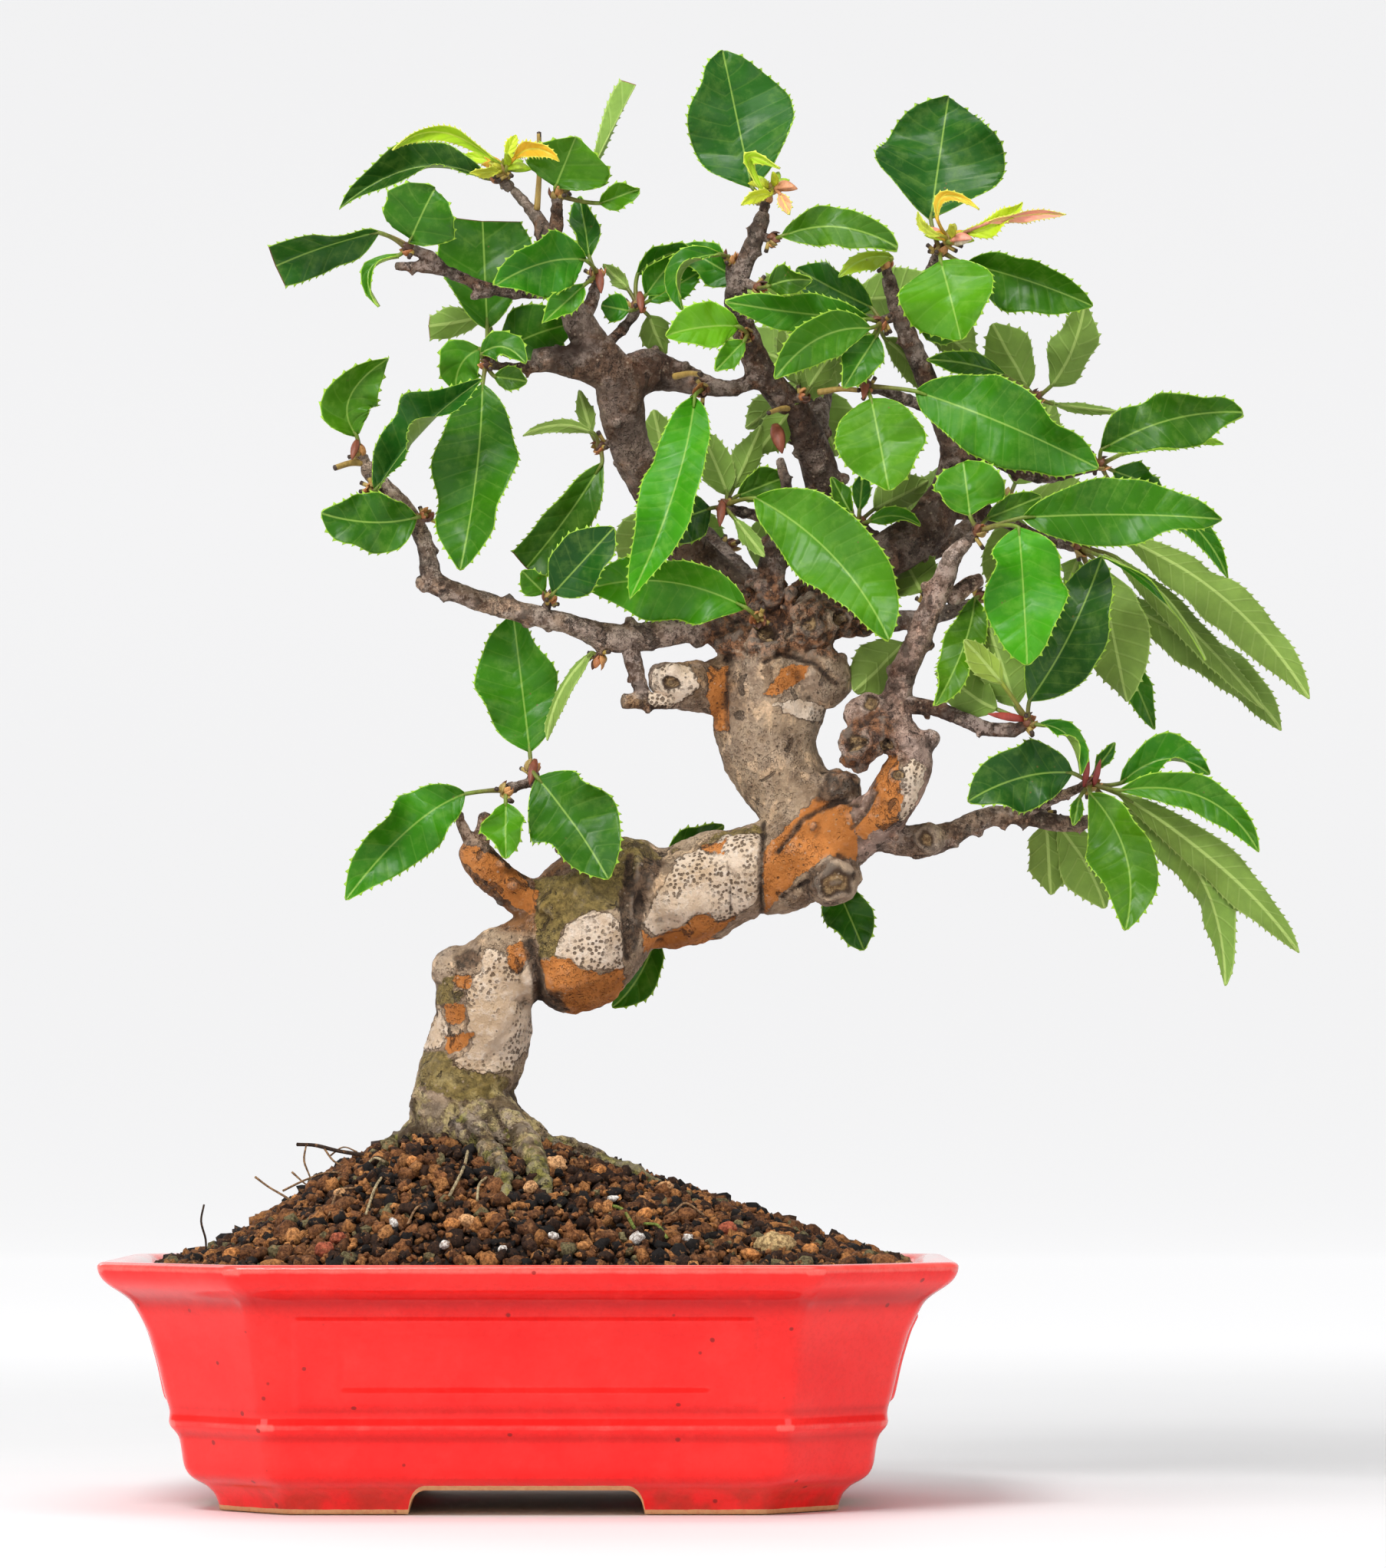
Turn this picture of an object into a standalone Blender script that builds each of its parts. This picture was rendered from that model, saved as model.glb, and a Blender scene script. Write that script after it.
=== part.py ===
"""Chinese quince bonsai in a glazed, cut-corner pot, at its real size. Metres, +Z up.

Lengths below are in millimetres and become metres where a mesh is made. The tree was read from one front
view, so its points are written as (u, w, y): u to the right and w up, as they appear on the plane y = 0,
and y the depth behind that plane. in_space() turns such a reading into its real place.
"""

import math
import random

import bmesh
import bpy
from mathutils import Matrix, Vector, noise

MM = 0.001
SEAT_GAP = 0.3

# The eye of the front view.
EYE_X = 34.6
EYE_Z = 81.0
EYE_DISTANCE = 1300.0

# Pot: a rectangle with cut corners, longer than deep by the same amount at every height.
LENGTH_OVER_DEPTH = 20.4
RIM_HALF = 90.4
RIM_CORNER_LEG = 30.2
CORNER_SHRINK = 0.586
CORNER_SOFTNESS = 2.4
POT_PROFILE = [
    (65.2, 0.0),
    (66.3, 3.4),
    (70.6, 6.5),
    (72.7, 9.5),
    (73.7, 16.0),
    (75.3, 17.5),
    (75.5, 19.3),
    (76.5, 24.2),
    (78.0, 31.0),
    (79.8, 37.1),
    (83.5, 43.8),
    (85.9, 45.7),
    (89.2, 48.1),
    (90.4, 50.8),
    (88.6, 52.2),
]
FLOOR_Z = 11.5
CAVITY_PROFILE = [
    (68.5, FLOOR_Z),
    (70.2, 18.0),
    (72.6, 30.0),
    (75.2, 38.0),
    (79.0, 44.0),
    (82.4, 48.0),
    (84.6, 53.0),
]
FOOT_WIDTH = 8.5
POT_REACH = 110.0
RECESS_TOP = 4.7
ARCH_TOP = 5.1
FRONT_ARCH_HALF = 24.5
END_ARCH_HALF = 15.0
ARCH_SHOULDER = 3.5
DRAIN_X = 42.0
DRAIN_RADIUS = 6.5
PANEL_RISE = 1.2
PANEL_SINK = 0.9
PANEL_LOW = 22.5
PANEL_HIGH = 41.5
PANEL_BORDER_X = 9.5
PANEL_BORDER_Z = 3.6
FRONT_PANEL_HALF = 47.6
END_PANEL_HALF = 27.0

# Drainage mesh squares over the drain holes.
MESH_SIDE = 24.0
MESH_THICKNESS = 1.0
MESH_BAR = 3.0
MESH_HOLES = 2

# Soil: a granular mound. Ridge heights as (x, z), highest over the root of the trunk.
TRUNK_X = -14.0
SOIL_EDGE_Z = 48.6
SOIL_RIDGE = [
    (-84.0, 49.2),
    (-71.0, 52.6),
    (-59.0, 59.0),
    (-47.0, 68.0),
    (-36.0, 74.5),
    (-24.0, 79.0),
    (-6.0, 79.0),
    (10.0, 75.0),
    (28.0, 68.5),
    (50.0, 61.0),
    (67.0, 54.5),
    (84.0, 49.0),
]
SOIL_HALF_DEPTH = 64.0
SOIL_FALL = 1.6
SOIL_PITCH = 9.2
GRAIN_RELIEF = 1.3

# Wood: each limb is a row of stations (u, w, y, radius).
TRUNK = [
    (-14.0, 66.0, 0, 10.0),
    (-14.3, 78.0, 0, 12.2),
    (-15.0, 84.0, 0, 11.4),
    (-14.8, 90.0, 0, 10.7),
    (-12.6, 96.0, 0, 10.4),
    (-10.6, 103.0, -1, 10.4),
    (-9.8, 110.0, -2, 10.2),
    (-5.0, 115.0, -3, 9.2),
    (2.0, 117.0, -3, 11.5),
    (9.0, 119.0, -3, 14.0),
    (13.5, 127.0, -2, 14.2),
    (19.0, 132.0, 0, 11.6),
    (26.0, 130.0, 1, 10.6),
    (34.0, 131.0, 1, 10.8),
    (43.0, 134.5, 0, 10.3),
    (52.0, 136.5, -1, 10.2),
    (59.0, 140.0, -1, 10.6),
    (60.0, 147.0, 0, 9.4),
    (55.5, 154.0, 1, 9.0),
    (51.8, 161.0, 2, 10.6),
    (51.0, 169.0, 2, 11.9),
    (51.6, 177.0, 2, 11.4),
    (53.0, 185.0, 3, 9.6),
    (54.0, 191.0, 4, 6.5),
]
LIMBS = {
    "left_stub": [
        (5.0, 127.0, -2, 5.5),
        (-3.0, 130.5, -6, 4.4),
        (-8.0, 134.5, -8, 4.0),
        (-12.5, 139.0, -9, 3.7),
        (-14.5, 141.5, -9, 2.4),
    ],
    "left_stub_twig": [(-12.5, 140.5, -9, 1.9), (-15.0, 144.5, -9, 1.3), (-16.6, 149.0, -10, 1.0)],
    "left_stub_peg": [(-12.0, 139.0, -8, 2.2), (-10.9, 144.0, -7, 1.9), (-10.4, 148.0, -6, 1.5)],
    "left_stub_thorn": [(-5.0, 132.0, -7, 2.2), (-7.4, 128.8, -8, 1.3)],
    "spur_riser": [
        (9.0, 136.0, 6, 2.6),
        (6.0, 146.0, 5, 2.0),
        (2.5, 153.0, 1, 1.6),
        (0.2, 155.8, -2, 1.3),
    ],
    "spur_riser_end": [(1.5, 154.6, 0, 1.2), (-2.0, 154.6, -4, 1.1), (-4.0, 153.8, -6, 1.0)],
    "long_left": [
        (52.0, 187.0, 2, 5.0),
        (44.0, 188.5, -1, 4.4),
        (36.0, 188.6, -3, 3.4),
        (30.0, 187.8, -4, 3.0),
        (23.0, 186.4, -5, 3.1),
        (16.0, 186.6, -6, 3.0),
        (8.0, 189.2, -7, 2.3),
        (0.0, 191.4, -8, 2.2),
        (-8.0, 193.2, -8, 2.3),
        (-15.0, 195.6, -9, 2.2),
        (-21.5, 198.4, -9, 2.5),
        (-22.8, 203.0, -9, 2.1),
        (-24.2, 208.5, -9, 2.0),
        (-27.5, 213.5, -9, 2.2),
        (-32.0, 218.5, -10, 2.1),
        (-35.3, 222.6, -10, 2.0),
        (-36.4, 224.4, -10, 1.7),
    ],
    "long_left_peg": [(-22.0, 198.0, -9, 2.0), (-25.3, 198.6, -9, 1.5)],
    "pruned_stub": [
        (47.0, 176.0, 2, 7.0),
        (39.0, 175.5, -1, 5.6),
        (33.0, 176.2, -4, 5.6),
        (28.0, 177.6, -6, 4.0),
        (26.0, 178.0, -7, 2.6),
    ],
    "pruned_stub_peg": [(34.0, 172.8, -4, 2.0), (27.0, 172.6, -7, 1.8), (19.4, 172.6, -8, 1.8)],
    "cross_twig": [(20.6, 186.0, -5, 2.0), (21.6, 181.0, -6, 1.9), (24.0, 173.6, -7, 1.7)],
    "upper_left": [
        (53.0, 187.0, 4, 6.4),
        (46.0, 192.5, 8, 5.6),
        (38.5, 199.5, 11, 5.2),
        (30.5, 210.0, 12, 4.9),
        (24.5, 221.0, 10, 4.6),
        (20.5, 229.0, 7, 4.4),
        (18.8, 236.5, 4, 4.9),
        (17.6, 243.0, 2, 4.8),
        (13.2, 249.5, 0, 4.3),
        (9.6, 256.0, -3, 3.4),
        (6.6, 261.5, -5, 2.6),
        (4.4, 267.0, -6, 2.1),
        (3.2, 272.5, -6, 2.5),
        (1.0, 277.5, -5, 1.5),
        (-2.0, 281.5, -5, 1.2),
        (-5.0, 284.7, -5, 1.0),
    ],
    "upper_left_stub": [
        (17.0, 243.5, 1, 3.9),
        (10.0, 246.0, -2, 3.5),
        (4.0, 247.2, -4, 3.1),
        (0.2, 247.0, -5, 2.6),
    ],
    "upper_left_stub_twig": [(2.0, 245.8, -5, 1.5), (-4.0, 245.4, -7, 1.2), (-8.4, 245.8, -8, 1.0)],
    "upper_left_fork": [(3.6, 272.0, -6, 1.9), (4.8, 277.0, -5, 1.6), (5.0, 281.0, -5, 1.2)],
    "side_twig": [
        (6.6, 261.8, -5, 1.6),
        (-2.0, 261.8, -8, 1.4),
        (-10.0, 262.8, -10, 1.4),
        (-18.0, 266.0, -12, 1.3),
        (-24.0, 267.3, -13, 1.2),
        (-30.2, 267.7, -14, 1.1),
    ],
    "side_twig_thorn": [(-9.0, 262.2, -10, 1.2), (-13.8, 260.8, -11, 0.9)],
    "side_twig_spur": [(-19.6, 266.6, -12, 1.3), (-22.6, 269.6, -13, 1.4), (-25.0, 270.6, -13, 1.2)],
    "left_spur": [(10.4, 255.0, -3, 1.9), (12.6, 260.0, -3, 1.5), (13.5, 263.4, -2, 1.2)],
    "centre_left_spur": [(14.0, 249.0, 0, 1.5), (18.0, 252.6, 2, 1.3), (21.4, 256.4, 4, 1.1)],
    "crossing": [
        (18.5, 241.0, 3, 4.4),
        (25.0, 244.4, 7, 4.6),
        (31.0, 243.4, 8, 3.9),
        (37.0, 241.6, 7, 2.4),
        (43.0, 240.8, 5, 1.9),
        (49.0, 243.0, 4, 1.6),
    ],
    "leader": [
        (55.0, 187.0, 5, 6.2),
        (61.0, 195.0, 10, 5.0),
        (65.0, 204.0, 14, 4.6),
        (65.6, 212.5, 16, 4.4),
        (62.6, 221.0, 15, 4.3),
        (60.0, 229.0, 13, 4.0),
        (56.0, 236.5, 10, 3.4),
        (51.0, 242.8, 6, 3.1),
        (47.4, 249.0, 4, 3.0),
        (44.8, 256.0, 3, 2.7),
        (44.0, 262.5, 2, 2.4),
        (46.2, 269.0, 1, 2.0),
        (48.6, 274.5, 0, 1.9),
        (50.0, 279.4, 0, 1.7),
    ],
    "leader_peg": [(44.0, 261.0, 2, 1.8), (42.9, 265.4, 2, 1.5), (42.8, 267.2, 2, 1.1)],
    "centre_twig": [
        (50.5, 188.0, 0, 4.6),
        (51.2, 196.0, -3, 3.7),
        (51.8, 203.5, -3, 2.9),
        (53.4, 211.0, -2, 1.8),
        (55.0, 218.5, 0, 1.4),
        (53.4, 225.5, 1, 1.2),
    ],
    "centre_twig_spur": [(53.4, 212.0, -2, 1.5), (47.5, 213.2, -3, 1.3), (43.0, 214.2, -3, 1.2)],
    "centre_peg": [(50.0, 193.0, -2, 2.0), (47.6, 198.0, -4, 1.8), (48.2, 201.0, -5, 1.2)],
    "thin_riser": [(56.0, 189.0, -2, 1.6), (55.2, 193.0, -5, 1.3), (56.4, 198.0, -6, 1.0)],
    "right_leader": [
        (58.0, 187.0, 2, 6.0),
        (66.0, 196.0, 3, 4.9),
        (73.0, 202.2, 3, 4.6),
        (79.0, 205.4, 4, 5.0),
        (86.0, 211.0, 6, 4.8),
        (90.2, 218.5, 8, 4.3),
        (91.6, 227.0, 8, 3.4),
        (88.8, 234.5, 6, 2.8),
        (85.6, 242.5, 4, 2.5),
        (82.2, 250.5, 2, 2.2),
        (79.4, 257.5, 0, 2.0),
        (77.0, 265.4, 0, 1.6),
    ],
    "right_leader_fork": [(80.2, 255.5, 1, 1.7), (84.0, 262.0, -1, 1.4), (87.2, 268.4, -3, 1.2)],
    "right_side": [
        (91.8, 225.5, 8, 3.0),
        (98.0, 227.0, 6, 2.6),
        (104.0, 224.4, 3, 2.3),
        (110.0, 221.8, 1, 1.8),
        (116.0, 222.4, 0, 1.4),
        (121.6, 223.6, -2, 1.1),
    ],
    "right_back_twig": [(92.0, 227.5, 8, 1.7), (100.0, 232.6, 9, 1.4), (107.4, 237.2, 8, 1.1)],
    "right_mid_twig": [(88.0, 235.6, 6, 1.5), (81.0, 238.4, 2, 1.3), (74.4, 240.6, -2, 1.0)],
    "hanging_twig": [
        (88.5, 214.0, 7, 1.9),
        (99.0, 213.0, 7, 1.6),
        (109.0, 208.6, 4, 1.4),
        (116.4, 206.4, 1, 1.2),
    ],
    "back_spur": [(79.0, 207.0, 5, 1.8), (74.6, 208.4, 5, 1.2), (72.2, 210.0, 4, 1.0)],
    "dark_limb": [
        (64.0, 189.5, 0, 3.6),
        (72.0, 189.6, 0, 2.6),
        (80.0, 190.2, 1, 2.3),
        (88.0, 191.4, 0, 1.9),
        (95.4, 194.0, -3, 1.2),
    ],
    "pale_right_base": [
        (60.0, 139.0, -2, 8.5),
        (68.0, 143.4, -7, 6.6),
        (75.5, 148.0, -11, 5.4),
        (79.8, 154.6, -13, 5.5),
        (81.6, 161.5, -13, 4.6),
        (78.5, 167.0, -12, 4.4),
        (78.6, 172.0, -11, 3.6),
        (80.0, 178.0, -12, 2.9),
        (83.0, 185.0, -13, 2.8),
        (86.0, 192.0, -14, 2.7),
        (89.0, 199.0, -16, 2.5),
        (91.0, 204.0, -18, 2.1),
        (94.6, 207.8, -19, 1.3),
    ],
    "pale_right_peg": [(82.0, 161.0, -13, 3.2), (85.6, 164.0, -13, 2.4), (87.2, 165.6, -13, 1.9)],
    "pale_right_knob": [(78.0, 168.0, -12, 4.6), (72.5, 164.5, -14, 4.4), (68.6, 159.6, -15, 3.2)],
    "pale_right_cap": [(76.0, 170.0, -12, 3.8), (71.5, 170.5, -13, 3.6), (68.8, 168.6, -15, 2.4)],
    "mid_right_twig": [
        (80.0, 172.0, -12, 2.2),
        (87.0, 171.0, -14, 1.7),
        (93.0, 168.8, -16, 1.7),
        (99.0, 166.4, -18, 1.6),
        (104.6, 166.3, -20, 1.5),
    ],
    "pale_stub": [(90.4, 194.4, -14, 1.8), (94.0, 197.6, -12, 1.9), (97.2, 199.2, -11, 1.5)],
    "lower_right": [
        (73.0, 145.0, -8, 4.5),
        (79.0, 142.6, -7, 3.5),
        (85.2, 142.4, -5, 3.5),
        (90.6, 143.8, -4, 2.5),
        (96.6, 146.8, -2, 2.3),
        (103.0, 148.0, -1, 2.1),
        (109.6, 147.0, 0, 2.0),
        (114.6, 145.9, 0, 2.0),
        (120.6, 146.6, 0, 1.5),
    ],
    "lower_right_spur": [
        (106.0, 148.2, -1, 1.5),
        (111.4, 150.8, -4, 1.3),
        (115.6, 152.6, -7, 1.2),
        (118.8, 153.8, -9, 1.0),
    ],
    "back_left_limb": [
        (50.0, 186.0, 8, 5.0),
        (47.0, 196.0, 20, 3.6),
        (41.0, 204.0, 32, 2.8),
        (35.0, 211.0, 41, 2.1),
        (31.0, 215.5, 46, 1.3),
    ],
    "back_right_limb": [
        (58.0, 186.0, 8, 5.0),
        (68.0, 194.0, 20, 3.6),
        (80.0, 202.0, 30, 2.9),
        (92.0, 209.0, 37, 2.2),
        (102.0, 214.0, 42, 1.3),
    ],
    "back_top_limb": [
        (61.0, 225.0, 14, 3.0),
        (62.0, 236.0, 23, 2.6),
        (64.0, 247.0, 30, 2.1),
        (65.6, 256.0, 34, 1.3),
    ],
}
# Knots and healed wounds: (u, w, y, radius).
KNOTS = [
    (-17.0, 114.5, -4, 5.0),
    (64.5, 134.5, -8, 6.6),
    (66.0, 153.0, -3, 5.2),
    (60.0, 189.0, -3, 6.0),
    (50.0, 182.0, -5, 6.0),
    (67.5, 191.0, -2, 3.6),
    (43.5, 186.0, -2, 5.0),
    (62.0, 178.0, -2, 7.0),
    (85.4, 142.6, -7, 3.6),
    (20.5, 124.0, -4, 7.5),
    (80.0, 155.6, -16, 3.8),
]
# Surface roots: plan stations (x, y, radius, height of the centre over the soil).
ROOTS = {
    "front_left": [(-15, -5, 5.5, 5), (-13, -12, 4.2, 3), (-9, -20, 3.0, 1), (-6, -29, 2.2, 0.4), (-4, -36, 1.3, -0.6)],
    "front_right": [(-9, -5, 6.0, 5), (-4, -12, 5.0, 3.2), (0, -19, 3.8, 1.4), (3, -26, 2.6, 0), (5, -31, 1.4, -1)],
    "right": [(-6, -2, 6.0, 4), (4, -4, 4.2, 2.6), (13, -5, 2.9, 1.6), (22, -6, 2.0, 0.8), (30, -8, 1.2, -0.4)],
    "left": [(-21, 0, 5.5, 4), (-29, -2, 3.4, 1.6), (-36, -3, 2.3, 0.6), (-43, -2, 1.3, -0.6)],
    "back_left": [(-19, 6, 5.5, 4), (-25, 15, 3.6, 1.6), (-31, 24, 2.4, 0.4), (-35, 31, 1.4, -0.6)],
    "back": [(-13, 6, 6.0, 4), (-11, 16, 4.2, 2.0), (-7, 26, 2.8, 0.6), (-6, 35, 1.6, -0.6)],
    "back_right": [(-8, 5, 5.5, 4), (1, 11, 3.8, 2.0), (10, 18, 2.5, 0.8), (18, 22, 1.4, -0.6)],
}
BURIED_RADIUS = 9.0
BURIED_Z = 46.0

LEAF_THICKNESS = 0.62
SMALL_HALF_WIDTH = 3.3
HUB_RADIUS = 1.45
HUB_SIDES = 6
STALK_HALF = 0.55
YOUNG_STALK_HALF = 0.45


def leaf(base, tip, half_width, roll=0, fold=12, bend=(0, 0, 0), wave=0.0, cut=1.0):
    """One leaf: (u, w, y) of its blade's base and tip, and its half width in mm.

    roll turns the blade about its length, 0 with the upper side to the front. fold lifts its two halves.
    bend moves the middle of its length, wave lifts its edge in turns, and cut is where it was cut across.
    """
    return {
        "base": base,
        "tip": tip,
        "half_width": half_width,
        "roll": roll,
        "fold": fold,
        "bend": bend,
        "wave": wave,
        "cut": cut,
    }


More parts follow.
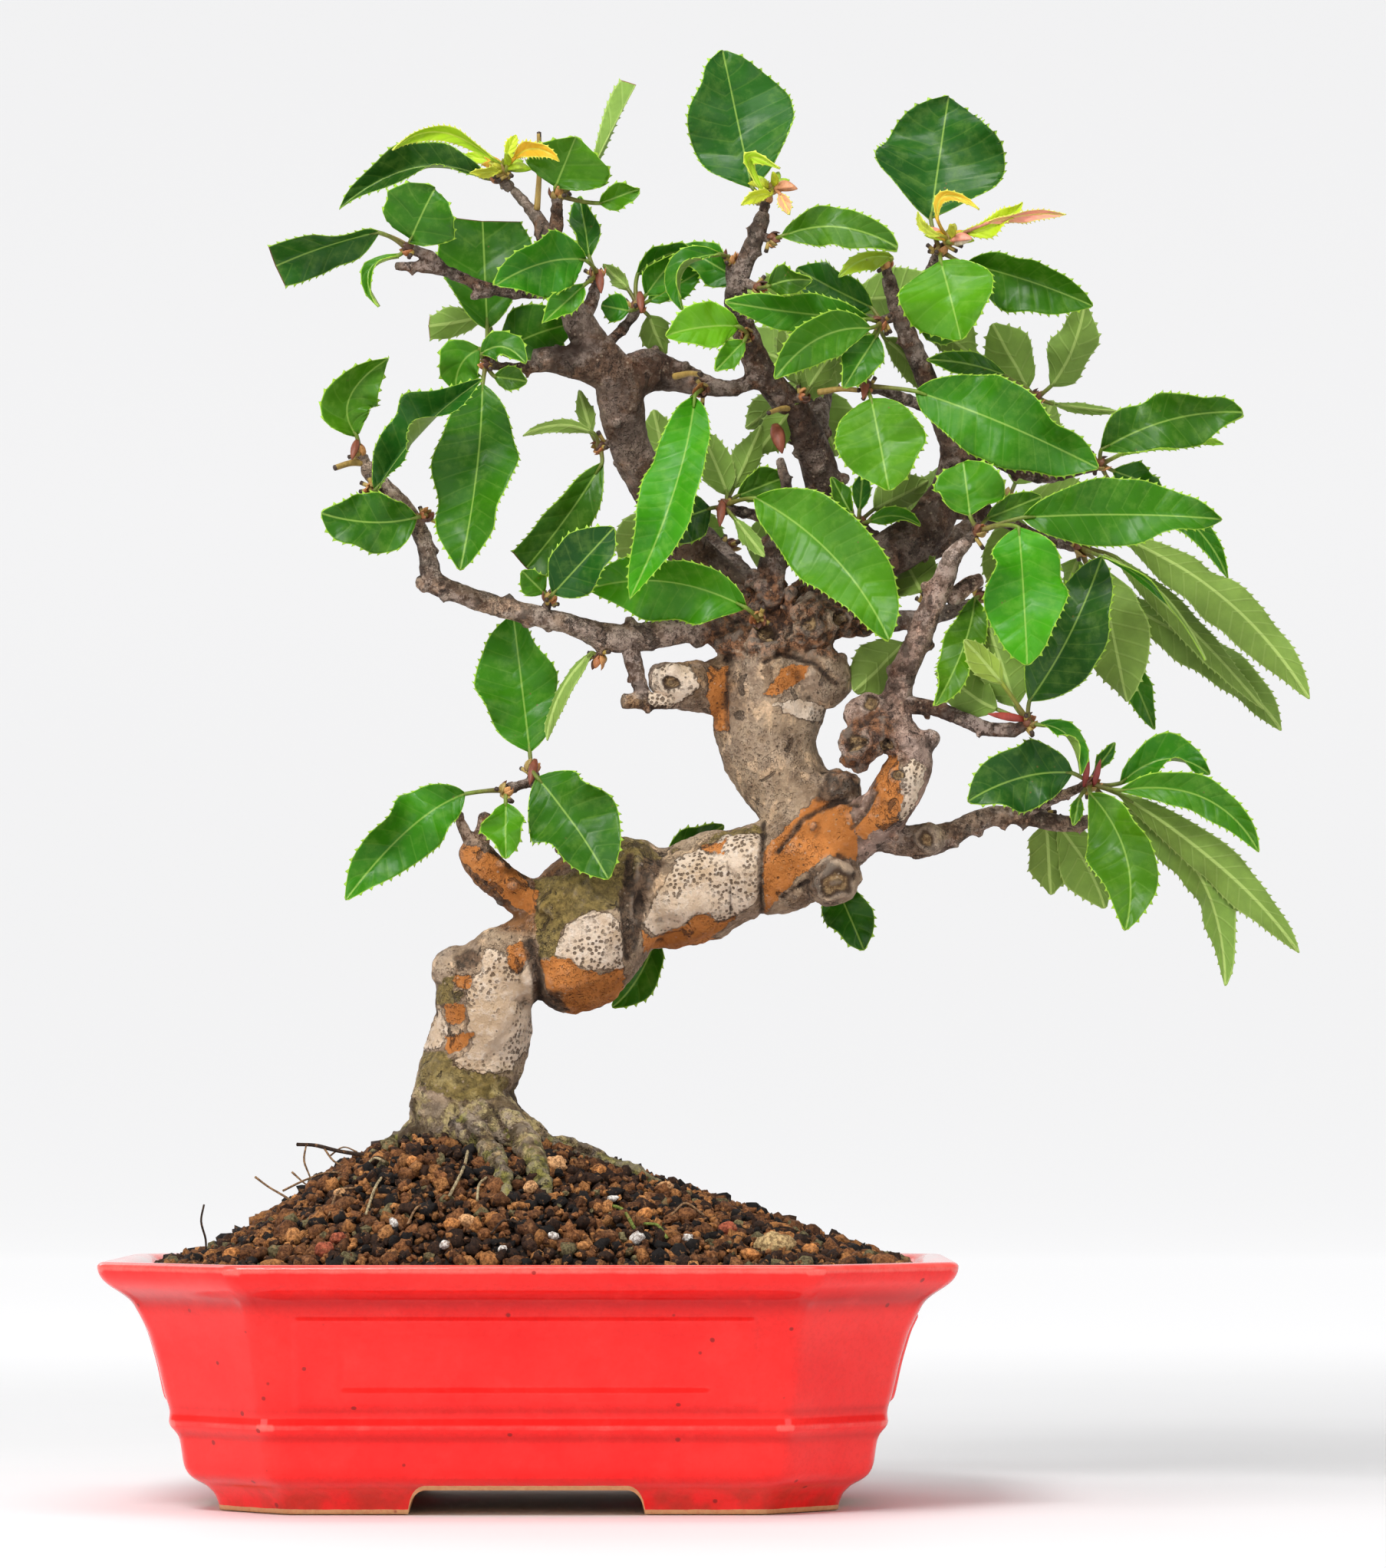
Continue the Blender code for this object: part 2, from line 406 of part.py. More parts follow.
# Sprays of leaves: the bud they grow from, and their leaves.
SPRAYS = {
    "spray_left_tip": ((-38.0, 227.0, -10.5), [
        leaf((-38.6, 230.5, -11), (-31.5, 247.5, -15), 6.2, 20, 14, (-5, 0, 0), 1.2),
    ]),
    "spray_left_bend": ((-35.4, 218.6, -14.5), [
        leaf((-34.6, 218.4, -16.5), (-11.5, 243.0, -24), 7.5, -35, 38, (-1, 1, 0)),
    ]),
    "spray_left_low": ((-23.4, 213.0, -12.5), [
        leaf((-25.5, 212.6, -14), (-46.2, 213.6, -19), 6.8, 0, 10, (0, -1.5, 0), 0.6),
    ]),
    "spray_left_stub": ((-10.4, 246.3, -9.0), [
        leaf((-10.2, 254.0, -3), (-12.0, 293.0, 3), 10.0, 0, 8, cut=0.6),
        leaf((-11.4, 248.4, -11), (-1.8, 246.2, -15), 3.8, -25, 16, (0, 2.5, 0)),
        leaf((-11.8, 249.5, -7), (-17.0, 240.5, -3), 5.2, 0, 10, (-1.5, 1, 0)),
        leaf((-7.6, 248.6, 1), (9.0, 255.0, 7), 6.8, 0, 8, (0, 1, 0)),
        leaf((-8.6, 243.4, -10), (-1.5, 242.4, -11), 2.8, 0, 10),
        leaf((-11.2, 241.5, -12), (-16.0, 201.0, -19), 9.6, 0, 10, (1, 0, 0)),
        leaf((-11.0, 256.4, 4), (-29.0, 253.2, 9), 3.4, 180, 10, cut=0.66),
    ]),
    "spray_upper_left_twig": ((-27.6, 271.4, -14.0), [
        leaf((-34.0, 275.0, -16), (-66.0, 262.6, -20), 6.0, -25, 14, (0, 1.5, 0), cut=0.7),
        leaf((-26.8, 273.6, -16), (-21.6, 284.6, -21), 9.0, -20, 10, (0, 0, -2), 1.6),
        leaf((-29.5, 270.0, -15), (-34.0, 258.6, -18), 1.7, 60, 20, (-4, 2, 0)),
    ]),
    "spray_top_left": ((-7.6, 286.6, -5.2), [
        leaf((-11.0, 287.0, -4), (-42.5, 280.0, -6), 5.4, 30, 30, (0, 5.5, 0), 0.6),
    ]),
    "shoot_top_left": ((-6.2, 289.0, -6.8), [
        leaf((-8.8, 291.0, -9), (-31.0, 293.0, -16), 2.0, -30, 25, (-1, 5, 0)),
        leaf((-4.6, 291.0, -11), (5.4, 290.6, -20), 1.9, 0, 20, (0, 2.2, -2)),
        leaf((-8.0, 290.6, -2), (-16.4, 291.6, 2), 1.7, 20, 15),
        leaf((-6.2, 291.6, -3), (-4.0, 296.4, 0), 1.4, 0, 15),
        leaf((-7.6, 288.4, -8), (-14.0, 288.0, -13), 1.3, 0, 15),
    ]),
    "spray_top_left_front": ((4.8, 283.4, -5.5), [
        leaf((4.6, 285.0, -7), (9.0, 296.0, -10), 9.4, 0, 8, (0, 0, 0), 1.2),
        leaf((12.4, 288.0, -6), (32.0, 324.0, -2), 3.6, 180, 42, (-1, 0, 0), cut=0.54),
        leaf((14.4, 281.4, -4), (23.0, 284.6, -7), 3.8, 0, 28),
    ]),
    "spray_left_spur": ((13.7, 265.5, -2.0), [
        leaf((11.0, 269.0, -10), (-8.2, 263.4, -18), 7.4, -12, 14, (0, 2, 0), 1.5),
        leaf((12.0, 269.6, -1), (10.0, 283.0, 3), 3.4, 0, 16),
        leaf((10.6, 263.2, -9), (2.0, 255.2, -14), 3.2, 0, 20, (0, 0, 0), 1.0),
    ]),
    "spray_centre_left": ((22.6, 258.6, 4.5), [
        leaf((22.6, 266.0, 6), (34.6, 271.0, 3), 3.8, 30, 14, (0, 1.5, 0)),
        leaf((24.4, 261.4, 2), (31.0, 270.2, 0), 4.2, 10, 20),
        leaf((20.4, 262.6, 6), (15.0, 268.0, 9), 1.9, 180, 10),
        leaf((20.6, 257.8, 0.6), (14.6, 259.0, 1), 3.4, 0, 8),
        leaf((25.0, 256.6, 6), (28.4, 248.0, 10), 3.6, 180, 12),
    ]),
    "spray_centre_curl": ((42.7, 269.2, 2.0), [
        leaf((40.4, 270.2, -2), (32.4, 257.8, -8), 4.2, 55, 22, (-4, 2.5, -2)),
    ]),
    "spray_centre_mid": ((46.4, 252.6, -3.2), [
        leaf((44.6, 254.4, -6), (28.8, 252.4, -14), 5.2, 0, 12, (0, 0.8, 0)),
        leaf((45.6, 251.0, -6), (39.4, 244.6, -10), 2.8, 0, 14),
    ]),
    "spray_crossing": ((36.6, 240.4, 0.5), [
        leaf((35.0, 239.2, -3), (21.0, 195.0, -19), 6.7, 0, 12, (2.5, 1, -2), 1.0),
    ]),
    "spray_top": ((50.4, 282.4, 0.0), [
        leaf((47.4, 285.0, 1), (41.0, 315.2, 5), 12.6, 0, 8, (0, 0, 1), 0.8),
    ]),
    "shoot_top": ((51.9, 284.8, -1.8), [
        leaf((50.0, 283.4, -5), (53.6, 289.0, -9), 1.7, 40, 15, (-5, 5, 0)),
        leaf((51.4, 283.2, -5), (45.2, 281.0, -8), 1.6, 0, 15, (0, 1, 0)),
        leaf((53.6, 283.4, -5), (55.6, 279.0, -8), 1.5, 0, 15),
    ]),
    "spray_leader_right": ((52.2, 273.4, -1.5), [
        leaf((54.0, 274.2, -4), (79.2, 271.6, -11), 4.8, -15, 10, (0, 3.2, 0), 1.3),
    ]),
    "spray_leader_right_low": ((48.8, 262.8, -1.6), [
        leaf((51.0, 263.2, -9), (60.4, 264.6, -14), 3.6, 0, 12, (0, 0.6, 0)),
    ]),
    "spray_leader_low": ((58.8, 239.2, 5.0), [
        leaf((60.0, 241.2, 4), (66.4, 251.0, 2), 3.7, 180, 14),
        leaf((57.4, 241.8, 8), (54.4, 256.0, 13), 3.6, 180, 14),
    ]),
    "spray_right_leader_left": ((75.4, 255.2, -1.8), [
        leaf((73.0, 254.0, -8), (52.4, 242.8, -15), 5.2, 0, 12, (-1, 3.2, 0)),
        leaf((72.8, 256.0, -4), (41.6, 259.8, -8), 4.6, 0, 12, (0, -0.5, 0), 0.6),
        leaf((74.6, 252.4, -5), (67.4, 241.0, -10), 4.6, 0, 12),
        leaf((73.6, 258.4, 0), (57.0, 267.0, 8), 6.0, -20, 14),
        leaf((76.4, 251.6, 3), (84.6, 239.6, 10), 3.0, 180, 14, (1, 1, 0)),
    ]),
    "spray_right_leader_tip": ((76.4, 268.0, -0.4), [
        leaf((78.0, 269.4, -2), (66.4, 265.2, -7), 2.4, -10, 15, (0, 2, 0)),
    ]),
    "spray_right_fork": ((88.5, 271.0, -3.6), [
        leaf((86.4, 278.0, 0), (90.4, 305.0, 8), 14.2, 0, 10, (0, 0, 2), 1.5),
        leaf((88.6, 268.6, -7), (93.0, 251.4, -13), 10.8, 0, 8, (0, 0, -1)),
        leaf((94.0, 268.0, -4), (121.6, 258.8, -8), 7.8, 10, 26, (0, 1, 0)),
    ]),
    "shoot_right_fork": ((90.4, 273.4, -4.9), [
        leaf((87.8, 278.0, -8), (97.0, 280.0, -11), 1.3, 0, 12, (-2.5, 4, 0)),
        leaf((93.4, 275.0, -7), (106.4, 281.6, -12), 2.3, 0, 20, (1, -1.5, 0)),
        leaf((98.6, 277.0, -10), (115.8, 278.8, -17), 1.6, 30, 20, (0, 1, 0)),
        leaf((88.4, 274.4, -8), (83.6, 279.6, -10), 1.1, 0, 15, (-1, -1, 0)),
    ]),
    "spray_right_leader_back": ((83.4, 255.8, 3.5), [
        leaf((85.0, 255.0, 4), (93.6, 256.6, 2), 2.2, 0, 12),
        leaf((84.4, 253.6, 6), (91.6, 251.4, 8), 2.6, 0, 12),
    ]),
    "spray_right_mid": ((72.2, 241.2, -3.4), [
        leaf((83.0, 240.2, -9), (122.6, 223.4, -22), 9.2, 0, 10, (0, 1, 0)),
        leaf((73.4, 238.4, -7), (77.2, 218.4, -15), 9.8, 0, 10, (0, 0, -1)),
    ]),
    "spray_right_back": ((109.4, 238.8, 7.0), [
        leaf((107.4, 240.8, 7), (99.8, 255.0, 5), 6.2, 180, 16),
        leaf((112.6, 241.4, 6), (120.0, 260.0, 4), 5.6, 180, 20, (1, -1, 0)),
        leaf((102.4, 243.6, 2), (85.4, 247.0, -3), 2.8, 30, 12, (0, 1, 0)),
        leaf((113.0, 237.4, 8), (127.4, 235.6, 11), 1.4, 160, 20),
    ]),
    "spray_far_right": ((123.4, 224.3, -3.0), [
        leaf((123.4, 227.4, -5), (154.2, 235.6, -13), 6.6, -10, 12, (0, 2.5, 0), 1.6),
        leaf((127.6, 226.4, -1), (150.0, 228.6, 2), 2.4, 20, 14, (0, 2.5, 0)),
        leaf((126.0, 222.8, 0), (136.4, 219.0, 4), 4.0, 0, 12),
        leaf((126.0, 220.0, 2), (150.8, 199.4, 0), 3.2, 0, 16, (3, 3, 0)),
    ]),
    "spray_front_right": ((96.6, 209.5, -20.6), [
        leaf((94.8, 213.0, -21), (93.4, 224.6, -15), 7.8, 0, 10),
        leaf((106.4, 212.6, -24), (149.6, 212.2, -30), 7.6, 0, 10, (0, 0.8, 0), 0.8),
        leaf((105.4, 210.4, -28), (107.2, 180.4, -36), 9.4, 0, 8, (0, 0, -2)),
        leaf((98.6, 212.4, -18), (110.4, 217.2, -14), 3.0, 0, 12),
    ]),
    "spray_hanging": ((118.8, 205.9, -0.6), [
        leaf((128.4, 208.0, -3), (168.4, 173.0, -8), 5.8, 180, 12, (3, 3, 0)),
        leaf((126.4, 204.0, 0), (158.4, 170.8, 4), 3.2, 170, 14, (1.5, -0.5, 0)),
        leaf((123.6, 204.0, -5), (145.6, 181.4, -9), 1.7, 70, 14, (2, 3, 0)),
        leaf((124.6, 195.6, 6), (162.2, 166.2, 8), 5.0, 180, 14, (4, 1, 0)),
        leaf((123.4, 201.4, -3), (128.8, 172.4, -5), 7.6, 180, 10),
        leaf((118.2, 203.6, 4), (115.6, 196.6, 8), 2.8, 180, 10),
        leaf((125.0, 190.0, 10), (134.8, 166.4, 13), 3.5, 0, 12),
    ]),
    "spray_mid_right": ((107.4, 168.0, -20.8), [
        leaf((107.6, 172.6, -21), (123.4, 204.0, -15), 8.2, 0, 10, (1, -1, 0), 0.6),
        leaf((104.6, 171.4, -18), (98.4, 190.4, -9), 5.2, 180, 12),
        leaf((100.6, 170.8, -17), (88.2, 181.4, -9), 4.8, 180, 12, (-1, -1, 0)),
        leaf((110.0, 167.4, -22), (118.6, 156.6, -25), 3.0, -50, 26, (2, 2.5, 0)),
        leaf((101.6, 176.6, -22), (93.4, 186.0, -25), 3.0, 180, 10),
    ]),
    "spray_right_bud": ((97.3, 195.2, -4.5), [
        leaf((95.8, 194.8, -8), (87.0, 171.6, -23), 4.5, 0, 12, (1.5, 0, 0), 0.5),
    ]),
    "spray_inner_right": ((82.4, 185.8, -0.5), [
        leaf((80.4, 185.2, -2), (69.6, 174.6, -5), 6.2, 180, 12),
    ]),
    "spray_inner_right_up": ((85.0, 195.0, 2.0), [
        leaf((84.2, 196.4, 3), (79.4, 205.4, 12), 5.8, 180, 10),
    ]),
    "spray_back_right": ((70.6, 211.4, 3.6), [
        leaf((73.0, 211.8, 2), (84.0, 210.8, -1), 2.4, -20, 14, (0, 1.6, 0)),
        leaf((74.0, 214.4, 6), (85.6, 220.6, 13), 4.6, 180, 12),
        leaf((70.8, 214.4, 3), (71.6, 222.8, 1), 2.2, 0, 12),
        leaf((69.0, 213.6, 4), (64.6, 221.4, 6), 2.5, 0, 12),
    ]),
    "spray_big_centre": ((41.2, 215.0, -3.2), [
        leaf((48.4, 216.8, -8), (77.2, 185.8, -22), 8.9, 0, 12, (2.5, 2.5, 0), 1.0),
        leaf((38.4, 214.6, -2), (26.6, 210.4, -4), 6.4, 0, 10),
        leaf((42.0, 217.8, 0), (36.6, 231.4, 4), 4.2, 180, 14),
        leaf((43.4, 219.0, 3), (49.4, 232.4, 10), 3.2, 180, 12),
        leaf((44.4, 217.4, 2), (55.0, 221.6, 6), 4.0, 0, 12),
        leaf((43.8, 212.2, -7), (50.2, 204.0, -11), 1.9, 180, 14),
    ]),
    "spray_crown_front": ((48.8, 190.6, -7.6), [
        leaf((46.0, 193.0, -10), (11.8, 197.0, -9), 8.6, 0, 10, (0, 3.6, 0)),
    ]),
    "spray_long_left": ((3.4, 195.0, -8.0), [
        leaf((4.2, 196.0, -12), (17.4, 210.4, -17), 6.8, 0, 12),
        leaf((2.2, 196.2, -8), (-2.6, 201.0, -10), 3.2, 0, 12),
    ]),
    "spray_limb_left": ((14.2, 228.0, 3.4), [
        leaf((14.8, 224.4, 1), (-12.0, 190.6, -6), 5.6, 0, 14, (1, -1, 0), cut=0.65),
        leaf((13.0, 231.0, 1), (-2.4, 230.4, -5), 1.6, 180, 14, (0, 2, 0)),
        leaf((12.4, 231.2, 3), (9.8, 240.4, 4), 1.9, 180, 12),
    ]),
    "spray_low_left_top": ((-0.5, 158.0, -3.6), [
        leaf((0.8, 156.0, -9), (16.2, 134.0, -19), 9.4, 0, 10, (0.5, 0.5, 0)),
        leaf((-0.8, 161.6, -2), (-4.4, 191.6, 2), 9.2, 0, 10),
    ]),
    "spray_low_left": ((-6.0, 153.3, -7.4), [
        leaf((-15.0, 152.4, -10), (-40.6, 129.4, -16), 7.2, 0, 14, (0.5, 3.6, 0), 0.6),
        leaf((-6.0, 150.4, -10), (-6.0, 138.4, -14), 4.6, 0, 14),
    ]),
    "spray_trunk_back": ((26.0, 128.0, 16.0), [
        leaf((29.0, 138.6, 18), (41.4, 145.6, 20), 3.6, 0, 12),
        leaf((26.4, 121.4, 17), (17.2, 106.2, 14), 4.2, 0, 12, (1, -1, 0)),
    ]),
    "spray_trunk_knob": ((63.5, 136.0, 13.5), [
        leaf((65.6, 132.8, 13), (71.6, 118.6, 10), 5.6, 0, 12),
    ]),
    "spray_long_left_low": ((14.2, 181.6, -6.2), [
        leaf((12.6, 183.2, -7), (3.0, 164.0, -10), 2.0, 200, 16, (-2, 0.5, 0)),
    ]),
    "spray_lower_right": ((120.8, 154.6, -10.2), [
        leaf((116.8, 157.0, -13), (94.2, 150.8, -20), 7.4, 0, 10, (0, 2, 0)),
        leaf((120.8, 152.4, -14), (128.2, 122.8, -22), 7.2, 0, 12, (4, 1, 0), 0.6),
        leaf((122.0, 157.6, -8), (126.2, 163.6, -8), 1.6, 0, 12),
        leaf((127.4, 154.8, -9), (146.8, 156.8, -10), 4.6, -15, 18, (0, 4, 0)),
        leaf((127.4, 153.2, -13), (157.2, 139.8, -18), 4.4, 0, 16, (3, 5, 0)),
        leaf((127.0, 152.4, -11), (165.8, 118.0, -13), 4.4, 180, 14, (3, 1, 0)),
        leaf((126.4, 150.0, -8), (149.8, 110.8, -9), 5.6, 180, 14, (6, 5, 0)),
        leaf((118.4, 151.6, -11), (117.0, 145.6, -13), 1.6, 0, 12),
    ]),
    "spray_lower_right_back": ((110.6, 148.8, 4.4), [
        leaf((111.2, 145.8, 6), (112.2, 130.6, 9), 5.0, 180, 12),
        leaf((114.0, 145.4, 6), (123.8, 127.6, 5), 5.4, 180, 12, (1, 0, 0)),
    ]),
    "spray_rear_left": ((30.4, 217.6, 48.4), [
        leaf((28.4, 214.4, 49), (20.0, 200.0, 54), 6.2, 180, 10),
        leaf((32.6, 214.6, 50), (40.0, 200.0, 58), 6.0, 180, 12),
        leaf((29.6, 220.6, 49), (26.0, 236.0, 52), 5.4, 180, 12),
    ]),
    "spray_rear_left_mid": ((43.0, 206.6, 36.6), [
        leaf((46.0, 208.0, 39), (62.0, 206.0, 50), 7.2, 180, 12),
        leaf((42.6, 203.6, 40), (38.0, 192.6, 52), 5.6, 180, 12),
    ]),
    "spray_rear_right": ((103.2, 216.6, 44.0), [
        leaf((106.4, 216.0, 45), (134.0, 212.6, 50), 7.2, 180, 12),
        leaf((104.0, 213.0, 46), (105.6, 190.0, 52), 7.4, 180, 12),
        leaf((104.6, 220.0, 45), (113.0, 238.0, 50), 6.4, 180, 12),
    ]),
    "spray_rear_right_mid": ((80.0, 205.6, 34.0), [
        leaf((80.6, 209.4, 35), (89.0, 224.0, 42), 5.8, 180, 12),
        leaf((78.0, 204.0, 37), (64.0, 198.0, 46), 6.0, 180, 12),
    ]),
    "spray_rear_top": ((66.0, 258.6, 35.6), [
        leaf((63.4, 260.0, 36), (46.0, 262.0, 46), 5.4, 180, 12),
        leaf((69.0, 260.2, 37), (92.0, 262.0, 48), 6.6, 180, 12),
        leaf((66.8, 255.8, 38), (73.0, 243.0, 46), 5.2, 180, 12),
    ]),
    "spray_rear_top_mid": ((60.6, 244.4, 31.2), [
        leaf((57.8, 245.6, 33), (42.0, 252.0, 42), 5.6, 180, 12),
        leaf((60.8, 241.0, 34), (66.0, 226.0, 44), 6.6, 180, 12),
    ]),
}
YOUNG = ("shoot_top_left", "shoot_top", "shoot_right_fork")


def in_space(reading):
    """The real place of a front view reading (u, w, y)."""
    u, w, y = reading
    spread = (EYE_DISTANCE + y) / EYE_DISTANCE
    return Vector((EYE_X + (u - EYE_X) * spread, y, EYE_Z + (w - EYE_Z) * spread))


def make_material(name, color, roughness, coat=0.0):
    material = bpy.data.materials.new(name)
    material.use_nodes = True
    shader = material.node_tree.nodes["Principled BSDF"]
    shader.inputs["Base Color"].default_value = (*color, 1.0)
    shader.inputs["Roughness"].default_value = roughness
    shader.inputs["Coat Weight"].default_value = coat
    material.diffuse_color = (*color, 1.0)
    return material


def make_object(name, bm, collection, material=None):
    """An object in metres from a bmesh in millimetres."""
    bmesh.ops.recalc_face_normals(bm, faces=bm.faces)
    bmesh.ops.scale(bm, vec=(MM, MM, MM), verts=bm.verts)
    mesh = bpy.data.meshes.new(name)
    bm.to_mesh(mesh)
    bm.free()
    made = bpy.data.objects.new(name, mesh)
    collection.objects.link(made)
    if material:
        mesh.materials.append(material)
    return made


def make_cutter(name, bm, cutters):
    cutter = make_object(name, bm, cutters)
    cutter.hide_render = True
    cutter.display_type = "WIRE"
    return cutter


def loft(rings):
    """A closed skin through rings of the same number of points, with flat ends."""
    bm = bmesh.new()
    loops = [[bm.verts.new(point) for point in ring] for ring in rings]
    count = len(rings[0])
    for low, high in zip(loops, loops[1:]):
        for i in range(count):
            j = (i + 1) % count
            bm.faces.new((low[i], low[j], high[j], high[i]))
    bm.faces.new(loops[0])
    bm.faces.new(loops[-1])
    return bm


def add_boolean(target, other, operation, solver="EXACT"):
    modifier = target.modifiers.new(operation.title(), "BOOLEAN")
    modifier.operation = operation
    modifier.solver = solver
    if isinstance(other, bpy.types.Collection):
        modifier.operand_type = "COLLECTION"
        modifier.collection = other
    else:
        modifier.object = other
    return modifier


def apply_modifiers(target):
    graph = bpy.context.evaluated_depsgraph_get()
    mesh = bpy.data.meshes.new_from_object(target.evaluated_get(graph))
    target.modifiers.clear()
    target.data = mesh


def fuse(target, pieces):
    """Joins the collection's objects to the target, and removes them."""
    add_boolean(target, pieces, "UNION", "MANIFOLD")
    apply_modifiers(target)
    for piece in list(pieces.objects):
        bpy.data.objects.remove(piece)
    bpy.data.collections.remove(pieces)


def new_collection(name):
    collection = bpy.data.collections.new(name)
    bpy.context.scene.collection.children.link(collection)
    return collection


def interpolate(points, at):
    """The value at a position on a row of (position, value) points."""
    for (a, low), (b, high) in zip(points, points[1:]):
        if at <= b:
            share = max(0.0, (at - a) / (b - a))
            return low + (high - low) * share
    return points[-1][1]


# Pot


def pot_ring(half_length, z):
    """Sixteen points round the cut-corner rectangle, two at each softened corner."""
    half_depth = half_length - LENGTH_OVER_DEPTH
    leg = RIM_CORNER_LEG - CORNER_SHRINK * (RIM_HALF - half_length)
    quarter = [(half_length, half_depth - leg), (half_length - leg, half_depth)]
    corners = quarter + [(-x, y) for x, y in reversed(quarter)]
    corners += [(-x, -y) for x, y in corners]
    ring = []
    for i, corner in enumerate(corners):
        here = Vector(corner)
        for other in (Vector(corners[i - 1]), Vector(corners[(i + 1) % len(corners)])):
            soft = here + (other - here).normalized() * CORNER_SOFTNESS
            ring.append((soft.x, soft.y, z))
    return ring


def wall_half_length(z):
    return interpolate([(height, half) for half, height in POT_PROFILE], z)


def panel_slab(half_width, low, high, inner, outer, on_end):
    """A slab that follows the wall between two heights, from `inner` to `outer` mm beyond it."""
    heights = [low, (low + high) / 2, high]
    back = 0.0 if on_end else LENGTH_OVER_DEPTH
    outline = [(wall_half_length(z) - back + outer, z) for z in heights]
    outline += [(wall_half_length(z) - back + inner, z) for z in reversed(heights)]
    rings = []
    for side in (-half_width, half_width):
        rings.append([(out, side, z) if on_end else (side, out, z) for out, z in outline])
    return loft(rings)


def turned_half_turn(bm):
    bmesh.ops.rotate(bm, cent=(0, 0, 0), matrix=Matrix.Rotation(math.pi, 3, "Z"), verts=bm.verts)
    return bm


def arch_cutter(half_width, along_x):
    """The shape of the gap between two feet, run right through the pot."""
    outline = [
        (-half_width, -2.0),
        (half_width, -2.0),
        (half_width, 0.6),
        (half_width - ARCH_SHOULDER, ARCH_TOP),
        (ARCH_SHOULDER - half_width, ARCH_TOP),
        (-half_width, 0.6),
    ]
    rings = []
    for end in (-POT_REACH, POT_REACH):
        rings.append([(end, across, z) if along_x else (across, end, z) for across, z in outline])
    return loft(rings)


def make_pot(collection, cutters, glaze):
    pot = make_object("pot", loft([pot_ring(half, z) for half, z in POT_PROFILE]), collection, glaze)
    cavity = [pot_ring(half, z) for half, z in CAVITY_PROFILE]
    recess = [pot_ring(POT_PROFILE[0][0] - FOOT_WIDTH, z) for z in (-2.0, RECESS_TOP)]
    cuts = {
        "cut_cavity": loft(cavity),
        "cut_recess": loft(recess),
        "cut_front_arch": arch_cutter(FRONT_ARCH_HALF, False),
        "cut_end_arch": arch_cutter(END_ARCH_HALF, True),
    }
    for side, x in (("left", -DRAIN_X), ("right", DRAIN_X)):
        drain = bmesh.new()
        bmesh.ops.create_cone(
            drain,
            cap_ends=True,
            segments=20,
            radius1=DRAIN_RADIUS,
            radius2=DRAIN_RADIUS,
            depth=FLOOR_Z,
            matrix=Matrix.Translation((x, 0, FLOOR_Z * 0.8)),
        )
        cuts["cut_drain_" + side] = drain
    for name, on_end, half in (("front", False, FRONT_PANEL_HALF), ("end", True, END_PANEL_HALF)):
        inner_half = half - PANEL_BORDER_X
        low = PANEL_LOW + PANEL_BORDER_Z
        high = PANEL_HIGH - PANEL_BORDER_Z
        for turned in (False, True):
            slab = panel_slab(half, PANEL_LOW, PANEL_HIGH, -2.0, PANEL_RISE, on_end)
            sunk = panel_slab(inner_half, low, high, PANEL_RISE - PANEL_SINK, 3.0, on_end)
            if turned:
                turned_half_turn(slab)
                turned_half_turn(sunk)
            panel = make_cutter("add_panel_%s_%d" % (name, turned), slab, cutters)
            add_boolean(pot, panel, "UNION")
            cuts["cut_panel_%s_%d" % (name, turned)] = sunk
    for name, bm in cuts.items():
        add_boolean(pot, make_cutter(name, bm, cutters), "DIFFERENCE")
    return pot


def make_drainage_mesh(name, x, collection, plastic):
    """A square of plastic netting that lies over a drain hole."""
    bm = bmesh.new()
    cells = MESH_HOLES * 2 + 1
    cell = (MESH_SIDE - MESH_BAR) / MESH_HOLES
    edges = [-MESH_SIDE / 2]
    for i in range(MESH_HOLES):
        start = -MESH_SIDE / 2 + MESH_BAR + i * cell
        edges += [start, start + cell - MESH_BAR]
    edges.append(MESH_SIDE / 2)
    low = FLOOR_Z + SEAT_GAP
    verts = [[bm.verts.new((x + ex, ey, low)) for ey in edges] for ex in edges]
    for i in range(cells):
        for j in range(cells):
            if not (i % 2 and j % 2):
                bm.faces.new((verts[i][j], verts[i + 1][j], verts[i + 1][j + 1], verts[i][j + 1]))
    sheet = bmesh.ops.extrude_face_region(bm, geom=bm.faces[:])
    raised = [part for part in sheet["geom"] if isinstance(part, bmesh.types.BMVert)]
    bmesh.ops.translate(bm, vec=(0, 0, MESH_THICKNESS), verts=raised)
    return make_object(name, bm, collection, plastic)


# Soil


def soil_height(x, y):
    """Height of the mound's smooth form."""
    ridge = interpolate(SOIL_RIDGE, x)
    share = min(1.0, abs(y) / SOIL_HALF_DEPTH)
    return SOIL_EDGE_Z + (ridge - SOIL_EDGE_Z) * (1.0 - share**SOIL_FALL)


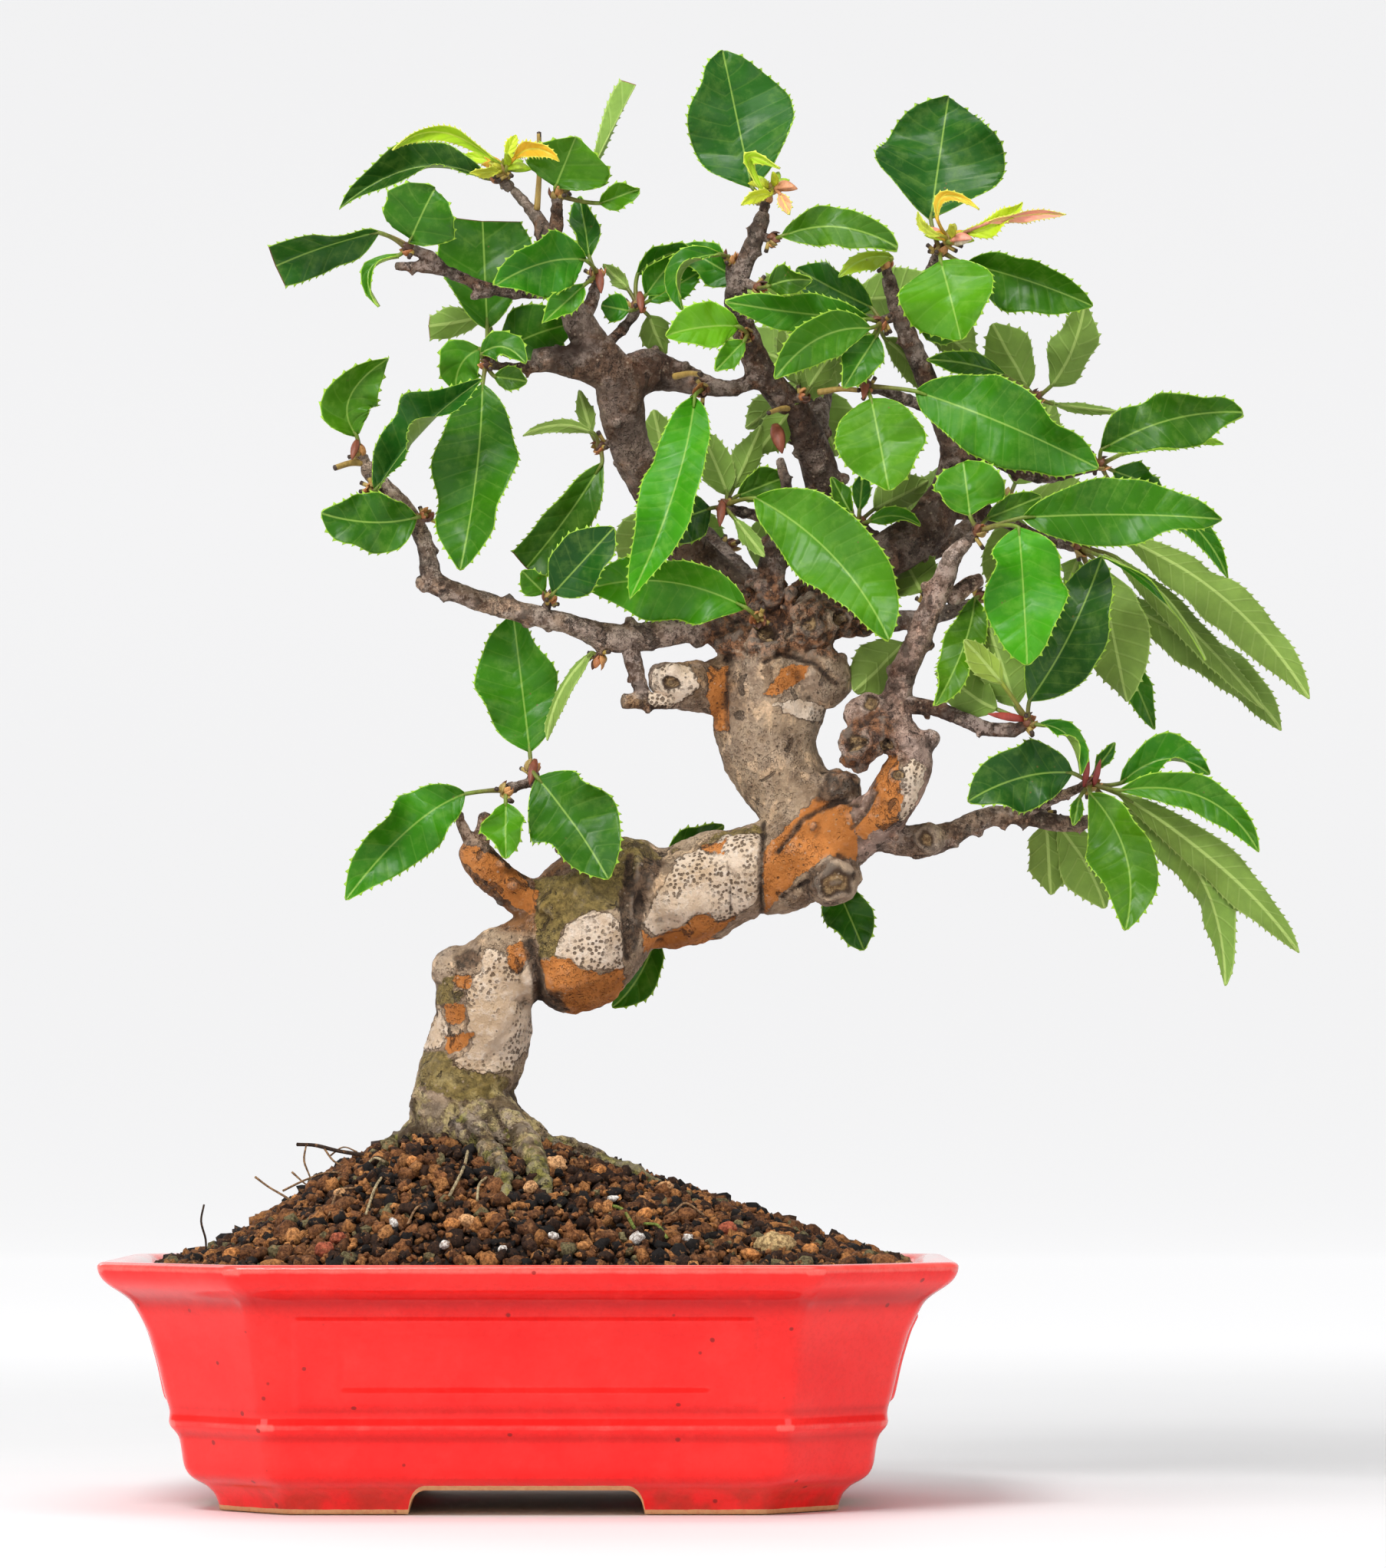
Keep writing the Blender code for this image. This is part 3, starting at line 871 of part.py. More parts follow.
def make_soil(collection, cutters, roots, earth):
    random.seed(11)
    columns = round(2 * POT_PROFILE[-2][0] / SOIL_PITCH)
    rows = round(2 * (POT_PROFILE[-2][0] - LENGTH_OVER_DEPTH) / SOIL_PITCH)
    bm = bmesh.new()
    bottom = FLOOR_Z + SEAT_GAP
    bmesh.ops.create_grid(bm, x_segments=columns, y_segments=rows, size=1.0)
    for vert in bm.verts:
        shift = SOIL_PITCH * 0.28
        vert.co.x = vert.co.x * RIM_HALF + random.uniform(-shift, shift)
        vert.co.y = vert.co.y * (RIM_HALF - LENGTH_OVER_DEPTH) + random.uniform(-shift, shift)
        relief = random.uniform(-GRAIN_RELIEF, GRAIN_RELIEF)
        vert.co.z = soil_height(vert.co.x, vert.co.y) + relief
    bmesh.ops.triangulate(bm, faces=bm.faces)
    top = bm.faces[:]
    skirt = bmesh.ops.extrude_face_region(bm, geom=top)
    lowered = [part for part in skirt["geom"] if isinstance(part, bmesh.types.BMVert)]
    for vert in lowered:
        vert.co.z = bottom - 5.0
    bmesh.ops.delete(bm, geom=[f for f in skirt["geom"] if isinstance(f, bmesh.types.BMFace)], context="FACES_ONLY")
    rim = [edge for edge in bm.edges if len(edge.link_faces) == 1 and edge.verts[0].co.z < bottom]
    bmesh.ops.contextual_create(bm, geom=rim)
    soil = make_object("soil", bm, collection, earth)
    fit = [pot_ring(half - SEAT_GAP, z) for half, z in CAVITY_PROFILE]
    fit[0] = pot_ring(CAVITY_PROFILE[0][0] - SEAT_GAP, bottom)
    fit.append(pot_ring(CAVITY_PROFILE[-1][0] - SEAT_GAP, 100.0))
    add_boolean(soil, make_cutter("fit_soil", loft(fit), cutters), "INTERSECT")
    pocket_side = MESH_SIDE + 2 * SEAT_GAP
    for name, x in (("left", -DRAIN_X), ("right", DRAIN_X)):
        pocket = bmesh.new()
        bmesh.ops.create_cube(pocket, size=1.0)
        top_z = bottom + MESH_THICKNESS + SEAT_GAP
        height = top_z - (bottom - 2.0)
        bmesh.ops.scale(pocket, vec=(pocket_side, pocket_side, height), verts=pocket.verts)
        bmesh.ops.translate(pocket, vec=(x, 0, top_z - height / 2), verts=pocket.verts)
        add_boolean(soil, make_cutter("cut_pocket_" + name, pocket, cutters), "DIFFERENCE")
    add_boolean(soil, roots, "DIFFERENCE")
    return soil


# Wood


def tube_rings(stations, sides, grow=0.0, lump=0.05):
    """Rings of a limb round its centre line, turned as little as possible from ring to ring."""
    centres = [Vector(station[:3]) for station in stations]
    centres[0] = centres[0] + (centres[0] - centres[1]).normalized() * grow
    centres[-1] = centres[-1] + (centres[-1] - centres[-2]).normalized() * grow
    across = None
    rings = []
    for i, centre in enumerate(centres):
        ahead = centres[min(i + 1, len(centres) - 1)] - centres[max(i - 1, 0)]
        ahead.normalize()
        if across is None:
            across = ahead.orthogonal().normalized()
        across = (across - ahead * across.dot(ahead)).normalized()
        other = ahead.cross(across)
        ring = []
        for k in range(sides):
            turn = 2 * math.pi * k / sides
            out = across * math.cos(turn) + other * math.sin(turn)
            uneven = 1.0 + lump * noise.noise((centre + out * stations[i][3]) * 0.13)
            ring.append(centre + out * (stations[i][3] * uneven + grow))
        rings.append(ring)
    return rings


def limb_stations(readings):
    """A limb's stations in space from its front view readings."""
    stations = []
    for u, w, y, radius in readings:
        place = in_space((u, w, y))
        stations.append((place.x, place.y, place.z, radius))
    return stations


def root_stations(plan):
    return [(x, y, soil_height(x, y) + lift, radius) for x, y, radius, lift in plan]


def limb_sides(stations):
    """More sides on thicker wood."""
    widest = max(station[3] for station in stations)
    if widest > 9:
        return 10
    if widest > 4:
        return 6
    return 5 if widest > 2.2 else 4


def spur_stations(spray):
    """A short spur that stops just clear of the spray's bud."""
    hub = in_space(SPRAYS[spray][0])
    near, distance = nearest_wood(hub)
    reach = distance - HUB_RADIUS - SEAT_GAP - 0.15
    toward = (hub - near).normalized()
    end = near + toward * reach
    return [(*near, 1.3), (*end, 0.9)], reach


def nearest_wood(place):
    """The nearest point on any limb's centre line, and how far away it is."""
    best = None
    for stations in [limb_stations(TRUNK)] + [limb_stations(rows) for rows in LIMBS.values()]:
        for a, b in zip(stations, stations[1:]):
            start = Vector(a[:3])
            run = Vector(b[:3]) - start
            share = max(0.0, min(1.0, (place - start).dot(run) / run.length_squared))
            point = start + run * share
            distance = (place - point).length
            if best is None or distance < best[1]:
                best = (point, distance)
    return best


def ball(place, radius, detail=1):
    bm = bmesh.new()
    bmesh.ops.create_icosphere(bm, subdivisions=detail, radius=radius, matrix=Matrix.Translation(place))
    return bm


def root_end(collection, grow):
    """The trunk's foot, its surface roots and the buried end, as loose overlapping shapes."""
    buried = [(TRUNK_X, 0, BURIED_Z, BURIED_RADIUS * 0.5), (TRUNK_X, 0, BURIED_Z + 8, BURIED_RADIUS)]
    buried.append((TRUNK_X, 0, 80.0, BURIED_RADIUS))
    make_object("buried_end", loft(tube_rings(buried, 8, grow)), collection)
    for name, plan in ROOTS.items():
        make_object("root_" + name, loft(tube_rings(root_stations(plan), 6, grow)), collection)


def make_wood(collection, bark):
    trunk = limb_stations(TRUNK)
    wood = make_object("wood", loft(tube_rings(trunk, limb_sides(trunk))), collection, bark)
    pieces = new_collection("limbs")
    root_end(pieces, 0.0)
    for name, readings in LIMBS.items():
        stations = limb_stations(readings)
        make_object("limb_" + name, loft(tube_rings(stations, limb_sides(stations))), pieces)
    for spray in SPRAYS:
        stations, reach = spur_stations(spray)
        if reach > 0.5 and spray not in YOUNG:
            make_object("spur_" + spray, loft(tube_rings(stations, 4)), pieces)
    for i, (u, w, y, radius) in enumerate(KNOTS):
        make_object("knot_%02d" % i, ball(in_space((u, w, y)), radius), pieces)
    fuse(wood, pieces)
    return wood


def make_root_cutter(cutters):
    """The roots and the trunk's foot, thicker by the gap, which leave plain holes in the soil."""
    trunk = limb_stations(TRUNK)[:5]
    sides = limb_sides(trunk)
    cutter = make_cutter("cut_roots", loft(tube_rings(trunk, sides, SEAT_GAP + 0.1)), cutters)
    pieces = new_collection("root_cutters")
    root_end(pieces, SEAT_GAP + 0.1)
    fuse(cutter, pieces)
    return cutter


# Leaves


def blade_steps(length):
    """How many steps a blade has along its length."""
    if length < 18:
        return 3
    return 4 if length < 30 else 5


def blade_share(t):
    """The blade's half width at t along it, as a share of the widest."""
    return math.sin(math.pi * t**0.92) ** 0.72


def blade_frame(row, t):
    """(centre, ahead, side, up) of the blade at t along its length."""
    start = in_space(row["base"])
    end = in_space(row["tip"])
    du, dw, dy = row["bend"]
    pull = (start + end) / 2 + Vector((du, dy, dw)) * 2
    centre = start * (1 - t) ** 2 + pull * (2 * t * (1 - t)) + end * t**2
    ahead = ((pull - start) * (1 - t) + (end - pull) * t).normalized()
    to_eye = (Vector((EYE_X, -EYE_DISTANCE, EYE_Z)) - centre).normalized()
    facing = (to_eye - ahead * to_eye.dot(ahead)).normalized()
    beside = ahead.cross(facing)
    roll = math.radians(row["roll"])
    up = facing * math.cos(roll) + beside * math.sin(roll)
    side = ahead.cross(up)
    return centre, ahead, side, up


def leaf_section(centre, side, up, half_width, fold, thickness, lift=(0.0, 0.0)):
    """Points over and under the blade: left edge, middle, right edge. A small blade is flat."""
    rise = math.sin(fold) * half_width
    spread = math.cos(fold) * half_width
    half = up * (thickness / 2 / math.cos(fold))
    left = centre - side * spread + up * (rise + lift[0])
    right = centre + side * spread + up * (rise + lift[1])
    line = [left, centre, right] if fold else [left, right]
    return [point + half for point in line] + [point - half for point in reversed(line)]


def face_pairs(count):
    """The pairs of upper points that bound a half of the blade, each from the edge to the middle."""
    return ((0, 1), (2, 1)) if count == 6 else ((0, 1),)


def leaf_mesh(hub, row, stalk_half):
    """One closed leaf, from inside the bud to its tip. Both faces are split into triangles alike."""
    start = in_space(row["base"])
    length = (in_space(row["tip"]) - start).length * row["cut"]
    steps = blade_steps(length)
    small = row["half_width"] < SMALL_HALF_WIDTH
    fold = 0.0 if small else math.radians(row["fold"])
    stalk_fold = 0.0 if small else 0.3
    centre, ahead, side, up = blade_frame(row, 0.0)
    out = (start - hub).normalized()
    stalk_side = out.cross(up).normalized()
    stalk_up = stalk_side.cross(out)
    first = hub + out * 0.35
    rings = [leaf_section(first, stalk_side, stalk_up, stalk_half, stalk_fold, stalk_half * 1.8)]
    rings.append(leaf_section(centre, side, up, stalk_half * 1.3, stalk_fold, stalk_half * 1.5))
    sharp = row["cut"] == 1.0
    for step in range(1, steps + 1):
        t = step / steps * row["cut"]
        if step == steps and sharp:
            break
        tooth = step % 2 == 1
        reach = 1.07 if tooth else 0.93
        centre, ahead, side, up = blade_frame(row, t)
        half_width = row["half_width"] * blade_share(t) * reach
        wave = row["wave"]
        lift = (wave * math.sin(9.0 * t), wave * math.sin(9.0 * t + 2.0))
        ring = leaf_section(centre, side, up, half_width, fold, LEAF_THICKNESS, lift)
        if tooth:
            nudge = ahead * (length / steps * 0.3)
            ring = [point + nudge for point in ring]
        rings.append(ring)
    bm = bmesh.new()
    loops = [[bm.verts.new(point) for point in ring] for ring in rings]
    count = len(loops[0])
    half_count = count // 2
    pairs = face_pairs(count)
    for low, high in zip(loops, loops[1:]):
        for a, b in pairs:
            bm.faces.new((low[a], low[b], high[a]))
            bm.faces.new((low[b], high[b], high[a]))
            c, d = count - 1 - a, count - 1 - b
            bm.faces.new((low[c], low[d], high[c]))
            bm.faces.new((low[d], high[d], high[c]))
        for a, b in ((half_count - 1, half_count), (count - 1, 0)):
            bm.faces.new((low[a], low[b], high[b], high[a]))
    bm.faces.new(loops[0])
    if sharp:
        tip = in_space(row["tip"])
        half = up * (LEAF_THICKNESS / 2)
        top, under = bm.verts.new(tip + half), bm.verts.new(tip - half)
        last = loops[-1]
        for a, b in pairs:
            bm.faces.new((last[a], last[b], top))
            bm.faces.new((last[count - 1 - a], last[count - 1 - b], under))
        bm.faces.new((last[half_count - 1], last[half_count], under, top))
        bm.faces.new((last[count - 1], last[0], top, under))
    else:
        bm.faces.new(loops[-1])
    return bm


def bud(place):
    """The bud that a spray grows from."""
    bm = bmesh.new()
    bmesh.ops.create_uvsphere(
        bm,
        u_segments=HUB_SIDES,
        v_segments=3,
        radius=HUB_RADIUS,
        matrix=Matrix.Translation(place),
    )
    return bm


def make_spray(name, collection, material):
    place, rows = SPRAYS[name]
    hub = in_space(place)
    stalk_half = YOUNG_STALK_HALF if name in YOUNG else STALK_HALF
    spray = make_object(name, bud(hub), collection, material)
    pieces = new_collection("leaves_of_" + name)
    for i, row in enumerate(rows):
        make_object("%s_leaf_%d" % (name, i), leaf_mesh(hub, row, stalk_half), pieces)
    fuse(spray, pieces)
    return spray


def set_origin(collection):
    """Puts the origin under the middle of the whole object, at the foot of the pot."""
    graph = bpy.context.evaluated_depsgraph_get()
    places = []
    for made in collection.objects:
        mesh = made.evaluated_get(graph).to_mesh()
        places += [vert.co.copy() for vert in mesh.vertices]
    frame = bpy.data.objects.new("bonsai_frame", None)
    for made in bpy.data.objects:
        if made is not frame:
            made.parent = frame
    collection.objects.link(frame)
    xs = [place.x for place in places]
    ys = [place.y for place in places]
    frame.location = (-(min(xs) + max(xs)) / 2, -(min(ys) + max(ys)) / 2, 0)


def main():
    for old in list(bpy.data.objects):
        bpy.data.objects.remove(old)
    bonsai = new_collection("chinese_quince_bonsai")
    cutters = new_collection("cutters")
    glaze = make_material("red_glaze", (0.78, 0.035, 0.03), 0.12, 0.6)
    earth = make_material("granular_soil", (0.075, 0.045, 0.03), 0.95)
    bark = make_material("bark", (0.34, 0.24, 0.17), 0.85)
    green = make_material("leaf_green", (0.05, 0.2, 0.025), 0.4)
    young = make_material("young_leaf", (0.5, 0.52, 0.04), 0.5)
    plastic = make_material("drainage_plastic", (0.02, 0.02, 0.02), 0.6)
    make_pot(bonsai, cutters, glaze)
    make_drainage_mesh("drainage_mesh_left", -DRAIN_X, bonsai, plastic)
    make_drainage_mesh("drainage_mesh_right", DRAIN_X, bonsai, plastic)
    make_soil(bonsai, cutters, make_root_cutter(cutters), earth)
    make_wood(bonsai, bark)
    for name in SPRAYS:
        make_spray(name, bonsai, young if name in YOUNG else green)
    set_origin(bonsai)


main()
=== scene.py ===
"""Looks for the chinese quince bonsai in its glazed pot.

Lengths are in millimetres from the middle of the pot's foot, and become metres where a mesh is made.
Points of the tree are front view readings (u, w, y), as in the solids, and in_space() gives their place.
"""

import math
import random

import bpy
import numpy as np
from mathutils import Matrix, Vector, kdtree, noise


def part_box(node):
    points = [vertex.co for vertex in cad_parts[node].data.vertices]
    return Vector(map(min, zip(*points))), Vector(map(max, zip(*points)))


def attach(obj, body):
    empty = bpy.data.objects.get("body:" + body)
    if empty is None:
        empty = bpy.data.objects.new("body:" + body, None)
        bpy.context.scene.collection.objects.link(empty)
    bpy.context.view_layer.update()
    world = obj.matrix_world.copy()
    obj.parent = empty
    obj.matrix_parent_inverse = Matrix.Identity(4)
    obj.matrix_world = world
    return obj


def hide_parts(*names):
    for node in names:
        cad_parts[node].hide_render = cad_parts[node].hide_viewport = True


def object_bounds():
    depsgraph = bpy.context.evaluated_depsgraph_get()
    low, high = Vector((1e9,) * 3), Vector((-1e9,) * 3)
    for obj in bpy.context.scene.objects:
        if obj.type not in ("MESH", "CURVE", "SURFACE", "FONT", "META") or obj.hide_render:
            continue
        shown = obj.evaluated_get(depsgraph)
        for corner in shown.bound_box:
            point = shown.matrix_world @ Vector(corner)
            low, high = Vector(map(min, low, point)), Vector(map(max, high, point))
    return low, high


MM = 0.001

# The eye of the front view.
EYE_X = 34.6
EYE_Z = 81.0
EYE_DISTANCE = 1300.0
EYE_PITCH = 3.24
EYE_LENS = 137.9
EYE_SENSOR = 36.0

# Pot: a rectangle with cut corners. Rows of its profile are (half length, height).
LENGTH_OVER_DEPTH = 20.4
RIM_HALF = 90.4
RIM_CORNER_LEG = 30.2
CORNER_SHRINK = 0.586
CORNER_ROUND = 6.0
CORNER_STEPS = 7
# Sides of the plan, as they come round it, and the rounded corners between them.
END_SIDE = 0
LONG_SIDE = 2
CORNER = 4
WALL_PROFILE = [
    (65.2, 0), (65.5, 1.4), (66.3, 3.4), (67.9, 5), (70.6, 6.5), (72.1, 8), (72.7, 9.8), (73.2, 13.4),
    (73.7, 15.8), (74.8, 16.9), (75.7, 17.8), (75.8, 18.8), (75.4, 19.9), (75.6, 21.4), (76.5, 24.2),
    (78, 31), (79.8, 37.1), (81.6, 40.8), (83.4, 43.6), (85.8, 45.6), (88.4, 47.4), (89.9, 49.2),
    (90.4, 51),
]
RIM_PROFILE = [
    (90.3, 51.4), (90, 51.8), (89.5, 52.1), (88.8, 52.2), (87.4, 52.2), (86.2, 52), (85.2, 51.5),
    (84.5, 50.8), (83.8, 50), (82.4, 48), (79, 44), (75.2, 38), (72.6, 30), (70.2, 18), (69.6, 13.5),
    (68, 11.5),
]
FOOT_WIDTH = 8.5
ARCH_TOP = 5.1
# Rows underneath: (distance in from the foot's edge, height).
UNDER_PROFILE = [
    (FOOT_WIDTH + 1, ARCH_TOP), (FOOT_WIDTH, ARCH_TOP - 0.6), (FOOT_WIDTH, 2.6), (FOOT_WIDTH - 0.2, 0.7),
    (FOOT_WIDTH - 0.9, 0), (4, 0), (0.9, 0),
]
ARCH_REACH_UP = 8.0
FRONT_ARCH_HALF = 24.5
END_ARCH_HALF = 15.0
ARCH_SHOULDER = 3.6
FLOOR_Z = 11.5
DRAIN_X = 42.0
DRAIN_RADIUS = 6.5
DRAIN_SIDES = 40
PANEL_RISE = 0.85
PANEL_SINK = 0.5
PANEL_LOW = 22.6
PANEL_HIGH = 41.0
PANEL_BORDER_X = 9.5
PANEL_BORDER_Z = 3.6
PANEL_EDGE = 1.7
FRONT_PANEL_HALF = 47.6
END_PANEL_HALF = 27.0
HOLLOW_Z = 44.6
HOLLOW_HALF = 2.2
HOLLOW_DEPTH = 0.7
LIP_Z = 51.0
# Spacing of the wall's rows: (up to this height, pitch).
WALL_PITCHES = [(21.4, 0.62), (27.6, 0.42), (36, 1.3), (42.4, 0.42), (LIP_Z, 0.62)]
# Where the glaze pools, and where it is thin: (height, width, strength). The pooled bands are also painted
# shade in the hollow under the lip and below the ridge and the panels; the thin lines are also painted
# highlight on the ridge and the lip.
POOLS_AND_SHADE = [(HOLLOW_Z, 2, 1), (16, 0.9, 0.6), (6.6, 1.2, 0.4), (21.6, 0.8, 0.5)]
THIN_AND_GLINT_LINES = [(18.3, 0.7, 0.75), (LIP_Z, 0.9, 0.9)]

# Soil: ridge heights as (x, z).
SOIL_EDGE_Z = 48.6
SOIL_RIDGE = [
    (-84, 49.2), (-71, 52.6), (-59, 59), (-47, 68), (-36, 74.5), (-24, 79), (-6, 79), (10, 75), (28, 68.5),
    (50, 61), (67, 54.5), (84, 49),
]
SOIL_HALF_DEPTH = 64.0
SOIL_FALL = 1.6
MOUND_ROWS = 42
SOIL_FRONT = 66.0
SIGHT_STEP = 0.25
GRAIN_REACH = 160.0
# Layers of grains: (name, pitch, smallest, largest, detail of a grain, height over the mound).
GRAIN_LAYERS = [("soil_grains", 2.75, 0.85, 2.15, 1, 0.35), ("soil_crumbs", 2.1, 0.5, 1.15, 0, 0.9)]
# Colours of the grains, with the share of the soil that has each.
GRAIN_COLORS = [
    ((0.045, 0.02, 0.01), 0.22), ((0.15, 0.06, 0.022), 0.18), ((0.25, 0.1, 0.034), 0.21),
    ((0.4, 0.17, 0.052), 0.14), ((0.52, 0.23, 0.075), 0.06), ((0.18, 0.15, 0.07), 0.05),
    ((0.012, 0.009, 0.008), 0.15), ((0.62, 0.33, 0.15), 0.015), ((0.8, 0.72, 0.62), 0.005),
]
CHIP_COLORS = {
    "orange": (0.72, 0.3, 0.09),
    "pale orange": (0.8, 0.44, 0.2),
    "red": (0.46, 0.12, 0.06),
    "white": (0.88, 0.84, 0.78),
    "straw": (0.66, 0.47, 0.22),
    "dry root": (0.34, 0.2, 0.1),
    "dark root": (0.06, 0.035, 0.022),
    "pale root": (0.52, 0.42, 0.24),
    "green": (0.2, 0.26, 0.05),
}
# Chips that lie on the soil: front view place (u, w), length, width, colour.
CHIPS = [
    (5, 71, 5, 3.5, "pale orange"), (-14, 58.5, 4.2, 2.8, "pale orange"), (-17.5, 58, 3.4, 2.6, "orange"),
    (-26, 71.5, 2.8, 2.4, "orange"), (-65, 51.5, 4, 3, "orange"), (-41.5, 64.5, 3, 2.6, "pale orange"),
    (-0.5, 66, 3.2, 2.6, "pale orange"), (14.5, 69.5, 2.8, 2.2, "orange"),
    (28.5, 66, 3.6, 2.8, "pale orange"), (-45, 52.5, 4, 3.4, "red"), (-42, 55, 3.2, 2.6, "red"),
    (42, 57, 4, 3.2, "red"), (24, 60, 3.4, 2.8, "orange"), (17, 63.5, 3, 1.3, "white"),
    (22.5, 55, 3.2, 2.6, "white"), (4.5, 55.5, 2.4, 1.8, "white"), (-30, 58, 1.6, 2.8, "white"),
    (-19, 53.5, 2.2, 1.8, "white"), (-6.5, 52.5, 2, 1.6, "white"), (33.5, 55, 2.2, 1.8, "white"),
    (52, 53.5, 8, 5.2, "straw"), (47, 51.5, 4, 2.6, "orange"), (60, 52.5, 3.6, 2.6, "orange"),
]
# Fine roots that lie on the soil: radius, colour, front view stations (u, w, height over the soil).
DRY_ROOTS = [
    (0.32, "pale root", [(-36, 60, 1.4), (-34, 65, 2.2), (-32, 69, 1.2)]),
    (0.3, "pale root", [(-36, 71, 1.2), (-34, 71.4, 2.2), (-32, 71.5, 1.2)]),
    (0.34, "pale root", [(-18, 64, 1.3), (-15, 69, 2.4), (-14, 74, 1.2)]),
    (0.3, "pale root", [(-12, 63, 1.3), (-11.6, 65.5, 2.2), (-10, 68, 1.4)]),
    (0.28, "dry root", [(-27, 58, 1.3), (-25, 60.5, 2.4), (-22, 62, 1.3)]),
    (0.26, "dark root", [(-9, 56, 1.3), (-6, 58, 2.2), (-1, 57.5, 1.3)]),
    (0.26, "dry root", [(30, 60, 1.3), (33, 61.4, 2.4), (37, 60, 1.3)]),
    (0.4, "green", [(17, 62, 1.4), (19.6, 60, 2.2), (22, 57, 1.3)]),
    (0.34, "green", [(24, 58, 1.4), (27, 57, 2), (29, 55, 1.3)]),
    (0.26, "dry root", [(-44, 60, 1.2), (-42, 64, 2.4), (-38, 66, 1.2)]),
]
# Fine roots that stand clear of the soil: radius, colour, front view stations (u, w, y).
LOOSE_ROOTS = [
    (0.42, "dark root", [
        (-51, 76.6, -6), (-47, 76.4, -7), (-42, 75.2, -8), (-35, 74, -10), (-31, 73, -10),
    ]),
    (0.24, "dry root", [(-49, 76.4, -7), (-49.4, 73, -8), (-48, 69, -9), (-48.4, 66, -10)]),
    (0.22, "dry root", [(-45, 75.6, -8), (-43, 73, -9), (-40, 71.4, -10), (-38, 69, -10)]),
    (0.26, "dry root", [(-60, 69.6, -9), (-57, 67.4, -10), (-53.6, 65.4, -11), (-50, 63, -11)]),
    (0.24, "dry root", [(-54, 66.6, -11), (-49, 69, -12), (-44, 70.6, -13), (-40, 70, -14)]),
    (0.24, "dry root", [(-52, 70.6, -6), (-49, 68, -8), (-46, 66.6, -9)]),
    (0.26, "dark root", [(-71, 63.6, -13), (-71.6, 60, -14), (-70.6, 56, -14), (-70.6, 52, -14)]),
    (0.22, "dry root", [(-44, 74, -4), (-41, 76, -6), (-38, 75, -8)]),
]

# Wood: each limb is a row of stations (u, w, y, radius).
TRUNK = [
    (-14, 66, 0, 10), (-14.3, 78, 0, 12.2), (-15, 84, 0, 11.4), (-14.8, 90, 0, 10.7), (-12.6, 96, 0, 10.4),
    (-10.6, 103, -1, 10.4), (-9.8, 110, -2, 10.2), (-5, 115, -3, 9.2), (2, 117, -3, 11.5), (9, 119, -3, 14),
    (13.5, 127, -2, 14.2), (19, 132, 0, 11.6), (26, 130, 1, 10.6), (34, 131, 1, 10.8), (43, 134.5, 0, 10.3),
    (52, 136.5, -1, 10.2), (59, 140, -1, 10.6), (60, 147, 0, 9.4), (55.5, 154, 1, 9), (51.8, 161, 2, 10.6),
    (51, 169, 2, 11.9), (51.6, 177, 2, 11.4), (53, 185, 3, 9.6), (54, 191, 4, 6.5),
]
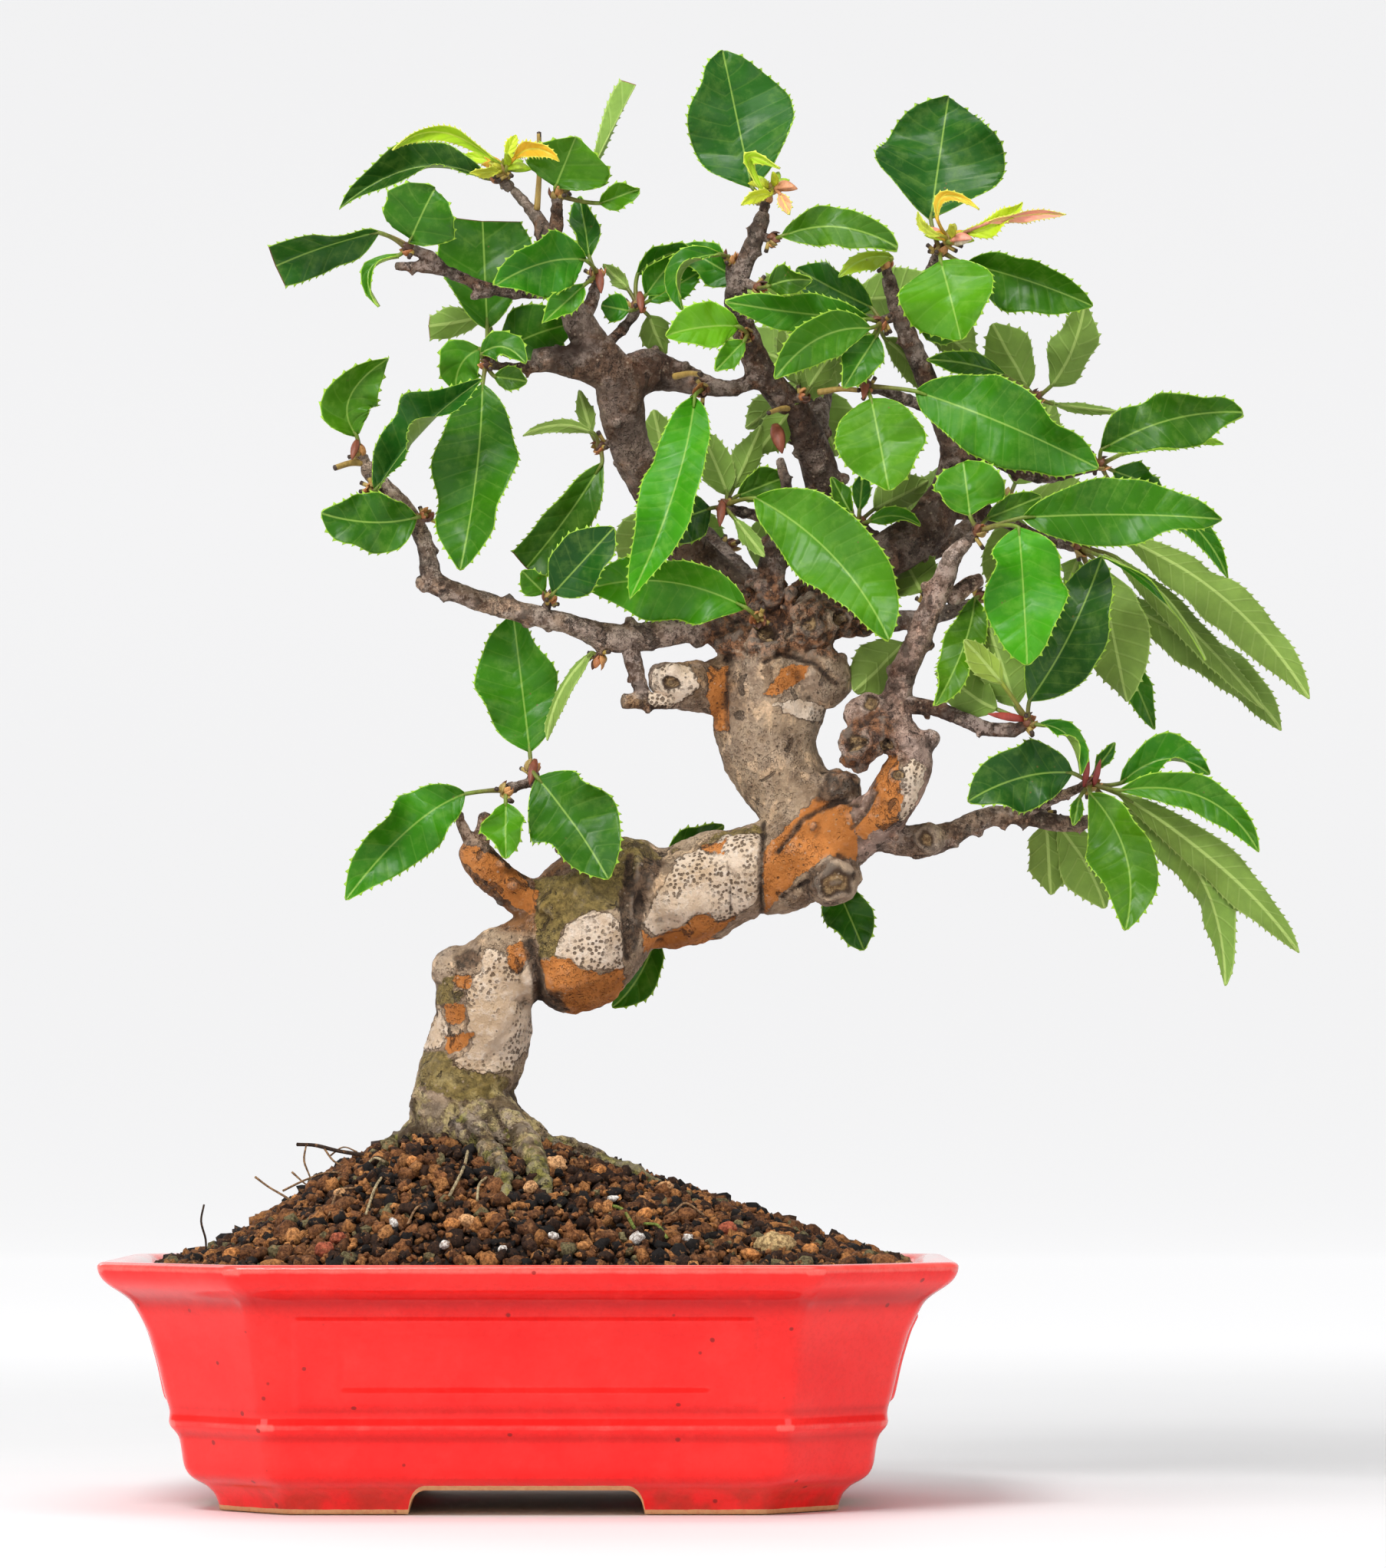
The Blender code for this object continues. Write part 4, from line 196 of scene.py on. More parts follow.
LIMBS = {
    "left_stub": [
        (5, 127, -2, 5.5), (-3, 130.5, -6, 4.4), (-8, 134.5, -8, 4), (-12.5, 139, -9, 3.7),
        (-14.5, 141.5, -9, 2.4),
    ],
    "left_stub_twig": [(-12.5, 140.5, -9, 1.9), (-15, 144.5, -9, 1.3), (-16.6, 149, -10, 1)],
    "left_stub_peg": [(-12, 139, -8, 2.2), (-10.9, 144, -7, 1.9), (-10.4, 148, -6, 1.5)],
    "left_stub_thorn": [(-5, 132, -7, 2.2), (-7.4, 128.8, -8, 1.3)],
    "spur_riser": [(9, 136, 6, 2.6), (6, 146, 5, 2), (2.5, 153, 1, 1.6), (0.2, 155.8, -2, 1.3)],
    "spur_riser_end": [(1.5, 154.6, 0, 1.2), (-2, 154.6, -4, 1.1), (-4, 153.8, -6, 1)],
    "long_left": [
        (52, 187, 2, 5), (44, 188.5, -1, 4.4), (36, 188.6, -3, 3.4), (30, 187.8, -4, 3),
        (23, 186.4, -5, 3.1), (16, 186.6, -6, 3), (8, 189.2, -7, 2.3), (0, 191.4, -8, 2.2),
        (-8, 193.2, -8, 2.3), (-15, 195.6, -9, 2.2), (-21.5, 198.4, -9, 2.5), (-22.8, 203, -9, 2.1),
        (-24.2, 208.5, -9, 2), (-27.5, 213.5, -9, 2.2), (-32, 218.5, -10, 2.1), (-35.3, 222.6, -10, 2),
        (-36.4, 224.4, -10, 1.7),
    ],
    "long_left_peg": [(-22, 198, -9, 2), (-25.3, 198.6, -9, 1.5)],
    "pruned_stub": [
        (47, 176, 2, 7), (39, 175.5, -1, 5.6), (33, 176.2, -4, 5.6), (28, 177.6, -6, 4), (26, 178, -7, 2.6),
    ],
    "pruned_stub_peg": [(34, 172.8, -4, 2), (27, 172.6, -7, 1.8), (19.4, 172.6, -8, 1.8)],
    "cross_twig": [(20.6, 186, -5, 2), (21.6, 181, -6, 1.9), (24, 173.6, -7, 1.7)],
    "upper_left": [
        (53, 187, 4, 6.4), (46, 192.5, 8, 5.6), (38.5, 199.5, 11, 5.2), (30.5, 210, 12, 4.9),
        (24.5, 221, 10, 4.6), (20.5, 229, 7, 4.4), (18.8, 236.5, 4, 4.9), (17.6, 243, 2, 4.8),
        (13.2, 249.5, 0, 4.3), (9.6, 256, -3, 3.4), (6.6, 261.5, -5, 2.6), (4.4, 267, -6, 2.1),
        (3.2, 272.5, -6, 2.5), (1, 277.5, -5, 1.5), (-2, 281.5, -5, 1.2), (-5, 284.7, -5, 1),
    ],
    "upper_left_stub": [(17, 243.5, 1, 3.9), (10, 246, -2, 3.5), (4, 247.2, -4, 3.1), (0.2, 247, -5, 2.6)],
    "upper_left_stub_twig": [(2, 245.8, -5, 1.5), (-4, 245.4, -7, 1.2), (-8.4, 245.8, -8, 1)],
    "upper_left_fork": [(3.6, 272, -6, 1.9), (4.8, 277, -5, 1.6), (5, 281, -5, 1.2)],
    "side_twig": [
        (6.6, 261.8, -5, 1.6), (-2, 261.8, -8, 1.4), (-10, 262.8, -10, 1.4), (-18, 266, -12, 1.3),
        (-24, 267.3, -13, 1.2), (-30.2, 267.7, -14, 1.1),
    ],
    "side_twig_thorn": [(-9, 262.2, -10, 1.2), (-13.8, 260.8, -11, 0.9)],
    "side_twig_spur": [(-19.6, 266.6, -12, 1.3), (-22.6, 269.6, -13, 1.4), (-25, 270.6, -13, 1.2)],
    "left_spur": [(10.4, 255, -3, 1.9), (12.6, 260, -3, 1.5), (13.5, 263.4, -2, 1.2)],
    "centre_left_spur": [(14, 249, 0, 1.5), (18, 252.6, 2, 1.3), (21.4, 256.4, 4, 1.1)],
    "crossing": [
        (18.5, 241, 3, 4.4), (25, 244.4, 7, 4.6), (31, 243.4, 8, 3.9), (37, 241.6, 7, 2.4),
        (43, 240.8, 5, 1.9), (49, 243, 4, 1.6),
    ],
    "leader": [
        (55, 187, 5, 6.2), (61, 195, 10, 5), (65, 204, 14, 4.6), (65.6, 212.5, 16, 4.4),
        (62.6, 221, 15, 4.3), (60, 229, 13, 4), (56, 236.5, 10, 3.4), (51, 242.8, 6, 3.1),
        (47.4, 249, 4, 3), (44.8, 256, 3, 2.7), (44, 262.5, 2, 2.4), (46.2, 269, 1, 2),
        (48.6, 274.5, 0, 1.9), (50, 279.4, 0, 1.7),
    ],
    "leader_peg": [(44, 261, 2, 1.8), (42.9, 265.4, 2, 1.5), (42.8, 267.2, 2, 1.1)],
    "centre_twig": [
        (50.5, 188, 0, 4.6), (51.2, 196, -3, 3.7), (51.8, 203.5, -3, 2.9), (53.4, 211, -2, 1.8),
        (55, 218.5, 0, 1.4), (53.4, 225.5, 1, 1.2),
    ],
    "centre_twig_spur": [(53.4, 212, -2, 1.5), (47.5, 213.2, -3, 1.3), (43, 214.2, -3, 1.2)],
    "centre_peg": [(50, 193, -2, 2), (47.6, 198, -4, 1.8), (48.2, 201, -5, 1.2)],
    "thin_riser": [(56, 189, -2, 1.6), (55.2, 193, -5, 1.3), (56.4, 198, -6, 1)],
    "right_leader": [
        (58, 187, 2, 6), (66, 196, 3, 4.9), (73, 202.2, 3, 4.6), (79, 205.4, 4, 5), (86, 211, 6, 4.8),
        (90.2, 218.5, 8, 4.3), (91.6, 227, 8, 3.4), (88.8, 234.5, 6, 2.8), (85.6, 242.5, 4, 2.5),
        (82.2, 250.5, 2, 2.2), (79.4, 257.5, 0, 2), (77, 265.4, 0, 1.6),
    ],
    "right_leader_fork": [(80.2, 255.5, 1, 1.7), (84, 262, -1, 1.4), (87.2, 268.4, -3, 1.2)],
    "right_side": [
        (91.8, 225.5, 8, 3), (98, 227, 6, 2.6), (104, 224.4, 3, 2.3), (110, 221.8, 1, 1.8),
        (116, 222.4, 0, 1.4), (121.6, 223.6, -2, 1.1),
    ],
    "right_back_twig": [(92, 227.5, 8, 1.7), (100, 232.6, 9, 1.4), (107.4, 237.2, 8, 1.1)],
    "right_mid_twig": [(88, 235.6, 6, 1.5), (81, 238.4, 2, 1.3), (74.4, 240.6, -2, 1)],
    "hanging_twig": [(88.5, 214, 7, 1.9), (99, 213, 7, 1.6), (109, 208.6, 4, 1.4), (116.4, 206.4, 1, 1.2)],
    "back_spur": [(79, 207, 5, 1.8), (74.6, 208.4, 5, 1.2), (72.2, 210, 4, 1)],
    "dark_limb": [
        (64, 189.5, 0, 3.6), (72, 189.6, 0, 2.6), (80, 190.2, 1, 2.3), (88, 191.4, 0, 1.9),
        (95.4, 194, -3, 1.2),
    ],
    "pale_right_base": [
        (60, 139, -2, 8.5), (68, 143.4, -7, 6.6), (75.5, 148, -11, 5.4), (79.8, 154.6, -13, 5.5),
        (81.6, 161.5, -13, 4.6), (78.5, 167, -12, 4.4), (78.6, 172, -11, 3.6), (80, 178, -12, 2.9),
        (83, 185, -13, 2.8), (86, 192, -14, 2.7), (89, 199, -16, 2.5), (91, 204, -18, 2.1),
        (94.6, 207.8, -19, 1.3),
    ],
    "pale_right_peg": [(82, 161, -13, 3.2), (85.6, 164, -13, 2.4), (87.2, 165.6, -13, 1.9)],
    "pale_right_knob": [(78, 168, -12, 4.6), (72.5, 164.5, -14, 4.4), (68.6, 159.6, -15, 3.2)],
    "pale_right_cap": [(76, 170, -12, 3.8), (71.5, 170.5, -13, 3.6), (68.8, 168.6, -15, 2.4)],
    "mid_right_twig": [
        (80, 172, -12, 2.2), (87, 171, -14, 1.7), (93, 168.8, -16, 1.7), (99, 166.4, -18, 1.6),
        (104.6, 166.3, -20, 1.5),
    ],
    "pale_stub": [(90.4, 194.4, -14, 1.8), (94, 197.6, -12, 1.9), (97.2, 199.2, -11, 1.5)],
    "lower_right": [
        (73, 145, -8, 4.5), (79, 142.6, -7, 3.5), (85.2, 142.4, -5, 3.5), (90.6, 143.8, -4, 2.5),
        (96.6, 146.8, -2, 2.3), (103, 148, -1, 2.1), (109.6, 147, 0, 2), (114.6, 145.9, 0, 2),
        (120.6, 146.6, 0, 1.5),
    ],
    "lower_right_spur": [
        (106, 148.2, -1, 1.5), (111.4, 150.8, -4, 1.3), (115.6, 152.6, -7, 1.2), (118.8, 153.8, -9, 1),
    ],
    "back_left_limb": [
        (50, 186, 8, 5), (47, 196, 20, 3.6), (41, 204, 32, 2.8), (35, 211, 41, 2.1), (31, 215.5, 46, 1.3),
    ],
    "back_right_limb": [
        (58, 186, 8, 5), (68, 194, 20, 3.6), (80, 202, 30, 2.9), (92, 209, 37, 2.2), (102, 214, 42, 1.3),
    ],
    "back_top_limb": [(61, 225, 14, 3), (62, 236, 23, 2.6), (64, 247, 30, 2.1), (65.6, 256, 34, 1.3)],
}
# Knots and healed wounds: (u, w, y, radius).
KNOTS = [
    (-17, 114.5, -4, 5), (64.5, 134.5, -8, 6.6), (66, 153, -3, 5.2), (60, 189, -3, 6), (50, 182, -5, 6),
    (67.5, 191, -2, 3.6), (43.5, 186, -2, 5), (62, 178, -2, 7), (85.4, 142.6, -7, 3.6),
    (20.5, 124, -4, 7.5), (80, 155.6, -16, 3.8),
]
# Surface roots: plan stations (x, y, radius, height of the centre over the soil).
ROOTS = {
    "front_left": [
        (-16, -5, 5, 5), (-13, -12, 3.4, 3), (-9, -20, 2.5, 1.6), (-6, -29, 2, 0.8), (-4, -38, 1.3, -0.4),
    ],
    "front_right": [
        (-9, -5, 5.4, 5), (-4, -12, 4, 3), (0, -19, 3, 1.6), (2, -27, 2.2, 0.4), (4, -34, 1.3, -0.6),
    ],
    "right": [(-7, -2, 5, 2.6), (3, -4, 3, 0.6), (12, -5, 2.2, 0.4), (22, -6, 1.6, 0.2), (30, -8, 1, -0.6)],
    "left": [(-21, 0, 5, 2.6), (-28, -2, 2.6, 0.2), (-33, -3, 1.6, -0.6)],
    "back_left": [(-19, 6, 5, 2.6), (-24, 14, 2.9, 0.6), (-30, 23, 2, 0), (-34, 30, 1.2, -0.6)],
    "back": [(-13, 6, 6, 4), (-11, 16, 4.2, 2), (-7, 26, 2.8, 0.6), (-6, 35, 1.6, -0.6)],
    "back_right": [(-8, 5, 5.5, 4), (0, 10, 3, 0.8), (8, 16, 2.1, 0.2), (16, 21, 1.2, -0.6)],
}


def leaf(base, tip, half_width, roll=0, fold=12, bend=(0, 0, 0), wave=0.0, cut=1.0):
    """One leaf: (u, w, y) of its blade's base and tip, and its half width in mm.

    roll turns the blade about its length, 0 with the upper side to the front. fold lifts its two halves.
    bend moves the middle of its length, wave lifts its edge in turns, and cut is where it was cut across.
    """
    shape = {"base": base, "tip": tip, "half_width": half_width, "bend": bend}
    return {**shape, "roll": roll, "fold": fold, "wave": wave, "cut": cut}


# Sprays of leaves: the bud they grow from, and their leaves.
SPRAYS = {
    "spray_left_tip": ((-38, 227, -10.5), [
        leaf((-38.6, 230.5, -11), (-31.5, 247.5, -15), 6.2, 20, 14, (-5, 0, 0), 1.2),
    ]),
    "spray_left_bend": ((-35.4, 218.6, -14.5), [
        leaf((-34.6, 218.4, -16.5), (-11.5, 243, -24), 7.5, -35, 38, (-1, 1, 0)),
    ]),
    "spray_left_low": ((-23.4, 213, -12.5), [
        leaf((-25.5, 212.6, -14), (-46.2, 213.6, -19), 6.8, 0, 10, (0, -1.5, 0), 0.6),
    ]),
    "spray_left_stub": ((-10.4, 246.3, -9), [
        leaf((-10.2, 254, -3), (-12, 293, 3), 10, 0, 8, cut=0.6),
        leaf((-11.4, 248.4, -11), (-1.8, 246.2, -15), 3.8, -25, 16, (0, 2.5, 0)),
        leaf((-11.8, 249.5, -7), (-17, 240.5, -3), 5.2, 0, 10, (-1.5, 1, 0)),
        leaf((-7.6, 248.6, 1), (9, 255, 7), 6.8, 0, 8, (0, 1, 0)),
        leaf((-8.6, 243.4, -10), (-1.5, 242.4, -11), 2.8, 0, 10),
        leaf((-11.2, 241.5, -12), (-16, 201, -19), 9.6, 0, 10, (1, 0, 0)),
        leaf((-11, 256.4, 4), (-29, 253.2, 9), 3.4, 180, 10, cut=0.66),
    ]),
    "spray_upper_left_twig": ((-27.6, 271.4, -14), [
        leaf((-34, 275, -16), (-66, 262.6, -20), 6, -25, 14, (0, 1.5, 0), cut=0.7),
        leaf((-26.8, 273.6, -16), (-21.6, 284.6, -21), 9, -20, 10, (0, 0, -2), 1.6),
        leaf((-29.5, 270, -15), (-34, 258.6, -18), 1.7, 60, 20, (-4, 2, 0)),
    ]),
    "spray_top_left": ((-7.6, 286.6, -5.2), [
        leaf((-11, 287, -4), (-42.5, 280, -6), 5.4, 30, 30, (0, 5.5, 0), 0.6),
    ]),
    "shoot_top_left": ((-6.2, 289, -6.8), [
        leaf((-8.8, 291, -9), (-31, 293, -16), 2, -30, 25, (-1, 5, 0)),
        leaf((-4.6, 291, -11), (5.4, 290.6, -20), 1.9, 0, 20, (0, 2.2, -2)),
        leaf((-8, 290.6, -2), (-16.4, 291.6, 2), 1.7, 20, 15),
        leaf((-6.2, 291.6, -3), (-4, 296.4, 0), 1.4, 0, 15),
        leaf((-7.6, 288.4, -8), (-14, 288, -13), 1.3, 0, 15),
    ]),
    "spray_top_left_front": ((4.8, 283.4, -5.5), [
        leaf((4.6, 285, -7), (9, 296, -10), 9.4, 0, 8, (0, 0, 0), 1.2),
        leaf((12.4, 288, -6), (32, 324, -2), 3.6, 180, 42, (-1, 0, 0), cut=0.54),
        leaf((14.4, 281.4, -4), (23, 284.6, -7), 3.8, 0, 28),
    ]),
    "spray_left_spur": ((13.7, 265.5, -2), [
        leaf((11, 269, -10), (-8.2, 263.4, -18), 7.4, -12, 14, (0, 2, 0), 1.5),
        leaf((12, 269.6, -1), (10, 283, 3), 3.4, 0, 16),
        leaf((10.6, 263.2, -9), (2, 255.2, -14), 3.2, 0, 20, (0, 0, 0), 1),
    ]),
    "spray_centre_left": ((22.6, 258.6, 4.5), [
        leaf((22.6, 266, 6), (34.6, 271, 3), 3.8, 30, 14, (0, 1.5, 0)),
        leaf((24.4, 261.4, 2), (31, 270.2, 0), 4.2, 10, 20),
        leaf((20.4, 262.6, 6), (15, 268, 9), 1.9, 180, 10),
        leaf((20.6, 257.8, 0.6), (14.6, 259, 1), 3.4, 0, 8),
        leaf((25, 256.6, 6), (28.4, 248, 10), 3.6, 180, 12),
    ]),
    "spray_centre_curl": ((42.7, 269.2, 2), [
        leaf((40.4, 270.2, -2), (32.4, 257.8, -8), 4.2, 55, 22, (-4, 2.5, -2)),
    ]),
    "spray_centre_mid": ((46.4, 252.6, -3.2), [
        leaf((44.6, 254.4, -6), (28.8, 252.4, -14), 5.2, 0, 12, (0, 0.8, 0)),
        leaf((45.6, 251, -6), (39.4, 244.6, -10), 2.8, 0, 14),
    ]),
    "spray_crossing": ((36.6, 240.4, 0.5), [
        leaf((35, 239.2, -3), (21, 195, -19), 6.7, 0, 12, (2.5, 1, -2), 1),
    ]),
    "spray_top": ((50.4, 282.4, 0), [leaf((47.4, 285, 1), (41, 315.2, 5), 12.6, 0, 8, (0, 0, 1), 0.8)]),
    "shoot_top": ((51.9, 284.8, -1.8), [
        leaf((50, 283.4, -5), (53.6, 289, -9), 1.7, 40, 15, (-5, 5, 0)),
        leaf((51.4, 283.2, -5), (45.2, 281, -8), 1.6, 0, 15, (0, 1, 0)),
        leaf((53.6, 283.4, -5), (55.6, 279, -8), 1.5, 0, 15),
    ]),
    "spray_leader_right": ((52.2, 273.4, -1.5), [
        leaf((54, 274.2, -4), (79.2, 271.6, -11), 4.8, -15, 10, (0, 3.2, 0), 1.3),
    ]),
    "spray_leader_right_low": ((48.8, 262.8, -1.6), [
        leaf((51, 263.2, -9), (60.4, 264.6, -14), 3.6, 0, 12, (0, 0.6, 0)),
    ]),
    "spray_leader_low": ((58.8, 239.2, 5), [
        leaf((60, 241.2, 4), (66.4, 251, 2), 3.7, 180, 14),
        leaf((57.4, 241.8, 8), (54.4, 256, 13), 3.6, 180, 14),
    ]),
    "spray_right_leader_left": ((75.4, 255.2, -1.8), [
        leaf((73, 254, -8), (52.4, 242.8, -15), 5.2, 0, 12, (-1, 3.2, 0)),
        leaf((72.8, 256, -4), (41.6, 259.8, -8), 4.6, 0, 12, (0, -0.5, 0), 0.6),
        leaf((74.6, 252.4, -5), (67.4, 241, -10), 4.6, 0, 12),
        leaf((73.6, 258.4, 0), (57, 267, 8), 6, -20, 14),
        leaf((76.4, 251.6, 3), (84.6, 239.6, 10), 3, 180, 14, (1, 1, 0)),
    ]),
    "spray_right_leader_tip": ((76.4, 268, -0.4), [
        leaf((78, 269.4, -2), (66.4, 265.2, -7), 2.4, -10, 15, (0, 2, 0)),
    ]),
    "spray_right_fork": ((88.5, 271, -3.6), [
        leaf((86.4, 278, 0), (90.4, 305, 8), 14.2, 0, 10, (0, 0, 2), 1.5),
        leaf((88.6, 268.6, -7), (93, 251.4, -13), 10.8, 0, 8, (0, 0, -1)),
        leaf((94, 268, -4), (121.6, 258.8, -8), 7.8, 10, 26, (0, 1, 0)),
    ]),
    "shoot_right_fork": ((90.4, 273.4, -4.9), [
        leaf((87.8, 278, -8), (97, 280, -11), 1.3, 0, 12, (-2.5, 4, 0)),
        leaf((93.4, 275, -7), (106.4, 281.6, -12), 2.3, 0, 20, (1, -1.5, 0)),
        leaf((98.6, 277, -10), (115.8, 278.8, -17), 1.6, 30, 20, (0, 1, 0)),
        leaf((88.4, 274.4, -8), (83.6, 279.6, -10), 1.1, 0, 15, (-1, -1, 0)),
    ]),
    "spray_right_leader_back": ((83.4, 255.8, 3.5), [
        leaf((85, 255, 4), (93.6, 256.6, 2), 2.2, 0, 12),
        leaf((84.4, 253.6, 6), (91.6, 251.4, 8), 2.6, 0, 12),
    ]),
    "spray_right_mid": ((72.2, 241.2, -3.4), [
        leaf((83, 240.2, -9), (122.6, 223.4, -22), 9.2, 0, 10, (0, 1, 0)),
        leaf((73.4, 238.4, -7), (77.2, 218.4, -15), 9.8, 0, 10, (0, 0, -1)),
    ]),
    "spray_right_back": ((109.4, 238.8, 7), [
        leaf((107.4, 240.8, 7), (99.8, 255, 5), 6.2, 180, 16),
        leaf((112.6, 241.4, 6), (120, 260, 4), 5.6, 180, 20, (1, -1, 0)),
        leaf((102.4, 243.6, 2), (85.4, 247, -3), 2.8, 30, 12, (0, 1, 0)),
        leaf((113, 237.4, 8), (127.4, 235.6, 11), 1.4, 160, 20),
    ]),
    "spray_far_right": ((123.4, 224.3, -3), [
        leaf((123.4, 227.4, -5), (154.2, 235.6, -13), 6.6, -10, 12, (0, 2.5, 0), 1.6),
        leaf((127.6, 226.4, -1), (150, 228.6, 2), 2.4, 20, 14, (0, 2.5, 0)),
        leaf((126, 222.8, 0), (136.4, 219, 4), 4, 0, 12),
        leaf((126, 220, 2), (150.8, 199.4, 0), 3.2, 0, 16, (3, 3, 0)),
    ]),
    "spray_front_right": ((96.6, 209.5, -20.6), [
        leaf((94.8, 213, -21), (93.4, 224.6, -15), 7.8, 0, 10),
        leaf((106.4, 212.6, -24), (149.6, 212.2, -30), 7.6, 0, 10, (0, 0.8, 0), 0.8),
        leaf((105.4, 210.4, -28), (107.2, 180.4, -36), 9.4, 0, 8, (0, 0, -2)),
        leaf((98.6, 212.4, -18), (110.4, 217.2, -14), 3, 0, 12),
    ]),
    "spray_hanging": ((118.8, 205.9, -0.6), [
        leaf((128.4, 208, -3), (168.4, 173, -8), 5.8, 180, 12, (3, 3, 0)),
        leaf((126.4, 204, 0), (158.4, 170.8, 4), 3.2, 170, 14, (1.5, -0.5, 0)),
        leaf((123.6, 204, -5), (145.6, 181.4, -9), 1.7, 70, 14, (2, 3, 0)),
        leaf((124.6, 195.6, 6), (162.2, 166.2, 8), 5, 180, 14, (4, 1, 0)),
        leaf((123.4, 201.4, -3), (128.8, 172.4, -5), 7.6, 180, 10),
        leaf((118.2, 203.6, 4), (115.6, 196.6, 8), 2.8, 180, 10),
        leaf((125, 190, 10), (134.8, 166.4, 13), 3.5, 0, 12),
    ]),
    "spray_mid_right": ((107.4, 168, -20.8), [
        leaf((107.6, 172.6, -21), (123.4, 204, -15), 8.2, 0, 10, (1, -1, 0), 0.6),
        leaf((104.6, 171.4, -18), (98.4, 190.4, -9), 5.2, 180, 12),
        leaf((100.6, 170.8, -17), (88.2, 181.4, -9), 4.8, 180, 12, (-1, -1, 0)),
        leaf((110, 167.4, -22), (118.6, 156.6, -25), 3, -50, 26, (2, 2.5, 0)),
        leaf((101.6, 176.6, -22), (93.4, 186, -25), 3, 180, 10),
    ]),
    "spray_right_bud": ((97.3, 195.2, -4.5), [
        leaf((95.8, 194.8, -8), (87, 171.6, -23), 4.5, 0, 12, (1.5, 0, 0), 0.5),
    ]),
    "spray_inner_right": ((82.4, 185.8, -0.5), [leaf((80.4, 185.2, -2), (69.6, 174.6, -5), 6.2, 180, 12)]),
    "spray_inner_right_up": ((85, 195, 2), [leaf((84.2, 196.4, 3), (79.4, 205.4, 12), 5.8, 180, 10)]),
    "spray_back_right": ((70.6, 211.4, 3.6), [
        leaf((73, 211.8, 2), (84, 210.8, -1), 2.4, -20, 14, (0, 1.6, 0)),
        leaf((74, 214.4, 6), (85.6, 220.6, 13), 4.6, 180, 12),
        leaf((70.8, 214.4, 3), (71.6, 222.8, 1), 2.2, 0, 12),
        leaf((69, 213.6, 4), (64.6, 221.4, 6), 2.5, 0, 12),
    ]),
    "spray_big_centre": ((41.2, 215, -3.2), [
        leaf((48.4, 216.8, -8), (77.2, 185.8, -22), 8.9, 0, 12, (2.5, 2.5, 0), 1),
        leaf((38.4, 214.6, -2), (26.6, 210.4, -4), 6.4, 0, 10),
        leaf((42, 217.8, 0), (36.6, 231.4, 4), 4.2, 180, 14),
        leaf((43.4, 219, 3), (49.4, 232.4, 10), 3.2, 180, 12),
        leaf((44.4, 217.4, 2), (55, 221.6, 6), 4, 0, 12),
        leaf((43.8, 212.2, -7), (50.2, 204, -11), 1.9, 180, 14),
    ]),
    "spray_crown_front": ((48.8, 190.6, -7.6), [
        leaf((46, 193, -10), (11.8, 197, -9), 8.6, 0, 10, (0, 3.6, 0)),
    ]),
    "spray_long_left": ((3.4, 195, -8), [
        leaf((4.2, 196, -12), (17.4, 210.4, -17), 6.8, 0, 12),
        leaf((2.2, 196.2, -8), (-2.6, 201, -10), 3.2, 0, 12),
    ]),
    "spray_limb_left": ((14.2, 228, 3.4), [
        leaf((14.8, 224.4, 1), (-12, 190.6, -6), 5.6, 0, 14, (1, -1, 0), cut=0.65),
        leaf((13, 231, 1), (-2.4, 230.4, -5), 1.6, 180, 14, (0, 2, 0)),
        leaf((12.4, 231.2, 3), (9.8, 240.4, 4), 1.9, 180, 12),
    ]),
    "spray_low_left_top": ((-0.5, 158, -3.6), [
        leaf((0.8, 156, -9), (16.2, 134, -19), 9.4, 0, 10, (0.5, 0.5, 0)),
        leaf((-0.8, 161.6, -2), (-4.4, 191.6, 2), 9.2, 0, 10),
    ]),
    "spray_low_left": ((-6, 153.3, -7.4), [
        leaf((-15, 152.4, -10), (-40.6, 129.4, -16), 7.2, 0, 14, (0.5, 3.6, 0), 0.6),
        leaf((-6, 150.4, -10), (-6, 138.4, -14), 4.6, 0, 14),
    ]),
    "spray_trunk_back": ((26, 128, 16), [
        leaf((29, 138.6, 18), (41.4, 145.6, 20), 3.6, 0, 12),
        leaf((26.4, 121.4, 17), (17.2, 106.2, 14), 4.2, 0, 12, (1, -1, 0)),
    ]),
    "spray_trunk_knob": ((63.5, 136, 13.5), [leaf((65.6, 132.8, 13), (71.6, 118.6, 10), 5.6, 0, 12)]),
    "spray_long_left_low": ((14.2, 181.6, -6.2), [
        leaf((12.6, 183.2, -7), (3, 164, -10), 2, 200, 16, (-2, 0.5, 0)),
    ]),
    "spray_lower_right": ((120.8, 154.6, -10.2), [
        leaf((116.8, 157, -13), (94.2, 150.8, -20), 7.4, 0, 10, (0, 2, 0)),
        leaf((120.8, 152.4, -14), (128.2, 122.8, -22), 7.2, 0, 12, (4, 1, 0), 0.6),
        leaf((122, 157.6, -8), (126.2, 163.6, -8), 1.6, 0, 12),
        leaf((127.4, 154.8, -9), (146.8, 156.8, -10), 4.6, -15, 18, (0, 4, 0)),
        leaf((127.4, 153.2, -13), (157.2, 139.8, -18), 4.4, 0, 16, (3, 5, 0)),
        leaf((127, 152.4, -11), (165.8, 118, -13), 4.4, 180, 14, (3, 1, 0)),
        leaf((126.4, 150, -8), (149.8, 110.8, -9), 5.6, 180, 14, (6, 5, 0)),
        leaf((118.4, 151.6, -11), (117, 145.6, -13), 1.6, 0, 12),
    ]),
    "spray_lower_right_back": ((110.6, 148.8, 4.4), [
        leaf((111.2, 145.8, 6), (112.2, 130.6, 9), 5, 180, 12),
        leaf((114, 145.4, 6), (123.8, 127.6, 5), 5.4, 180, 12, (1, 0, 0)),
    ]),
